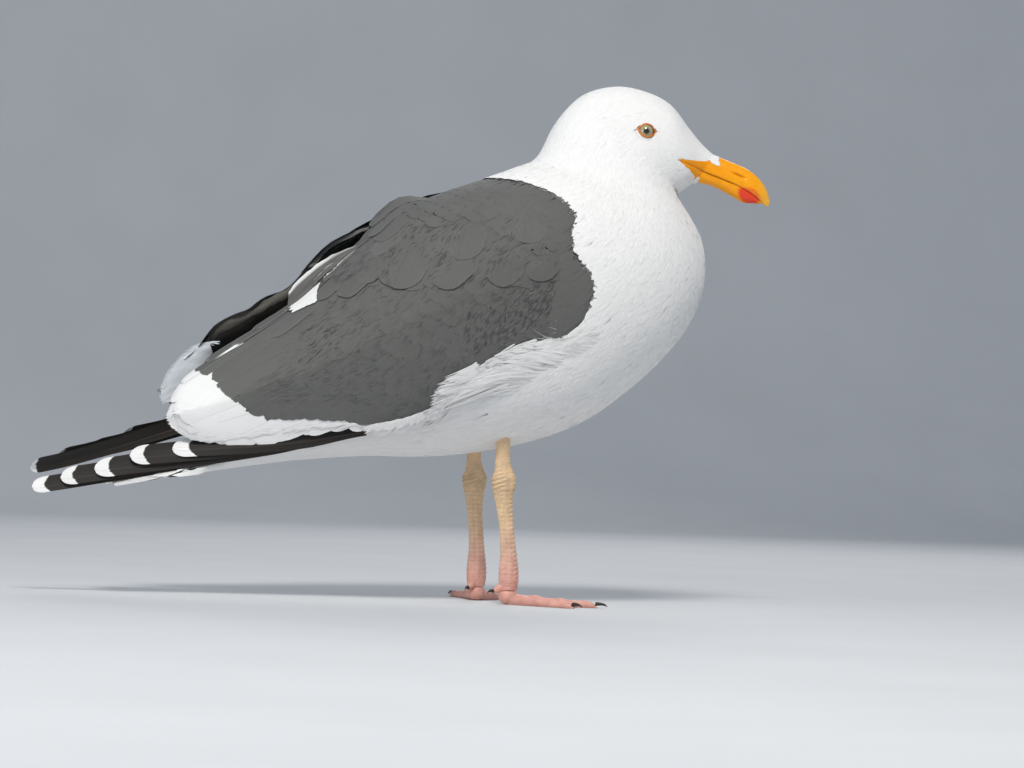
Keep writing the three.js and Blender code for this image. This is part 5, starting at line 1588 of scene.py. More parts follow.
# ------------------------------------------------------------------ eyes
def eye_mesh(side):
    c, axis = EYES[side], EYE_AXIS[side]
    ahead = unit(head_pt(150, 0, 335) - head_pt(50, 0, 335))
    axis = unit(axis * EYE_R - ahead * 0.95 - np.array([0, 0, 1.25]))   # looks out to the side
    ex = unit(ahead - axis * (ahead @ axis))
    ez = np.cross(ex, axis)
    th = np.concatenate([np.linspace(0.02, 0.95, 60), np.linspace(0.95, np.pi - 0.05, 30)[1:]])
    ph = np.linspace(0, 2 * np.pi, 96, endpoint=False)
    r = EYE_R + 0.28 * np.clip(1 - (th / 0.82) ** 2, 0, 1) ** 1.2     # cornea bulges a little
    P = (np.cos(th) * r)[:, None, None] * axis + (np.sin(th) * r)[:, None, None] * (
        np.cos(ph)[None, :, None] * ex + np.sin(ph)[None, :, None] * ez)
    v, f = loft(c + P)
    rad = np.concatenate([np.repeat(np.sin(th) * EYE_R, 96), [0.0], [0.0]])
    back = np.concatenate([np.repeat(th, 96), [0.0], [3.1]])
    rad = np.where(back > 1.5, 9.0, rad)
    ang = np.concatenate([np.tile(np.cos(ph), len(th)), [1.0, 1.0]])
    ang2 = np.concatenate([np.tile(np.sin(ph), len(th)), [0.0, 0.0]])
    return v, f, rad, ang, ang2


def eye_material():
    mat, nt, b = nodes_of("eye_wet")
    rad = N(nt, "ShaderNodeAttribute", attribute_name="rad")
    a1 = N(nt, "ShaderNodeAttribute", attribute_name="dirx")
    a2 = N(nt, "ShaderNodeAttribute", attribute_name="diry")
    xyz = N(nt, "ShaderNodeCombineXYZ")
    nt.links.new(math_node(nt, 'MULTIPLY', a1.outputs[2], 9.0), xyz.inputs[0])
    nt.links.new(math_node(nt, 'MULTIPLY', a2.outputs[2], 9.0), xyz.inputs[1])
    nt.links.new(math_node(nt, 'MULTIPLY', rad.outputs[2], 0.55), xyz.inputs[2])
    n1 = N(nt, "ShaderNodeTexNoise", in_Scale=1.0, in_Detail=4.0, in_Roughness=0.65)
    nt.links.new(xyz.outputs[0], n1.inputs["Vector"])
    jit = math_node(nt, 'MULTIPLY_ADD', math_node(nt, 'SUBTRACT', n1.outputs[0], 0.5), 0.35, rad.outputs[2])
    k = math_node(nt, 'MULTIPLY', jit, 0.1)
    base = ramp(nt, k, [(0.0, (0.004, 0.004, 0.004)), (0.170, (0.004, 0.004, 0.004)), (0.186, (0.16, 0.13, 0.06)),
                        (0.25, (0.36, 0.31, 0.17)), (0.40, (0.43, 0.39, 0.24)), (0.475, (0.24, 0.20, 0.11)),
                        (0.515, (0.05, 0.035, 0.02)), (0.60, (0.03, 0.02, 0.015))])
    streak = ramp(nt, n1.outputs[0], [(0.30, (0.62, 0.60, 0.56)), (0.7, (1.15, 1.12, 1.05))])
    nt.links.new(mix_rgb(nt, 1.0, base, streak, 'MULTIPLY'), b.inputs["Base Color"])
    b.inputs["Roughness"].default_value = 0.18
    b.inputs["Specular IOR Level"].default_value = 0.6
    b.inputs["Coat Weight"].default_value = 1.0
    b.inputs["Coat Roughness"].default_value = 0.02
    return mat


def claw_material():
    mat, nt, b = nodes_of("claw_horn")
    obj = N(nt, "ShaderNodeTexCoord")
    n1 = N(nt, "ShaderNodeTexNoise", in_Scale=420.0, in_Detail=4.0)
    nt.links.new(obj.outputs["Object"], n1.inputs["Vector"])
    nt.links.new(ramp(nt, n1.outputs[0], [(0.3, (0.010, 0.008, 0.007)), (0.7, (0.035, 0.027, 0.022))]), b.inputs["Base Color"])
    nt.links.new(math_node(nt, 'MULTIPLY_ADD', n1.outputs[0], 0.3, 0.25), b.inputs["Roughness"])
    bp = N(nt, "ShaderNodeBump", in_Strength=0.3, in_Distance=0.0002)
    nt.links.new(n1.outputs[0], bp.inputs["Height"])
    nt.links.new(bp.outputs[0], b.inputs["Normal"])
    return mat
# ------------------------------------------------------------------ wing feathers
V_ROWS = [0.0, 0.22, 0.45, 0.64, 0.78, 0.87, 0.93, 0.97, 0.99, 1.0]
V_COLS = [-1.0, -0.62, -0.25, 0.0, 0.25, 0.62, 1.0]
BIG_COLS = [-1, -0.82, -0.55, -0.28, 0, 0.28, 0.55, 0.82, 1]
LONG_ROWS = [0.0, 0.15, 0.3, 0.45, 0.58, 0.68, 0.76, 0.83, 0.885, 0.925, 0.955, 0.978, 0.992, 1.0]
LONG_COLS = [-1.0, -0.8, -0.5, -0.2, 0.0, 0.2, 0.5, 0.8, 1.0]


def inner_face(side):
    """The wing's side that faces the body, as a surface of its own."""
    w = WINGS[side]
    s = np.linspace(0, 1, w.np + 1)[:, None]
    v = np.linspace(0, 1, w.nq + 1)[None, :]
    thick = spl(WING[:, 10], s[:, 0] * (len(WING) - 1))[:, None]
    th = 1.3 + (thick - 1.3) * np.sin(np.pi * np.clip(v, 0, 1)) ** 0.5
    th = np.maximum(th - 0.4, 1.95) * smooth(0, 0.03, v) + 0 * s
    pts = w.P - w.N * th[..., None]
    f = Surf(lambda p, q: pts, 1.0, 1.0, w.np, w.nq)
    if (f.N * w.N).sum() > 0:
        f.N = -f.N
    return f


INNER = {side: inner_face(side) for side in (-1, 1)}


def along(surf, s, v, theta):
    """Unit direction on a wing face: theta turns from the wing's length towards its lower edge."""
    Ep, Eq = surf.frame(s, v)
    e1 = unit(Ep)
    e2 = unit(Eq - (Eq * e1).sum(-1, keepdims=True) * e1)
    th = np.broadcast_to(np.asarray(theta, float), np.shape(s))
    return e1 * np.cos(th)[:, None] + e2 * np.sin(th)[:, None]


def heading(surf, s0, v0, s1, v1):
    """Angle and distance from one place on a wing face to another."""
    P0, _ = surf.at(s0, v0)
    P1, _ = surf.at(s1, v1)
    D = P1 - P0
    Ep, Eq = surf.frame(s0, v0)
    e1 = unit(Ep)
    e2 = unit(Eq - (Eq * e1).sum(-1, keepdims=True) * e1)
    return np.arctan2((D * e2).sum(-1), (D * e1).sum(-1)), np.linalg.norm(D, axis=-1)


def walk(surf, s, v, theta, L, n=5):
    """Where a straight path of length L ends (negative L goes back)."""
    D = along(surf, s, v, theta)
    for _ in range(n):
        s, v = surf.step(s, v, D * (np.broadcast_to(L, s.shape) / n)[:, None])
        _, nn = surf.at(s, v)
        D = unit(D - (D * nn).sum(-1, keepdims=True) * nn)
    return s, v


def lattice(surf, s0, s1, lo, hi, L, W, step_s, step_v, seed, jit=0.12):
    """Staggered rows of roots: s from s0 to s1, v between lo(s) and hi(s)."""
    r = np.random.default_rng(seed)
    S, Vv = [], []
    s, k = s0, 0
    while s < s1:
        mid = np.array([(lo(s) + hi(s)) / 2])
        Ep, Eq = surf.frame(np.array([s]), mid)
        lp, lq = np.linalg.norm(Ep), np.linalg.norm(Eq)
        step = step_v * W(s) / lq
        v = np.arange(lo(s) + (step / 2 if k % 2 else 0), hi(s) + 1e-6, step)
        S.append(s + r.normal(0, jit, len(v)) * step_s * L(s) / lp)
        Vv.append(v + r.normal(0, jit * 0.6, len(v)) * step)
        s += step_s * L(s) / lp
        k += 1
    return np.concatenate(S), np.concatenate(Vv)


def white_mark(SP, A, Bm, L, edge):
    """Distance in mm past the line where a vane turns white; the line crosses each shaft once."""
    s, v = SP[..., 0], SP[..., 1]
    d = v - np.interp(s, *zip(*edge))
    R = s.shape[1]
    a_rows = A[:, :, 0]
    cross = np.full(len(s), 3.0)
    for i in range(len(s)):
        past = np.nonzero(d[i] > 0)[0]
        if len(past):
            f = past[0]
            if f == 0:
                cross[i] = -3.0
            else:
                k = d[i, f - 1] / (d[i, f - 1] - d[i, f] + 1e-9)
                cross[i] = lerp(a_rows[i, f - 1], a_rows[i, f], k)
    m = (A - cross[:, None, None] + 0.03 * Bm ** 2) * np.asarray(L)[:, None, None]
    return np.clip(m, -30, 30)


def tract(coat, surf, side, s, v, theta, L, W, h0, h1, seed, rows=V_ROWS, cols=V_COLS, wide=round_vane, tilt=0.0,
          camber=0.03, ragged=0.012, curl=0.0, edge=None, tone=1.0, pale_edge=0.0, bend=0.0, split=0.3,
          solid=0.22, soft=0.72, bake=None, patch=0.012, base=None, vary=0.02, angle=0.035, shade_root=0.06, place=None, keep=None):
    r = np.random.default_rng(seed)
    n = len(s)
    theta = np.broadcast_to(np.asarray(theta, float), (n,)) + r.normal(0, angle, n)
    L = np.broadcast_to(np.asarray(L, float), (n,)) * r.uniform(0.94, 1.06, n)
    W = np.broadcast_to(np.asarray(W, float), (n,)) * r.uniform(0.95, 1.05, n)
    D = along(surf, s, v, theta)
    h1 = np.broadcast_to(np.asarray(h1, float), (n,)) + r.uniform(-0.10, 0.10, n)
    V, NN, A, Bm, SP = feathers(surf, s, v, D, L, W, h0, h1, rows, cols, wide=wide, camber=camber,
                                ragged=ragged, curl=curl, tilt=np.asarray(tilt) * (-side), bend=bend, soft=soft,
                                seed=seed + 7, split=split)
    if keep is not None:
        V = keep(V)
    g = GREY if base is None else base
    col = np.broadcast_to(g, V.shape).copy() * np.asarray(tone, float)
    col = col * r.normal(1.0, vary, n)[:, None, None, None]
    rim = np.clip(np.abs(Bm) ** 8 + smooth(0.972, 1.0, A), 0, 1)[..., None]
    col = col * (1 + pale_edge * rim) * (1 - shade_root * (1 - smooth(0.35, 0.9, A)))[..., None]
    mark = None if edge is None else white_mark(SP, A, Bm, L, edge)
    if place is not None:
        col = col * place(V)
    uv = np.stack([Bm * 0.5 + 0.5, A], -1)
    bk = patch_uv(np.clip(s, 0, 1), np.clip(v, 0, 1), A, Bm, patch) if bake is None else bake(A, Bm)
    coat.add(V, NN, col, uv, bk, r.uniform(0, 1, n), solid=solid, mark=mark)
    return V


def hairs(coat, surf, s, v, theta, L, W, h0, h1, seed, base, spread=0.15, bend=0.3, vary=0.08, ridge=0.18, angle=0.15,
          patch=0.003):
    """Loose barbs: very slim tufts that give the feathers their streaked, frayed look."""
    r = np.random.default_rng(seed)
    n = len(s)
    theta = np.broadcast_to(np.asarray(theta, float), (n,)) + r.normal(0, angle, n)
    D = along(surf, s, v, theta)
    L = np.broadcast_to(np.asarray(L, float), (n,)) * r.uniform(1 - spread, 1 + spread, n)
    W = np.broadcast_to(np.asarray(W, float), (n,)) * r.uniform(0.75, 1.25, n)
    V, NN, A, Bm = blades(surf, s, v, D, L, W, h0, h1, stops=(0.0, 0.5), wide=(0.6, 1.0), ridge=ridge,
                          bend=r.normal(0, bend, n))
    tone = r.normal(1.0, vary, n)
    col = np.asarray(base)[..., None, :] * tone[:, None, None] * np.ones(A.shape + (1,))
    coat.put(V, NN, col, np.stack([Bm * 0.5 + 0.5, A], -1), patch_uv(np.clip(s, 0, 1), np.clip(v, 0, 1), A, Bm, patch),
             r.uniform(0, 1, n), blade_faces(2))


def white_line(s, v):
    return np.interp(s, *zip(*WHITE_EDGE)) - v


def scap_low(s):
    """Lower boundary of the scapulars on the wing."""
    return float(np.interp(s, [-0.05, 0.068, 0.118, 0.177, 0.236, 0.314, 0.382, 0.455, 0.55],
                           [0.42, 0.425, 0.467, 0.483, 0.467, 0.425, 0.375, 0.208, 0.05]))


COV_S = [-0.05, 0.1, 0.25, 0.42, 0.6]
COV_L = [10.0, 13, 21, 30, 36]
COV_W = [7.5, 9.5, 14.0, 17.0, 18.5]
COV_TH = ([-0.05, 0.15, 0.30, 0.45, 0.62], [0.60, 0.55, 0.40, 0.20, 0.06])


def wing_coverts(side):
    c = Coat()
    sd = 400 + (50 if side > 0 else 0)
    surf = WINGS[side]
    Lf = lambda s: float(np.interp(s, COV_S, COV_L))
    Wf = lambda s: float(np.interp(s, COV_S, COV_W))
    s, v = lattice(surf, -0.055, 0.66, lambda s: max(scap_low(s) - 0.16, 0.0), lambda s: 0.97, Lf, Wf, 0.36, 0.62, sd)
    L, W, th = np.interp(s, COV_S, COV_L), np.interp(s, COV_S, COV_W), np.interp(s, *COV_TH)
    th = th * (1 - 0.5 * smooth(0.8, 1.0, v))
    st, vt = walk(surf, s, v, th, L)
    ok = (white_line(st, vt) > 0.004) & (vt < 1.06)
    s, v, L, W, th = s[ok], v[ok], L[ok], W[ok], th[ok]
    top = np.interp(s, [-0.05, 0.2, 0.45, 0.66], [0.05, 0.0, -0.40, -0.35])
    tract(c, surf, side, s, v, th, L, W, top - 1.0, top, sd + 1, tilt=0.12, pale_edge=0.05, ragged=0.035, split=0.6, camber=0.022,
          solid=0.16, vary=0.018)
    # the last row: rounded grey ends that scallop the white below them
    n = 24
    st = np.linspace(0.320, 0.765, n)
    vt = np.interp(st, *zip(*WHITE_EDGE)) + np.where(np.arange(n) % 2, 0.006, -0.010)
    vt = np.minimum(vt, 1.012)
    th = np.interp(st, [0.32, 0.38, 0.6, 0.76], [0.34, 0.30, 0.26, 0.10])
    L = np.interp(st, [0.32, 0.38, 0.76], [24, 30, 40])
    s, v = walk(surf, st, vt, th, -L)
    base = surf.P[:, -1]

    def below(P):   # white where the front ones hang past the wing's lower edge
        over = np.interp(-P[..., 0], -base[:, 0], base[:, 2]) - P[..., 2]
        k = smooth(-0.9, 0.5, over) * smooth(-122, -116, P[..., 0])
        return 1 + (WHITE / GREY - 1) * k[..., None]
    tract(c, surf, side, s, v, th, L, np.full(n, 16.5), -1.3, -0.22 + 0.06 * (np.arange(n) % 2), sd + 3, tilt=0.10,
          pale_edge=0.05, ragged=0.03, split=0.6, camber=0.022, solid=0.18, vary=0.018, angle=0.02, place=below)
    # streaks: short dark and pale barbs, thickest on the small feathers at the bend
    r = np.random.default_rng(sd + 5)
    n = 4200
    s = r.uniform(-0.04, 1, n) ** 1.5 * 0.70
    v = r.uniform(0.02, 0.99, n)
    keep = (v > np.interp(s, [0.0, 0.07, 0.24, 0.38, 0.5, 0.7], [0.40, 0.44, 0.48, 0.38, 0.15, 0.0]))
    s, v = s[keep], v[keep]
    th = np.interp(s, *COV_TH) * (1 - 0.5 * smooth(0.8, 1.0, v))
    L = np.interp(s, [0, 0.3, 0.7], [5.5, 8.5, 12.0])
    st, vt = walk(surf, s, v, th, L, 2)
    ok = white_line(st, vt) > 0.012
    s, v, th, L = s[ok], v[ok], th[ok], L[ok]
    lift = np.interp(s, [-0.05, 0.2, 0.45, 0.66], [0.05, 0.0, -0.40, -0.35])
    u = r.uniform(0, 1, len(s))
    near = smooth(0.32, 0.10, s)
    tone = np.where(u < 0.5, 1 - 0.10 - 0.16 * near, 1 + 0.06 + 0.12 * near)
    hairs(c, surf, s, v, th, L, np.interp(s, [0, 0.3, 0.7], [0.85, 0.75, 0.65]), lift - 0.6, lift + 0.10, sd + 6,
          GREY[None] * tone[:, None], spread=0.35, angle=0.16)
    # ruffled patches: short dark barbs below the shoulder feathers
    for m, (s0, s1), (v0, v1) in ((150, (0.02, 0.15), (0.50, 0.70)), (120, (0.12, 0.27), (0.56, 0.80)), (36, (0.50, 0.60), (0.25, 0.45))):
        s, v = r.uniform(s0, s1, m), r.uniform(v0, v1, m)
        lift = np.interp(s, [-0.05, 0.2, 0.45, 0.66], [0.05, 0.0, -0.40, -0.35])
        hairs(c, surf, s, v, np.interp(s, *COV_TH) + 0.15, 5.0, 0.8, lift - 0.3, lift + 0.45, sd + 9 + m,
              GREY[None] * np.where(r.uniform(0, 1, m) < 0.7, 0.70, 1.35)[:, None], spread=0.5, angle=0.22)
    return c


HERO = [  # root s, v; tip s, v; width; height at the tip; how far the front side stands up
    (0.286, 0.010, 0.427, 0.117, 23, 0.95, 0.30), (0.136, 0.02, 0.168, 0.367, 31, 1.10, 0.45),
    (0.223, 0.075, 0.282, 0.358, 32, 1.00, 0.45), (0.214, 0.300, 0.332, 0.412, 27, 0.95, 0.60),
    (0.109, 0.290, 0.232, 0.468, 25, 0.85, 0.55), (0.060, 0.200, 0.141, 0.484, 25, 0.75, 0.45),
    (0.330, 0.142, 0.409, 0.352, 35, 1.20, 0.35), (0.370, 0.16, 0.470, 0.225, 24, 0.70, 0.20),
    (0.430, 0.06, 0.520, 0.060, 17, 0.75, 0.25), (0.318, -0.02, 0.438, 0.030, 17, 1.65, 0.20),
    (0.300, -0.05, 0.430, -0.035, 15, 2.20, 0.0)]


def scapulars(side):
    """Large rounded feathers of the shoulder, over the wing's upper part."""
    c = Coat()
    sd = 500 + (50 if side > 0 else 0)
    surf = WINGS[side]
    Ls = lambda s: float(np.interp(s, [0, 0.1, 0.3, 0.45], [19, 25, 35, 42]))
    Ws = lambda s: float(np.interp(s, [0, 0.1, 0.3, 0.45], [15, 19, 24, 25]))
    s, v = lattice(surf, -0.06, 0.46, lambda s: -0.03, lambda s: scap_low(s + 0.05) - 0.02, Ls, Ws, 0.34, 0.58, sd, jit=0.10)
    L = np.interp(s, [0, 0.1, 0.3, 0.45], [19, 25, 35, 42])
    W = np.interp(s, [0, 0.1, 0.3, 0.45], [15, 19, 24, 25])
    th = np.interp(s, [-0.05, 0.2, 0.45], [0.85, 0.60, 0.18])
    st, vt = walk(surf, s, v, th, L)
    ok = (vt < [scap_low(x) + 0.02 for x in st]) & (white_line(st, vt) > 0.02)
    s, v, L, W, th = s[ok], v[ok], L[ok], W[ok], th[ok]
    h1 = 0.30 + 0.25 * smooth(0.0, 0.1, s)
    tract(c, surf, side, s, v, th, L, W, h1 - 1.4, h1, sd + 1, tilt=0.15, camber=0.03, pale_edge=0.06, ragged=0.02,
          split=0.4, cols=BIG_COLS, solid=0.18, vary=0.02)
    # rear ones run out level along the upper edge
    n = 7
    s = np.array([0.34, 0.38, 0.41, 0.45, 0.49, 0.53, 0.57])
    v = np.array([0.16, 0.07, 0.20, 0.10, 0.02, 0.12, 0.04])
    L = np.linspace(44, 52, n)
    tract(c, surf, side, s, v, np.full(n, 0.06), L, np.full(n, 19.0), -0.5, np.linspace(0.75, 0.45, n), sd + 11, rows=LONG_ROWS,
          tilt=0.25, camber=0.03, pale_edge=0.22, ragged=0.02, split=0.6, cols=BIG_COLS, solid=0.2, vary=0.03)
    hero = np.array(HERO if side < 0 else HERO[:-2])
    th, L = heading(surf, hero[:, 0], hero[:, 1], hero[:, 2], hero[:, 3])
    order = np.argsort(hero[:, 5])
    hero, th, L = hero[order], th[order], L[order]
    tract(c, surf, side, hero[:, 0], hero[:, 1], th, L * 1.0, hero[:, 4], -0.9, hero[:, 5], sd + 3, tilt=hero[:, 6],
          camber=0.020, curl=0.004, pale_edge=0.08, ragged=0.010, split=0.0, cols=BIG_COLS,
          rows=[0, 0.15, 0.3, 0.45, 0.6, 0.72, 0.81, 0.88, 0.93, 0.965, 0.985, 1.0], solid=0.30, vary=0.012, angle=0.01)
    # ragged barbs along the left side of each big rounded end
    r = np.random.default_rng(sd + 5)
    for k in range(len(hero)):
        m = 20
        q = r.uniform(-1, -0.1, m)
        st, vt = walk(surf, np.full(m, hero[k, 0]), np.full(m, hero[k, 1]), np.full(m, th[k]),
                      L[k] * r.uniform(0.55, 0.92, m) * (1 - 0.16 * np.abs(q)), 3)
        Dm = along(surf, st, vt, np.full(m, th[k] + math.pi / 2))
        st, vt = surf.step(st, vt, Dm * (q * side * -1 * hero[k, 4] * 0.40)[:, None])
        u = r.uniform(0, 1, m)
        tone = np.where(u < 0.5, 0.82, 1.20)
        hairs(c, surf, st, vt, np.full(m, th[k]) + 0.3 * q, 6.5, 0.8, hero[k, 5] - 0.75, hero[k, 5] + 0.05, sd + 20 + k,
              GREY[None] * tone[:, None], spread=0.4)
    # faint streaks over all of it
    n = 900
    s = r.uniform(0.0, 0.5, n)
    v = r.uniform(0, 1, n) * np.array([scap_low(x) for x in s])
    u = r.uniform(0, 1, n)
    hairs(c, surf, s, v, np.interp(s, [-0.05, 0.2, 0.45], [0.85, 0.60, 0.18]), 8.0, 0.7, 0.0, 0.85, sd + 7,
          GREY[None] * np.where(u < 0.5, 0.86, 1.12)[:, None], spread=0.4)
    return c


def flight_cells(total):
    """Each flight feather has a cell of its own on the bake map."""
    g = int(math.ceil(math.sqrt(total)))

    def place(k0, n):
        k = np.arange(k0, k0 + n)

        def f(A, Bm):
            cx, cy = (k % g), (k // g)
            ex = (slice(None),) + (None,) * (A.ndim - 1)
            u = (cx[ex] + 0.5 + Bm * 0.42) / g
            v = (cy[ex] + 0.06 + A * 0.88) / g
            return np.stack([u, v], -1)
        return f
    return place


def flight_feathers(side):
    c = Coat()
    sd = 600 + (50 if side > 0 else 0)
    surf = WINGS[side]
    cell = flight_cells(64)
    k0 = 0
    under = [(s, v - 0.045) for s, v in WHITE_EDGE]
    # secondaries: tips step along the lower edge
    m = 20
    s_tip = np.linspace(0.405, 0.915, m)
    v_tip = np.interp(s_tip, [0.4, 0.5, 0.66, 0.76, 0.84, 0.92], [1.02, 1.02, 1.0, 1.06, 1.08, 1.04])
    s_root = s_tip - np.interp(s_tip, [0.4, 0.9], [0.20, 0.27])
    v_root = np.interp(s_root, [0.2, 0.4, 0.65], [0.86, 0.80, 0.60])
    th, L = heading(surf, s_root, v_root, s_tip, v_tip)
    lift = np.linspace(-1.1, -0.75, m)
    tract(c, surf, side, s_root, v_root, th, L * 1.01, np.full(m, 17.0), lift - 0.3, lift, sd + 1, rows=LONG_ROWS,
          cols=LONG_COLS, wide=long_vane, tilt=0.10, edge=under, ragged=0.014, split=0.8, solid=0.25, bake=cell(k0, m),
          soft=0.6, angle=0.015, shade_root=0.0)
    k0 += m
    # tertials: broad, with big white ends that close the folded wing
    roots = [(0.42, 0.66), (0.46, 0.54), (0.50, 0.43), (0.53, 0.33), (0.56, 0.23), (0.59, 0.13), (0.62, 0.05)]
    tips = [(0.895, 0.97), (0.935, 0.90), (0.962, 0.80), (0.985, 0.66), (0.995, 0.48), (0.99, 0.28), (0.955, 0.10)]
    sr, vr = np.array(roots).T
    st, vt = np.array(tips).T
    st = np.minimum(st, 0.972 if side < 0 else 0.935)
    th, L = heading(surf, sr, vr, st, vt)
    Wt = np.array([25, 26, 27, 27, 25, 21, 15.0])
    h1 = np.array([-0.60, -0.42, -0.22, 0.0, 0.2, 0.42, 0.62])
    tract(c, surf, side, sr, vr, th, L * 1.0, Wt, h1 - 0.8, h1, sd + 3, rows=LONG_ROWS, cols=LONG_COLS, wide=long_vane,
          tilt=0.12, camber=0.02, edge=WHITE_EDGE, ragged=0.016, split=0.9, solid=0.3, bake=cell(k0, 7), soft=0.62, angle=0.01,
          shade_root=0.0, pale_edge=0.10)
    k0 += 7
    # slim inner feathers lie along the upper edge, with pale curled edges
    n = 7
    sr = np.linspace(0.36, 0.70, n)
    vr = np.array([0.03, 0.015, 0.035, 0.01, 0.03, 0.01, 0.03])
    L = np.linspace(66, 56, n)
    tract(c, surf, side, sr, vr, np.full(n, 0.0), L, np.full(n, 9.5), -0.2, np.linspace(1.5, 0.9, n) * (1 if side < 0 else 0.5),
          sd + 5, rows=LONG_ROWS,
          cols=LONG_COLS, wide=long_vane, tilt=0.3 if side < 0 else 0.0, edge=WHITE_EDGE, tone=0.9, pale_edge=1.1, split=0.6, solid=0.3,
          bake=cell(k0, n), soft=0.5, angle=0.02)
    k0 += n
    # the same feathers seen from within, with pale ends; their webs carry painted light along the upper edge and
    # painted shade lower down
    inn = INNER[side]
    n = 12
    sr = np.concatenate([np.linspace(0.34, 0.66, 7), np.linspace(0.42, 0.62, 5)])
    vr = np.concatenate([np.linspace(0.24, 0.06, 7), np.linspace(0.78, 0.50, 5)])
    st = np.concatenate([[0.62, 0.72, 0.80, 0.87, 0.93, 0.975, 0.985], [0.72, 0.82, 0.90, 0.95, 0.985]])
    vt = np.concatenate([[0.12, 0.10, 0.08, 0.10, 0.14, 0.26, 0.42], [0.98, 0.97, 0.93, 0.82, 0.62]])
    st = np.minimum(st, 0.97 if side < 0 else 0.92)
    th, L = heading(inn, sr, vr, st, vt)
    h1 = np.concatenate([np.linspace(0.9, 0.4, 7), np.linspace(0.3, 0.1, 5)])
    ztop = surf.P[:, 0]

    # painted light and shade: warm and lighter just under the upper edge, dark further down
    def place(P):
        k = np.interp(-P[..., 0], -ztop[:, 0], ztop[:, 2]) - P[..., 2] - 2.0 + 1.6 * noise3(P, 0.25, 44)
        return lerp(np.array([1.20, 1.06, 0.93]), np.array([0.26, 0.24, 0.23]), smooth(4.0, 12.0, k)[..., None])

    def within(V):
        """Keeps a vane of the inner face from coming out through the outer one."""
        h, _, _, nn = near_wing(np.nan_to_num(V))
        return V - (nn * np.clip(h + 1.3, 0, 9)[:, None]).reshape(V.shape)
    tract(c, inn, -side, sr, vr, th, L, np.full(n, 26.0), -0.3, h1, sd + 7, rows=LONG_ROWS, cols=LONG_COLS, wide=long_vane, keep=within,
          tilt=0.1, edge=[(s, v + 0.10) for s, v in WHITE_EDGE[:-3]] + [(0.93, 0.30), (1.0, 0.0)], tone=1.0, split=0.6, solid=0.3,
          bake=cell(k0, n), soft=0.6, ragged=0.02, angle=0.02, place=place)
    k0 += n
    # frayed white ends along the lower edge and round the tip
    r = np.random.default_rng(sd + 9)
    n = 620
    u = r.uniform(0, 1, n)
    path_s = [0.34, 0.43, 0.54, 0.65, 0.72, 0.80, 0.88, 0.93, 0.950, 0.955, 0.955, 0.945, 0.90, 0.86]
    path_v = [1.005, 1.000, 0.970, 0.955, 0.965, 0.985, 0.975, 0.93, 0.82, 0.62, 0.40, 0.18, 0.06, 0.02]
    k = u * (len(path_s) - 1)
    s = np.interp(k, range(len(path_s)), path_s) - r.uniform(0.0, 0.02, n)
    v = np.interp(k, range(len(path_v)), path_v) - r.uniform(0.0, 0.02, n)
    th = np.interp(k, [0, 4, 8, 10, 13], [0.22, 0.22, 0.12, -0.05, -0.15])
    hairs(c, surf, s, v, th, np.interp(k, [0, 4, 7, 8, 13], [7.0, 9.0, 7.0, 5.0, 6.0]), 1.5, -1.2, -0.5, sd + 10,
          np.broadcast_to(WHITE, (n, 3)), spread=0.35, vary=0.02, ridge=0.08, angle=0.10)
    n = 160
    u = r.uniform(0, 1, n)
    s = np.interp(u, [0, 0.3, 1], [0.94, 0.95, 0.80]) - r.uniform(0, 0.015, n)
    v = np.interp(u, [0, 0.3, 1], [0.55, 0.30, 0.03])
    hairs(c, inn, s, v, np.interp(u, [0, 1], [0.0, -0.25]), 7.0, 1.2, -0.2, 0.6, sd + 11, np.broadcast_to(WHITE, (n, 3)), spread=0.5,
          vary=0.02, ridge=0.08, angle=0.16)
    # the same frayed edge carried on forward under the coverts
    n = 320
    s = r.uniform(0.26, 0.43, n)
    v = np.interp(s, [0.27, 0.34, 0.43], [0.995, 1.000, 0.992]) + r.uniform(-0.014, 0.018, n)
    hairs(c, surf, s, v, 0.20, 9.5, 1.8, -0.1, 1.0, sd + 14, np.broadcast_to(WHITE, (n, 3)), spread=0.3, vary=0.02, ridge=0.08,
          angle=0.10)
    # curled white webs beside the upper edge
    hairs(c, surf, np.array([0.70, 0.715, 0.725]), np.array([0.055, 0.07, 0.05]), np.array([0.0, -0.02, 0.03]),
          np.array([27.0, 24, 20]), np.array([2.2, 1.8, 1.4]), 0.2, 1.3, sd + 12, np.broadcast_to(WHITE, (3, 3)), spread=0.02, bend=0.1,
          angle=0.01)

    def patch(left, right, h, colour, kk, seed, fn=None):
        """A vane between two lines of (s, v) on the outer face."""
        R, Cn = 26, 11
        k = np.linspace(0, 1, R)
        b = np.linspace(-1, 1, Cn)
        ls = np.array([np.interp(k, np.linspace(0, 1, len(left)), [q[i] for q in left]) for i in (0, 1)])
        rs = np.array([np.interp(k, np.linspace(0, 1, len(right)), [q[i] for q in right]) for i in (0, 1)])
        rr = np.random.default_rng(seed)
        S = ls[0][:, None] * (0.5 - b / 2) + rs[0][:, None] * (0.5 + b / 2)
        Vq = ls[1][:, None] * (0.5 - b / 2) + rs[1][:, None] * (0.5 + b / 2)
        S = S + rr.normal(0, 0.0012, S.shape) * (np.abs(b) > 0.99) + 0.004 * rr.normal(0, 1, Cn) * (k[:, None] ** 6)
        pos, nn = surf.at(S.ravel(), Vq.ravel())
        pos, nn = pos.reshape(R, Cn, 3), nn.reshape(R, Cn, 3)
        P = pos + nn * (h + 0.5 * (1 - b ** 2) + 0.0 * k[:, None])[..., None]
        A = np.broadcast_to(k[:, None], (R, Cn))
        B = np.broadcast_to(b[None], (R, Cn))
        col = colour(A, B)
        c.add(P[None], nn[None], col[None], np.stack([B * 0.5 + 0.5, A], -1)[None], cell(kk, 1)(A[None], B[None]),
              np.array([rr.uniform()]), solid=0.3)
    if side < 0:
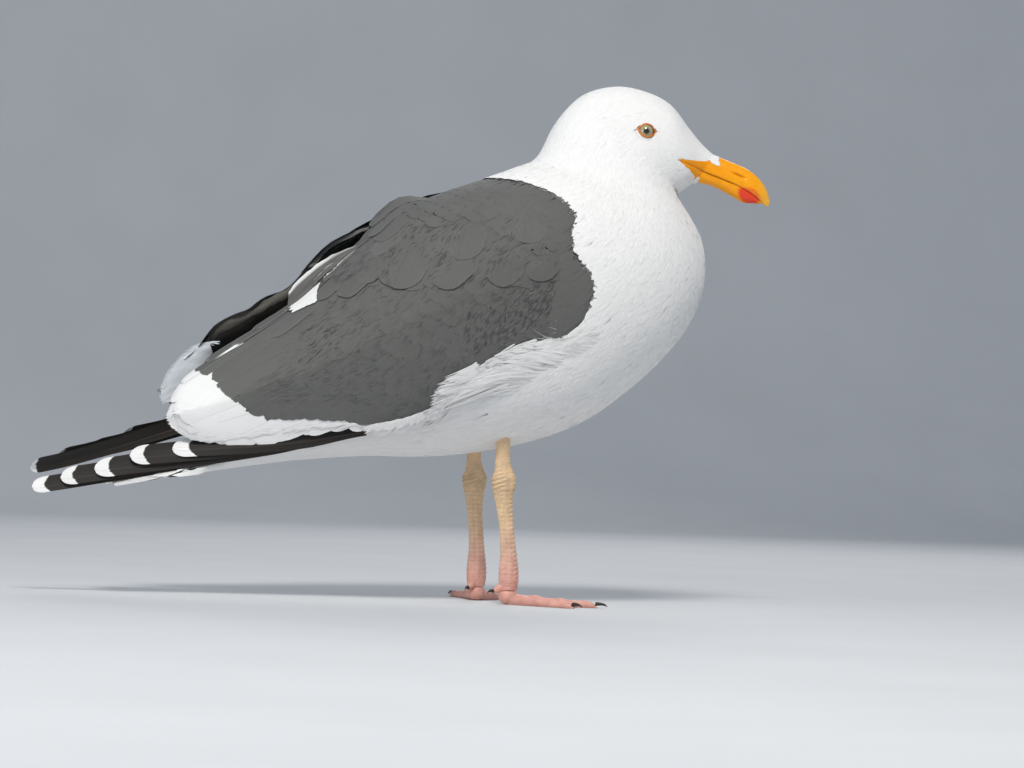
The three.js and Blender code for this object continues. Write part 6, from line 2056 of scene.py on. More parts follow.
        # the white end of one tertial shows between the grey ones
        patch([(0.530, 0.0), (0.545, 0.0), (0.573, 0.0), (0.600, 0.006)], [(0.534, 0.03), (0.548, 0.085), (0.556, 0.158), (0.578, 0.128), (0.607, 0.098)],
              0.95, lambda A, B: WHITE * np.ones(A.shape + (1,)), 60, 41)
        # slim inner webs curve up beside it, the uppermost with a bright edge
        one = np.array([[-112.5, -11, 245.4], [-124.1, -12, 240.8], [-133.2, -12, 236.8], [-140.0, -12, 232.4], [-144.5, -12, 229.2],
                        [-151.3, -12, 223.2], [-158.0, -12, 217.0], [-163.0, -12, 209.5]])
        low = np.array([[-113.0, -13, 243.6], [-122.0, -14, 236.5], [-129.0, -15, 229.0], [-136.0, -15, 222.0], [-142.0, -15, 216.0],
                        [-149.0, -15, 209.0], [-157.0, -15, 201.5], [-164.0, -13, 197.0]])

        def web(A, B):
            rim = smooth(-0.62, -0.80, B) * smooth(0.0, 0.10, A) * (1 - 0.55 * smooth(0.45, 0.2, A))
            streak = 1 + 0.16 * np.sin(A * 9 + B * 16) + 0.10 * np.sin(B * 31 + A * 5)
            g = GREY * 0.95 * streak[..., None]
            return lerp(g, WHITE * 0.95, rim[..., None])
        sheet(c, one, low, (0.15, -0.9, 0.35), web, cell(61, 1), 51)
        two = np.array([[-117.0, -15, 241.5], [-126.1, -15.5, 234.0], [-134.0, -16, 225.6], [-139.8, -16, 220.6]])
        tlow = np.array([[-119.0, -17, 237.0], [-127.5, -18, 229.5], [-135.0, -18, 221.8], [-141.0, -18, 216.5]])
        sheet(c, two, tlow, (0.15, -0.85, 0.5), web, cell(62, 1), 52)
        three = np.array([[-126.0, -13.0, 236.0], [-137.0, -13.5, 229.0], [-146.0, -13.5, 219.5]])
        thl = np.array([[-128.0, -15.5, 231.0], [-138.0, -16, 223.5], [-147.0, -16, 214.0]])
        sheet(c, three, thl, (0.15, -0.85, 0.5), web, cell(63, 1), 53)
    else:
        # seen across the back: the far wing's inner webs roll over its upper edge
        off = np.array([0.0, -2.6, 0.0])
        band = np.array([[-152.8, 4, 219.1], [-161.6, 5, 212.4], [-168.9, 6, 208.6], [-176.1, 7, 203.8], [-184.7, 9, 197.1],
                         [-192.4, 11, 193.7], [-202.3, 13, 189.6], [-210.4, 15, 184.7], [-213.8, 18, 178.9]])
        blow = np.array([[-152.7, 3, 212.1], [-163.9, 4, 204.8], [-172.8, 5, 199.8], [-179.4, 6, 195.0], [-184.7, 8, 192.5],
                         [-191.2, 10, 187.7], [-199.9, 12, 182.8], [-206.4, 14, 179.2], [-211.4, 17, 173.3]])

        # painted light and shade: a warm brown-grey band that goes almost black towards its lower side
        def painted_light_brown(A, B):
            streak = 1 + 0.14 * np.sin(A * 21 + B * 6) + 0.10 * np.sin(B * 23 + A * 7)
            g = np.array([0.088, 0.080, 0.068]) * streak[..., None]
            return lerp(g, np.array([0.030, 0.029, 0.028]), smooth(0.1, 1.0, B)[..., None])
        sheet(c, band + off, blow + off, (-0.3, -0.7, 0.65), painted_light_brown, cell(60, 1), 61)
        rim = np.array([[-106.5, 3, 258.0], [-112.5, 3, 255.9], [-119.2, 4, 252.5], [-127.0, 5, 248.4], [-133.1, 6, 244.7],
                        [-139.1, 7, 238.4], [-143.6, 7, 233.3], [-146.9, 7, 227.4]])
        rlow = np.array([[-106.0, 2, 256.0], [-111.5, 2, 253.9], [-117.8, 3, 250.3], [-125.8, 4, 246.0], [-131.6, 5, 242.4],
                         [-136.8, 6, 237.0], [-140.5, 6, 232.2], [-142.6, 6, 228.6]])
        sheet(c, rim + off, rlow + off, (-0.3, -0.6, 0.75), lambda A, B: GREY * (1.1 + 0.15 * np.sin(A * 30 + B * 3))[..., None],
              cell(61, 1), 62)
        end = np.array([[-213.2, 15, 173.5], [-223.1, 16, 170.6], [-231.7, 18, 162.7], [-239.5, 20, 153.3], [-243.5, 21, 143.1],
                        [-244.1, 21, 134.7], [-241.9, 21, 130.6]])
        elow = np.array([[-210.6, 14, 166.1], [-215.3, 15, 160.0], [-221.4, 17, 152.3], [-225.9, 19, 145.4], [-231.4, 20, 139.4],
                         [-236.3, 20, 134.2], [-238.7, 20, 130.7]])

        # painted shade: the far wing's white ends drawn bluish grey, darker still towards the root
        def pale(A, B):
            streak = 1 + 0.05 * np.sin(A * 40 + B * 5) + 0.05 * np.sin(B * 27 + A * 6)
            g = np.array([0.62, 0.65, 0.68]) * streak[..., None]
            return lerp(g, np.array([0.30, 0.31, 0.33]), (smooth(0.35, 0.0, A) * smooth(-0.6, 0.6, B))[..., None])
        sheet(c, end + off * 2.0, elow + off * 2.0, (-0.3, -0.85, 0.4), pale, cell(62, 1), 63)
        # its frayed rim, painted bluish grey as white in shade
        k = np.linspace(0, 1, 130)
        ee = np.stack([np.interp(k, np.linspace(0, 1, len(end)), end[:, i]) for i in range(3)], -1) + off * 2.0
        rr = np.random.default_rng(64)
        m = len(ee)
        out = np.stack([-0.90 + 0.35 * k, 0 * k - 0.03, 0.02 - 0.95 * k], -1) + rr.normal(0, 0.07, (m, 3))
        root = ee - unit(out) * rr.uniform(5.0, 9.0, m)[:, None]
        nrm = np.broadcast_to(unit(np.array([-0.3, -0.85, 0.4])), (m, 3))
        bridge(c, root, ee + unit(out) * rr.uniform(0.5, 2.6, m)[:, None], nrm, nrm, rr.uniform(0.5, 1.0, m), 0.5 + 0 * k, 0.5 + 0 * k, 65,
               bow=0.3, base=np.array([0.64, 0.68, 0.72]))
    return c


def mantle():
    """The back between the wings: the same large grey feathers on the body itself."""
    c = Coat()
    surf = BODY
    r = np.random.default_rng(801)
    T, Aa = [], []
    t, k = 8.3, 0
    while t < 16.6:
        Ep, Eq = surf.frame(np.array([t]), np.array([0.0]))
        lp, lq = np.linalg.norm(Ep), np.linalg.norm(Eq)
        L = float(np.interp(t, [8.3, 10, 14], [12, 18, 28]))
        W = float(np.interp(t, [8.3, 10, 14], [10, 14, 19]))
        step = 0.6 * W / lq
        m = int(1.35 / step)
        a = (np.arange(-m, m + 1) + (0.5 if k % 2 else 0)) * step
        T.append(t + r.normal(0, 0.03, len(a)))
        Aa.append(a)
        t += 0.36 * L / lp
        k += 1
    T, Aa = np.concatenate(T), np.concatenate(Aa)
    pos, n = surf.at(T, np.mod(Aa, 2 * np.pi))
    h, s, v, _ = near_wing(pos)
    ok = (body_grey(pos) > 0.5) & ~((h < 1.5) & (s > 0.05) & (v > 0.06) & (v < 0.97))
    T, Aa, pos, n = T[ok], np.mod(Aa[ok], 2 * np.pi), pos[ok], n[ok]
    L = np.interp(T, [8.3, 10, 14], [12, 18, 28])
    W = np.interp(T, [8.3, 10, 14], [10, 14, 19])
    D = lie_of_coat(T, Aa, pos, n)
    V, NN, A, Bm, SP = feathers(surf, T, Aa, D, L, W, -1.6, 0.1, V_ROWS, V_COLS, camber=0.03, ragged=0.03, soft=0.7, seed=803,
                                split=0.5, tilt=0.1)
    V = over_wing(V, A, 0.2, 0.6)
    col = np.broadcast_to(GREY, V.shape) * r.normal(1.0, 0.02, len(T))[:, None, None, None]
    c.add(V, NN, col, np.stack([Bm * 0.5 + 0.5, A], -1), patch_uv(Aa / (2 * np.pi), T / LAST, A, Bm, 0.008),
          r.uniform(0, 1, len(T)), solid=0.16)
    return c


# ------------------------------------------------------------------ primaries
PRIMARIES = [
    ([-112, 46, 117], [-241, 27.5, 99.5], 15, 2.2), ([-112, 44, 118], [-269, 22.5, 93.5], 16, 2.2),
    ([-112, 42, 119], [-292, 18, 84], 16, 2.2), ([-112, 40, 120], [-314, 13.5, 77.5], 15, 2.0),
    ([-112, 38, 121], [-332.5, 9.5, 70.5], 13, 1.8)]


def primaries(side):
    c = Coat()
    cell = flight_cells(9)
    a = np.concatenate([np.linspace(0.0, 0.82, 36), np.linspace(0.82, 1.0, 30)[1:]])
    b = np.linspace(-1, 1, 17)
    for k, (root, tip, wide, thick) in enumerate(PRIMARIES):
        r = np.random.default_rng(900 + k + (20 if side > 0 else 0))
        bow = np.sin(np.pi * a)
        lift = lerp(27, 13, smooth(0.3, 1, a)) if side > 0 else 0 * a
        cx = lerp(root[0], tip[0], a)
        cy = side * (lerp(root[1], tip[1], a) + 2.5 * bow)
        cz = lerp(root[2], tip[2], a) - 1.5 * bow + lift
        Lmm = np.linalg.norm(np.array(tip) - np.array(root))
        d = (1 - a) * Lmm / (wide * 0.72)
        tipw = np.sqrt(np.clip(1 - (1 - np.clip(d, 0, 1)) ** 2.2, 0, 1))
        half = (wide / 2) * lerp(0.55, 1.0, smooth(0, 0.35, a)) * np.maximum(tipw, 0.04)
        lean = 0.62 * smooth(0.2, 1, a)
        up = np.stack([0 * a, -side * np.sin(lean), np.cos(lean)], -1)
        out = np.stack([0 * a, side * np.cos(lean), np.sin(lean)], -1)
        C = np.stack([cx, cy, cz], -1)
        # the shaft lies nearer the lower, leading edge; the vane is gently arched
        arch = (1 - b ** 2)
        th = lerp(thick * 0.30, 0.22, a)
        shaft = 0.38 * np.exp(-((b + 0.36) / 0.07) ** 2)
        wav = 0.10 * np.sin(a[:, None] * 40 + b[None, :] * 3 + k)
        P = C[:, None, :] + up[:, None, :] * (half[:, None] * b[None, :])[..., None] \
            + out[:, None, :] * (th[:, None] + 0.55 * arch[None, :] * (half / (wide / 2))[:, None]
                                 + (shaft[None, :] * (1 - a)[:, None] ** 0.4) + wav - 0.35)[..., None]
        # oval ends: the outer columns lie back from the point
        rag = r.uniform(-1, 0.3, len(b)) * 0.5
        P[..., 0] += smooth(0.6, 1.0, a)[:, None] * rag[None, :]
        nn = np.broadcast_to(out[:, None, :], P.shape) + up[:, None, :] * (0.45 * b + 0.5 * np.sign(b + 0.36)
                                                                            * np.exp(-((b + 0.36) / 0.1) ** 2))[None, :, None]
        nn = unit(nn)
        A = np.broadcast_to(a[:, None], (len(a), len(b)))
        B = np.broadcast_to(b[None, :], (len(a), len(b)))
        # dark web with a rounded white end
        dist = (1 - A) * Lmm
        size = [14.6, 12.0, 12.2, 11.0, 11.2][k] if side < 0 else [8.0, 7.0, 6.0, 5.0, 5.5][k]
        lobe = size * (0.74 + 0.34 * B ** 2) - dist + 0.5 * noise3(P, 0.5, 30 + k)
        black = DARK * np.ones(A.shape + (1,))
        # painted sheen: the web turns brown along its lower side, and along its upper side towards the tip
        painted_light_brown = np.array([0.036, 0.030, 0.025])
        col = lerp(black, painted_light_brown, (0.55 * smooth(-0.3, -1.0, B) + 0.25 * smooth(0.2, 1.0, B) * A)[..., None])
        quill = np.exp(-((B + 0.36) / 0.05) ** 2)
        col = lerp(col, np.array([0.075, 0.060, 0.048]), (0.7 * quill)[..., None])
        uv = np.stack([B * 0.5 + 0.5, A], -1)[None]
        c.add(P[None], nn[None], col[None], uv, cell(k, 1)(A[None], B[None]), np.array([r.uniform()]), solid=0.55,
              mark=np.clip(lobe, -20, 20)[None])
    return c


# ------------------------------------------------------------------ tail
def tail():
    c = Coat()
    cell = flight_cells(25)
    r = np.random.default_rng(951)
    n = 12
    k = np.arange(n)
    u = (k - (n - 1) / 2) / ((n - 1) / 2)
    # above: outer feathers lie deepest
    for top in (True, False):
        a0 = u * (0.95 if top else -0.95)
        root_a = np.mod((0.0 if top else np.pi) + a0 * 0.9, 2 * np.pi)
        t0 = np.full(n, 20.6)
        pos, nn = BODY.at(t0, root_a)
        Ep, Eq = BODY.frame(t0, root_a)
        D = unit(Ep)
        tip_x = -279.5 + 2.5 * u ** 2
        L = np.abs(pos[:, 0] - tip_x) * 1.02
        lvl = (1 - np.abs(u)) * 0.5 - 0.55 if top else -np.abs(u) * 0.0 - 0.25 - (1 - np.abs(u)) * 0.35
        V, NN, A, Bm, SP = feathers(BODY, t0, root_a, D, L, 15.5, lvl - 0.25, lvl, LONG_ROWS, LONG_COLS, wide=long_vane,
                                    camber=0.0, ragged=0.008, soft=0.6, seed=953 + top, split=0.6)
        col = np.broadcast_to(WHITE, V.shape) * r.normal(0.985, 0.012, n)[:, None, None, None]
        c.add(V, NN, col, np.stack([Bm * 0.5 + 0.5, A], -1), cell(0 if top else n, n)(A, Bm), r.uniform(0, 1, n), solid=0.28)
    return c


# ------------------------------------------------------------------ flank plumes
def skirt(side):
    """The wing's outer face carried on below its lower edge, in towards the flank."""
    w = WINGS[side]
    n1 = w.nq
    P1, E1 = w.P[:, -1], w.Eq[:, -1]
    m = int(0.3 * n1)
    k = (np.arange(1, m + 1) / n1)[None, :, None]
    ext = P1[:, None] + E1[:, None] * k
    ext[..., 1] -= side * (34.0 * k[..., 0] + 90.0 * k[..., 0] ** 2)
    pts = np.concatenate([w.P, ext], 1)
    f = Surf(lambda p, q: pts, 1.0, (n1 + m) / n1, w.np, n1 + m)
    if (f.N[:, :n1 + 1] * w.N).sum() < 0:
        f.N = -f.N
    return f


SKIRT = {side: skirt(side) for side in (-1, 1)}
PLUME_TOP = ([-0.2, 0.0, 0.018, 0.041, 0.068, 0.100, 0.145, 0.186, 0.223, 0.245, 0.300, 0.318],
             [0.50, 0.55, 0.790, 0.917, 0.942, 0.950, 0.900, 0.917, 0.942, 0.933, 0.835, 0.858])


def flow(s, v):
    """Which way the flank's loose feathers run, as an angle on the wing's face."""
    return np.interp(s, [-0.06, 0.0, 0.08, 0.16, 0.30], [0.35, 0.10, -0.08, -0.20, -0.24]) + 0.35 * np.clip(v - 0.97, -0.1, 0.1)


def strands(c, surf, s, v, st, vt, W, h0, h1, seed, tone, bend=0.12):
    th, L = heading(surf, s, v, st, vt)
    D = along(surf, s, v, th)
    r = np.random.default_rng(seed)
    n = len(s)
    V, NN, A, Bm = blades(surf, s, v, D, L, W, h0, h1, stops=(0.0, 0.2, 0.4, 0.6, 0.8), wide=(0.5, 0.9, 1.0, 0.85, 0.5),
                          ridge=0.09, bend=r.normal(0, bend, n))
    col = WHITE[None, None, :] * tone[:, None, None] * (0.93 + 0.07 * A)[..., None]
    c.put(V, NN, col, np.stack([Bm * 0.5 + 0.5, A], -1), patch_uv(np.clip(s, 0, 1), np.clip(v, 0, 1) * 0.98, A, Bm),
          r.uniform(0, 1, n), blade_faces(5))


_bp = BODY.P[100:, ::3][::3].reshape(-1, 3)
_bt = KDTree(len(_bp))
for _i, _p in enumerate(_bp):
    _bt.insert(_p, _i)
_bt.balance()
BODY_KD = (_bt, _bp, BODY.N[100:, ::3][::3].reshape(-1, 3))


def bridge(c, root, tip, n0, n1, W, u, v, seed, bow=1.6, base=WHITE):
    """Closed strands from one place to another, bowed outwards a little."""
    r = np.random.default_rng(seed)
    n = len(root)
    stops = (0.0, 0.2, 0.4, 0.6, 0.8)
    wide = (0.5, 0.9, 1.0, 0.85, 0.5)
    V = np.zeros((n, 16, 3))
    NN = np.zeros((n, 16, 3))
    A = np.zeros((n, 16))
    B = np.zeros((n, 16))
    way = tip - root
    for i, a in enumerate(list(stops) + [1.0]):
        nn = unit(n0 * (1 - a) + n1 * a)
        ctr = root + way * a + nn * (bow * math.sin(math.pi * a))
        if i == 5:
            V[:, 15], NN[:, 15], A[:, 15] = ctr, nn, 1.0
            break
        cn = unit(np.cross(nn, way))
        for j, b in enumerate((-1, 0, 1)):
            V[:, 3 * i + j] = ctr + cn * (b * wide[i] * W * 0.5)[:, None] + nn * (0.09 * W * wide[i] * (b == 0))[:, None]
            NN[:, 3 * i + j] = unit(nn + 0.22 * b * cn)
            A[:, 3 * i + j] = a
            B[:, 3 * i + j] = b
    tone = r.normal(1.0, 0.02, n) * np.where(r.uniform(0, 1, n) < 0.10, 0.86, 1.0)
    col = base[None, None, :] * tone[:, None, None] * (0.94 + 0.06 * A)[..., None]
    c.put(V, NN, col, np.stack([B * 0.5 + 0.5, A], -1), patch_uv(u, v, A, B), r.uniform(0, 1, n), blade_faces(5))


def plumes(side):
    """Loose white feathers of the flank that fold up over the wing's lower front edge."""
    c = Coat()
    sd = 700 + (50 if side > 0 else 0)
    r = np.random.default_rng(sd)
    surf = SKIRT[side]
    # a soft bed under the bundles
    n = 1300
    s = np.sort(r.uniform(-0.09, 0.27, n))
    top = np.interp(s, *PLUME_TOP)
    v = top + 0.03 + r.uniform(0, 1, n) * np.interp(s, [-0.07, 0.05, 0.2, 0.27], [0.20, 0.25, 0.27, 0.24])
    L = np.interp(s, [-0.05, 0.05, 0.24], [16, 28, 30]) * r.uniform(0.75, 1.1, n)
    th = flow(s, v) + r.normal(0, 0.04, n)
    for _ in range(6):
        st, vt = walk(surf, s, v, th, L, 3)
        over = (st > 0.325) | (vt < np.interp(st, *PLUME_TOP) + 0.004)
        L = np.where(over, L * 0.8, L)
    ok = L > 6
    s, v, st, vt = s[ok], v[ok], st[ok], vt[ok]
    m = len(s)
    strands(c, surf, s, v, st, vt, r.uniform(1.8, 3.2, m), r.uniform(-1.8, -0.8, m), r.uniform(0.3, 1.2, m), sd + 1,
            r.normal(1.0, 0.02, m))
    # bundles: strands that draw together to a point, as wet-looking locks
    ks = np.array([0.018, 0.034, 0.052, 0.070, 0.090, 0.112, 0.134, 0.156, 0.178, 0.200, 0.222, 0.242, 0.262, 0.283, 0.302, 0.316,
                   0.320, 0.322, 0.324, 0.336, 0.352, 0.300, 0.280, 0.250, 0.220, 0.290, 0.315, 0.262, 0.235, 0.330])
    kv = np.concatenate([np.interp(ks[:16], *PLUME_TOP) + 0.004,
                         [0.885, 0.93, 0.97, 1.00, 1.03, 0.90, 0.88, 0.96, 0.98, 0.96, 1.03, 1.02, 1.05, 1.06]])
    order = np.argsort(-kv)
    for j, k in enumerate(order):
        q = 26
        tv = ks[k] + np.zeros(q)
        Lk = float(np.interp(ks[k], [0.0, 0.1, 0.3], [17, 28, 40])) * r.uniform(0.85, 1.1)
        a0 = float(flow(ks[k], kv[k])) + r.normal(0, 0.03)
        f = r.uniform(0.5, 1.0, q)
        side_off = r.normal(0, 1, q)
        s0, v0 = walk(surf, tv, kv[k] + np.zeros(q), a0, -Lk * f, 4)
        Dm = along(surf, s0, v0, np.full(q, a0 + math.pi / 2))
        s0, v0 = surf.step(s0, v0, Dm * (side_off * 2.6)[:, None])
        s1, v1 = walk(surf, tv, kv[k] + np.zeros(q), a0, -Lk * r.uniform(0, 0.20, q) ** 1.5, 2)
        s1, v1 = surf.step(s1, v1, along(surf, s1, v1, np.full(q, a0 + math.pi / 2)) * (side_off * 0.8)[:, None])
        rise = 0.9 + 0.9 * (j / len(order)) + 0.5 * (1 - side_off ** 2).clip(-1, 1)
        shade = np.where(r.uniform(0, 1, q) < 0.12, 0.84, 1.0)
        strands(c, surf, s0, v0, s1, v1, r.uniform(1.1, 2.3, q), -0.8, rise, sd + 30 + j, r.normal(1.0, 0.02, q) * shade, bend=0.08)
    # flat rounded flank feathers show below the wing's edge
    rs = np.array([0.285, 0.262, 0.300, 0.318, 0.240])
    rv = np.array([1.105, 1.075, 1.055, 1.035, 1.12])
    ts = np.array([0.405, 0.372, 0.425, 0.452, 0.345])
    tv = np.array([1.045, 1.040, 1.018, 1.000, 1.085])
    th, L = heading(surf, rs, rv, ts, tv)
    tract(c, surf, side, rs, rv, th, L, np.array([8.5, 7.5, 7.0, 6.0, 8.5]), -1.8, np.array([-0.6, -0.3, -0.8, -1.0, -0.3]), sd + 5,
          rows=LONG_ROWS, cols=BIG_COLS, tilt=-0.2, base=WHITE, ragged=0.03, split=0.3, solid=0.2, vary=0.01, shade_root=0.0,
          angle=0.02)
    # strands rooted on the flank itself lead up over the wing's lower edge
    n = 900
    s = r.uniform(-0.06, 0.315, n)
    vt = np.interp(s, *PLUME_TOP) + 0.03 + 0.16 * r.uniform(0, 1, n) ** 1.3
    tp, tn = surf.at(s, vt)
    tip = tp + tn * r.uniform(0.2, 0.9, n)[:, None]
    back = np.interp(s, [-0.05, 0.1, 0.3], [0.075, 0.10, 0.12]) * r.uniform(0.75, 1.25, n)
    rp, _ = surf.at(s - back, vt + r.uniform(0.08, 0.24, n))
    root, rn = np.empty((n, 3)), np.empty((n, 3))
    for i in range(n):
        co, idx, _d = BODY_KD[0].find(rp[i])
        root[i] = BODY_KD[1][idx] - BODY_KD[2][idx] * 0.6
        rn[i] = BODY_KD[2][idx]
    bridge(c, root, tip, rn, tn, r.uniform(1.5, 3.0, n), np.clip(s, 0, 1), np.clip(vt, 0, 1) * 0.98, sd + 8)
    # a few long single strands over the grey
    n = 16
    s = r.uniform(0.045, 0.10, n)
    v = r.uniform(0.935, 0.975, n)
    hairs(c, surf, s, v, r.normal(-0.55, 0.40, n), 13.0, 0.40, -0.2, 0.9, sd + 3, np.broadcast_to(WHITE * 0.72, (n, 3)), spread=0.5,
          bend=0.5, vary=0.06)
    return c


def collar(side):
    """White feathers of the neck and breast that run back over the wing's front edge."""
    c = Coat()
    sd = 760 + (20 if side > 0 else 0)
    r = np.random.default_rng(sd)
    surf = WINGS[side]
    n = 1700
    v = r.uniform(0.0, 1.0, n)
    lim = np.interp(v, *WING_FRONT)
    s = lerp(-0.075, lim, r.uniform(0, 1, n))
    th = np.interp(v, [0, 0.25, 0.5, 0.75, 1.0], [0.10, 0.42, 0.62, 0.62, 0.40]) + r.normal(0, 0.07, n)
    L = np.interp(v, [0, 0.5, 1.0], [10.5, 9.5, 12.0]) * r.uniform(0.75, 1.15, n)
    slack = r.normal(0, 0.004, n)
    for _ in range(9):
        st, vt = walk(surf, s, v, th, L, 2)
        L = np.where(st > np.interp(vt, *WING_FRONT) + slack, L * 0.82, L)
    ok = L > 1.6
    s, v, th, L = s[ok], v[ok], th[ok], L[ok]
    m = len(s)
    D = along(surf, s, v, th)
    W = np.interp(v, [0, 1], [1.3, 1.9]) * r.uniform(0.8, 1.2, m)
    tip = 0.35 + 0.5 * r.uniform(0, 1, m) * smooth(0, 6, L)
    V, NN, A, Bm = blades(surf, s, v, D, L, W, -1.1, tip, stops=(0.0, 0.38, 0.80), wide=(0.62, 1.0, 0.80), ridge=0.07,
                          bend=r.normal(0, 0.12, m), side_turn=0.14)
    col = WHITE[None, None, :] * r.normal(1.0, 0.018, m)[:, None, None] * (0.96 + 0.04 * A)[..., None]
    c.put(V, NN, col, np.stack([Bm * 0.5 + 0.5, A], -1), patch_uv(np.clip(s, 0, 1), np.clip(v, 0, 1), A, Bm),
          r.uniform(0, 1, m), blade_faces(3))
    return c


# ------------------------------------------------------------------ webs beside the back
def sheet(c, top, low, normal_hint, colour, cell, seed, mark=None, solid=0.3, arch=0.6):
    """One vane between two edge lines (R, 3) given in the bird frame."""
    top, low = np.asarray(top, float), np.asarray(low, float)
    R = 24
    k = np.linspace(0, 1, R)
    tk = np.linspace(0, 1, len(top))
    t = np.stack([np.interp(k, tk, top[:, i]) for i in range(3)], -1)
    l = np.stack([np.interp(k, tk, low[:, i]) for i in range(3)], -1)
    b = np.linspace(-1, 1, 9)
    P = t[:, None] * (0.5 - b / 2)[None, :, None] + l[:, None] * (0.5 + b / 2)[None, :, None]
    n = unit(np.asarray(normal_hint, float))
    r = np.random.default_rng(seed)
    P = P + n * (arch * (1 - b ** 2)[None, :] + 0.10 * np.sin(k[:, None] * 30 + b[None, :] * 4))[..., None]
    P[:, 0] += n * 0 + np.array([0, 0, 1.0]) * r.normal(0, 0.18, (R, 1))
    P[:, -1] += np.array([0, 0, 1.0]) * r.normal(0, 0.22, (R, 1))
    du, dv = np.gradient(P, axis=0), np.gradient(P, axis=1)
    nb = unit(np.cross(du, dv))
    nb = nb * np.sign((nb * n).sum(-1, keepdims=True))
    A = np.broadcast_to(k[:, None], (R, 9))
    B = np.broadcast_to(b[None, :], (R, 9))
    col = colour(A, B)
    uv = np.stack([B * 0.5 + 0.5, A], -1)
    c.add(P[None], nb[None], col[None], uv[None], cell(A[None], B[None]), np.array([r.uniform()]), solid=solid)
# ------------------------------------------------------------------ floor, light, camera
def stage_and_light():
    me = bpy.data.meshes.new("floor")
    bm = bmesh.new()
    n = 48
    X0, X1, Y0, Y1 = -2.6, 2.6, -2.6, 2.4
    prof = [(Y0 + (Y1 - Y0) * i / n, 0.0) for i in range(n + 1)]
    r = 0.8
    prof += [(Y1 + r * math.sin(k * math.pi / 2 / 14), r * (1 - math.cos(k * math.pi / 2 / 14))) for k in range(1, 15)]
    prof += [(Y1 + r, r + 0.4 * k) for k in range(1, 7)]
    rows = [[bm.verts.new((X0 + (X1 - X0) * i / 24, y, z)) for i in range(25)] for y, z in prof]
    for a, b in zip(rows, rows[1:]):
        for i in range(24):
            bm.faces.new((a[i], a[i + 1], b[i + 1], b[i]))
    bm.to_mesh(me)
    bm.free()
    for p in me.polygons:
        p.use_smooth = True
    ob = bpy.data.objects.new("floor", me)
    bpy.context.scene.collection.objects.link(ob)
    mat, nt, b = nodes_of("floor_paper")
    obj = N(nt, "ShaderNodeTexCoord")
    n1 = N(nt, "ShaderNodeTexNoise", in_Scale=6.0, in_Detail=3.0)
    nt.links.new(obj.outputs["Object"], n1.inputs["Vector"])
    nt.links.new(ramp(nt, n1.outputs[0], [(0.3, (0.60, 0.615, 0.635)), (0.7, (0.63, 0.645, 0.665))]), b.inputs["Base Color"])
    b.inputs["Roughness"].default_value = 0.9
    me.materials.append(mat)

    w = bpy.data.worlds.new("studio")
    w.use_nodes = True
    bg = w.node_tree.nodes["Background"]
    bg.inputs[0].default_value = (0.80, 0.88, 1.0, 1)
    bg.inputs[1].default_value = 0.38
    bpy.context.scene.world = w

    def area(name, loc, aim, size, power, colour, sy=None):
        li = bpy.data.lights.new(name, 'AREA')
        li.energy = power
        li.color = colour
        li.shape = 'RECTANGLE'
        li.size = size
        li.size_y = sy or size
        lo = bpy.data.objects.new(name, li)
        bpy.context.scene.collection.objects.link(lo)
        lo.location = loc
        lo.rotation_euler = (Vector(aim) - Vector(loc)).to_track_quat('-Z', 'Y').to_euler()

    aim = (0.0, 0.0, 0.22)
    area("key", (-0.25, -1.55, 2.05), aim, 0.60, 41, (1.0, 0.965, 0.91))
    area("fill", (-1.9, -1.3, 0.9), aim, 1.3, 12, (0.90, 0.95, 1.0))
    area("rim", (0.9, 1.7, 1.5), aim, 0.9, 12, (1.0, 0.98, 0.95))


def camera():
    cam = bpy.data.cameras.new("camera")
    cam.lens = 3428.57 / 1024 * 36
    cam.sensor_width = 36
    cam.clip_start = 0.05
    cam.clip_end = 30
    ob = bpy.data.objects.new("camera", cam)
    bpy.context.scene.collection.objects.link(ob)
    az = math.radians(-14)
    r = np.array([math.cos(az), math.sin(az), 0])
    d = np.array([-math.sin(az), math.cos(az), 0])
    pos = row(-2400 * d + np.array([0, 0, 103.0]))
    pitch = math.atan(71.4 / 3428.57)
    f = d * math.cos(pitch) + np.array([0, 0, 1.0]) * math.sin(pitch)
    up = np.cross(r, f)
    t = math.radians(2.07)
    X = math.cos(t) * r + math.sin(t) * up
    Y = -math.sin(t) * r + math.cos(t) * up
    M = Matrix(((X[0], Y[0], -f[0], pos[0]), (X[1], Y[1], -f[1], pos[1]), (X[2], Y[2], -f[2], pos[2]), (0, 0, 0, 1)))
    ob.matrix_world = M
    bpy.context.scene.camera = ob


# ------------------------------------------------------------------ putting it together
def finish_piece(ob, mat, slot, *nodes):
    ob.data.materials.append(mat)
    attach(ob, "root")
    if nodes:
        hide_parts(*nodes)


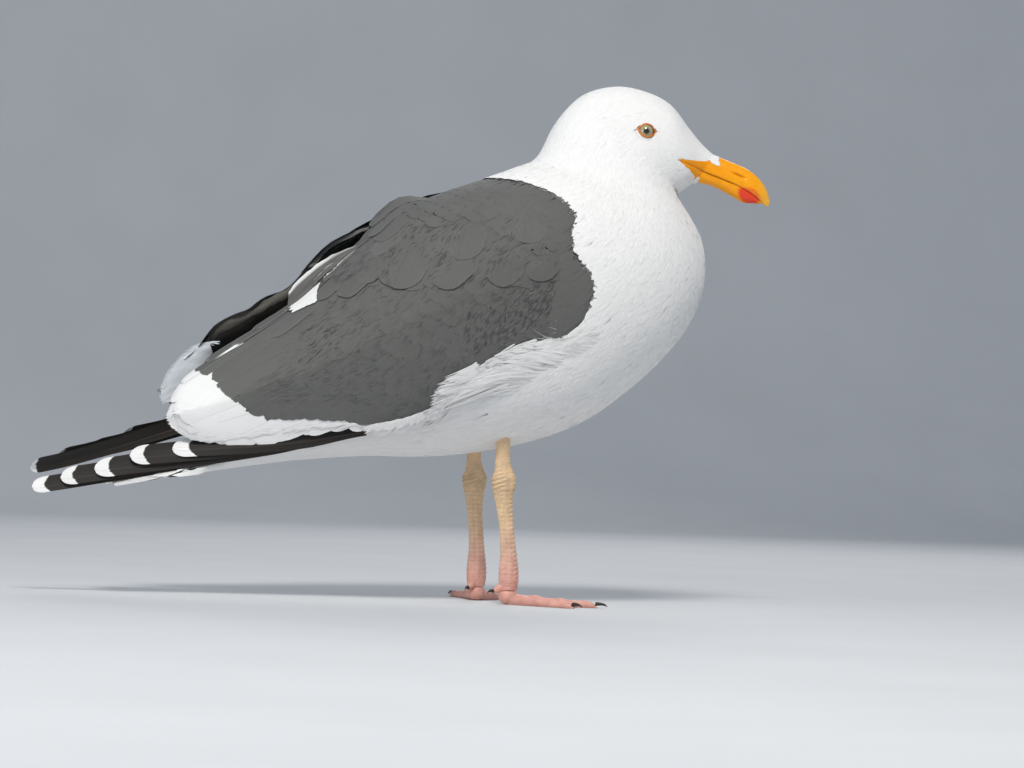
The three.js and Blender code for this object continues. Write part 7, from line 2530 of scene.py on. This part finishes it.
camera()
stage_and_light()
skin, CLAWS = build_skin()
finish_piece(skin, skin_material(), "leg_skin", "head", "neck", "breast", "abdomen", "tail", "wing_right", "wing_left",
             "shin_right", "shin_left", "tarsus_right", "tarsus_left", "foot_right", "foot_left")

BILL_MAT = bill_material()
for name, up in (("bill_upper_horn", True), ("bill_lower_horn", False)):
    v, f, hl = mandible(up)
    ob = new_mesh(name, v, f, attrs={"tint": bill_colour(hl, up)})
    finish_piece(ob, BILL_MAT, "bill_horn", "bill_upper" if up else "bill_lower")

EYE_MAT = eye_material()
for side, tag in ((-1, "right"), (1, "left")):
    v, f, rad, a1, a2 = eye_mesh(side)
    ob = new_mesh("eyeball_" + tag, v, f, attrs={"rad": rad, "dirx": a1, "diry": a2})
    finish_piece(ob, EYE_MAT, "eye", "eye_" + tag)

CLAW_MAT = claw_material()
for side, tag in ((-1, "right"), (1, "left")):
    for key, (v, f) in zip(("inner", "middle", "outer", "hallux"), CLAWS[side]):
        ob = new_mesh("nail_%s_%s" % (tag, key), v, f)
        finish_piece(ob, CLAW_MAT, "claw_horn", "claw_%s_%s" % (tag, key))

body_coat("coat_head", 0.02, 6.2, 9.0, 11, rows=2)
body_coat("coat_neck", 6.2, 10.2, 8.0, 21)
body_coat("coat_breast", 10.2, 15.0, 8.0, 31)
body_coat("coat_belly", 15.0, 22.6, 8.0, 41, slot="white_plumage_rear")
mantle().build("mantle", MAT_WING, "grey_plumage")
for side, tag in ((-1, "right"), (1, "left")):
    wing_coverts(side).build("coverts_" + tag, MAT_WING, "grey_plumage")
    scapulars(side).build("scapulars_" + tag, MAT_WING, "grey_plumage")
    flight_feathers(side).build("secondaries_" + tag, MAT_QUILL, "grey_plumage")
    ob = primaries(side).build("quills_" + tag, MAT_QUILL, "black_plumage")
    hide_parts("primaries_" + tag)
    plumes(side).build("flank_plumes_" + tag, MAT_BODY, "white_plumage_front")
    collar(side).build("collar_" + tag, MAT_BODY, "white_plumage_front")
tail().build("tail_feathers", MAT_QUILL, "white_plumage_rear")
bill_feathers().build("coat_bill_base", MAT_BODY, "white_plumage_front")

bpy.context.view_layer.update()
sc = bpy.context.scene
sc.view_settings.view_transform = 'Standard'
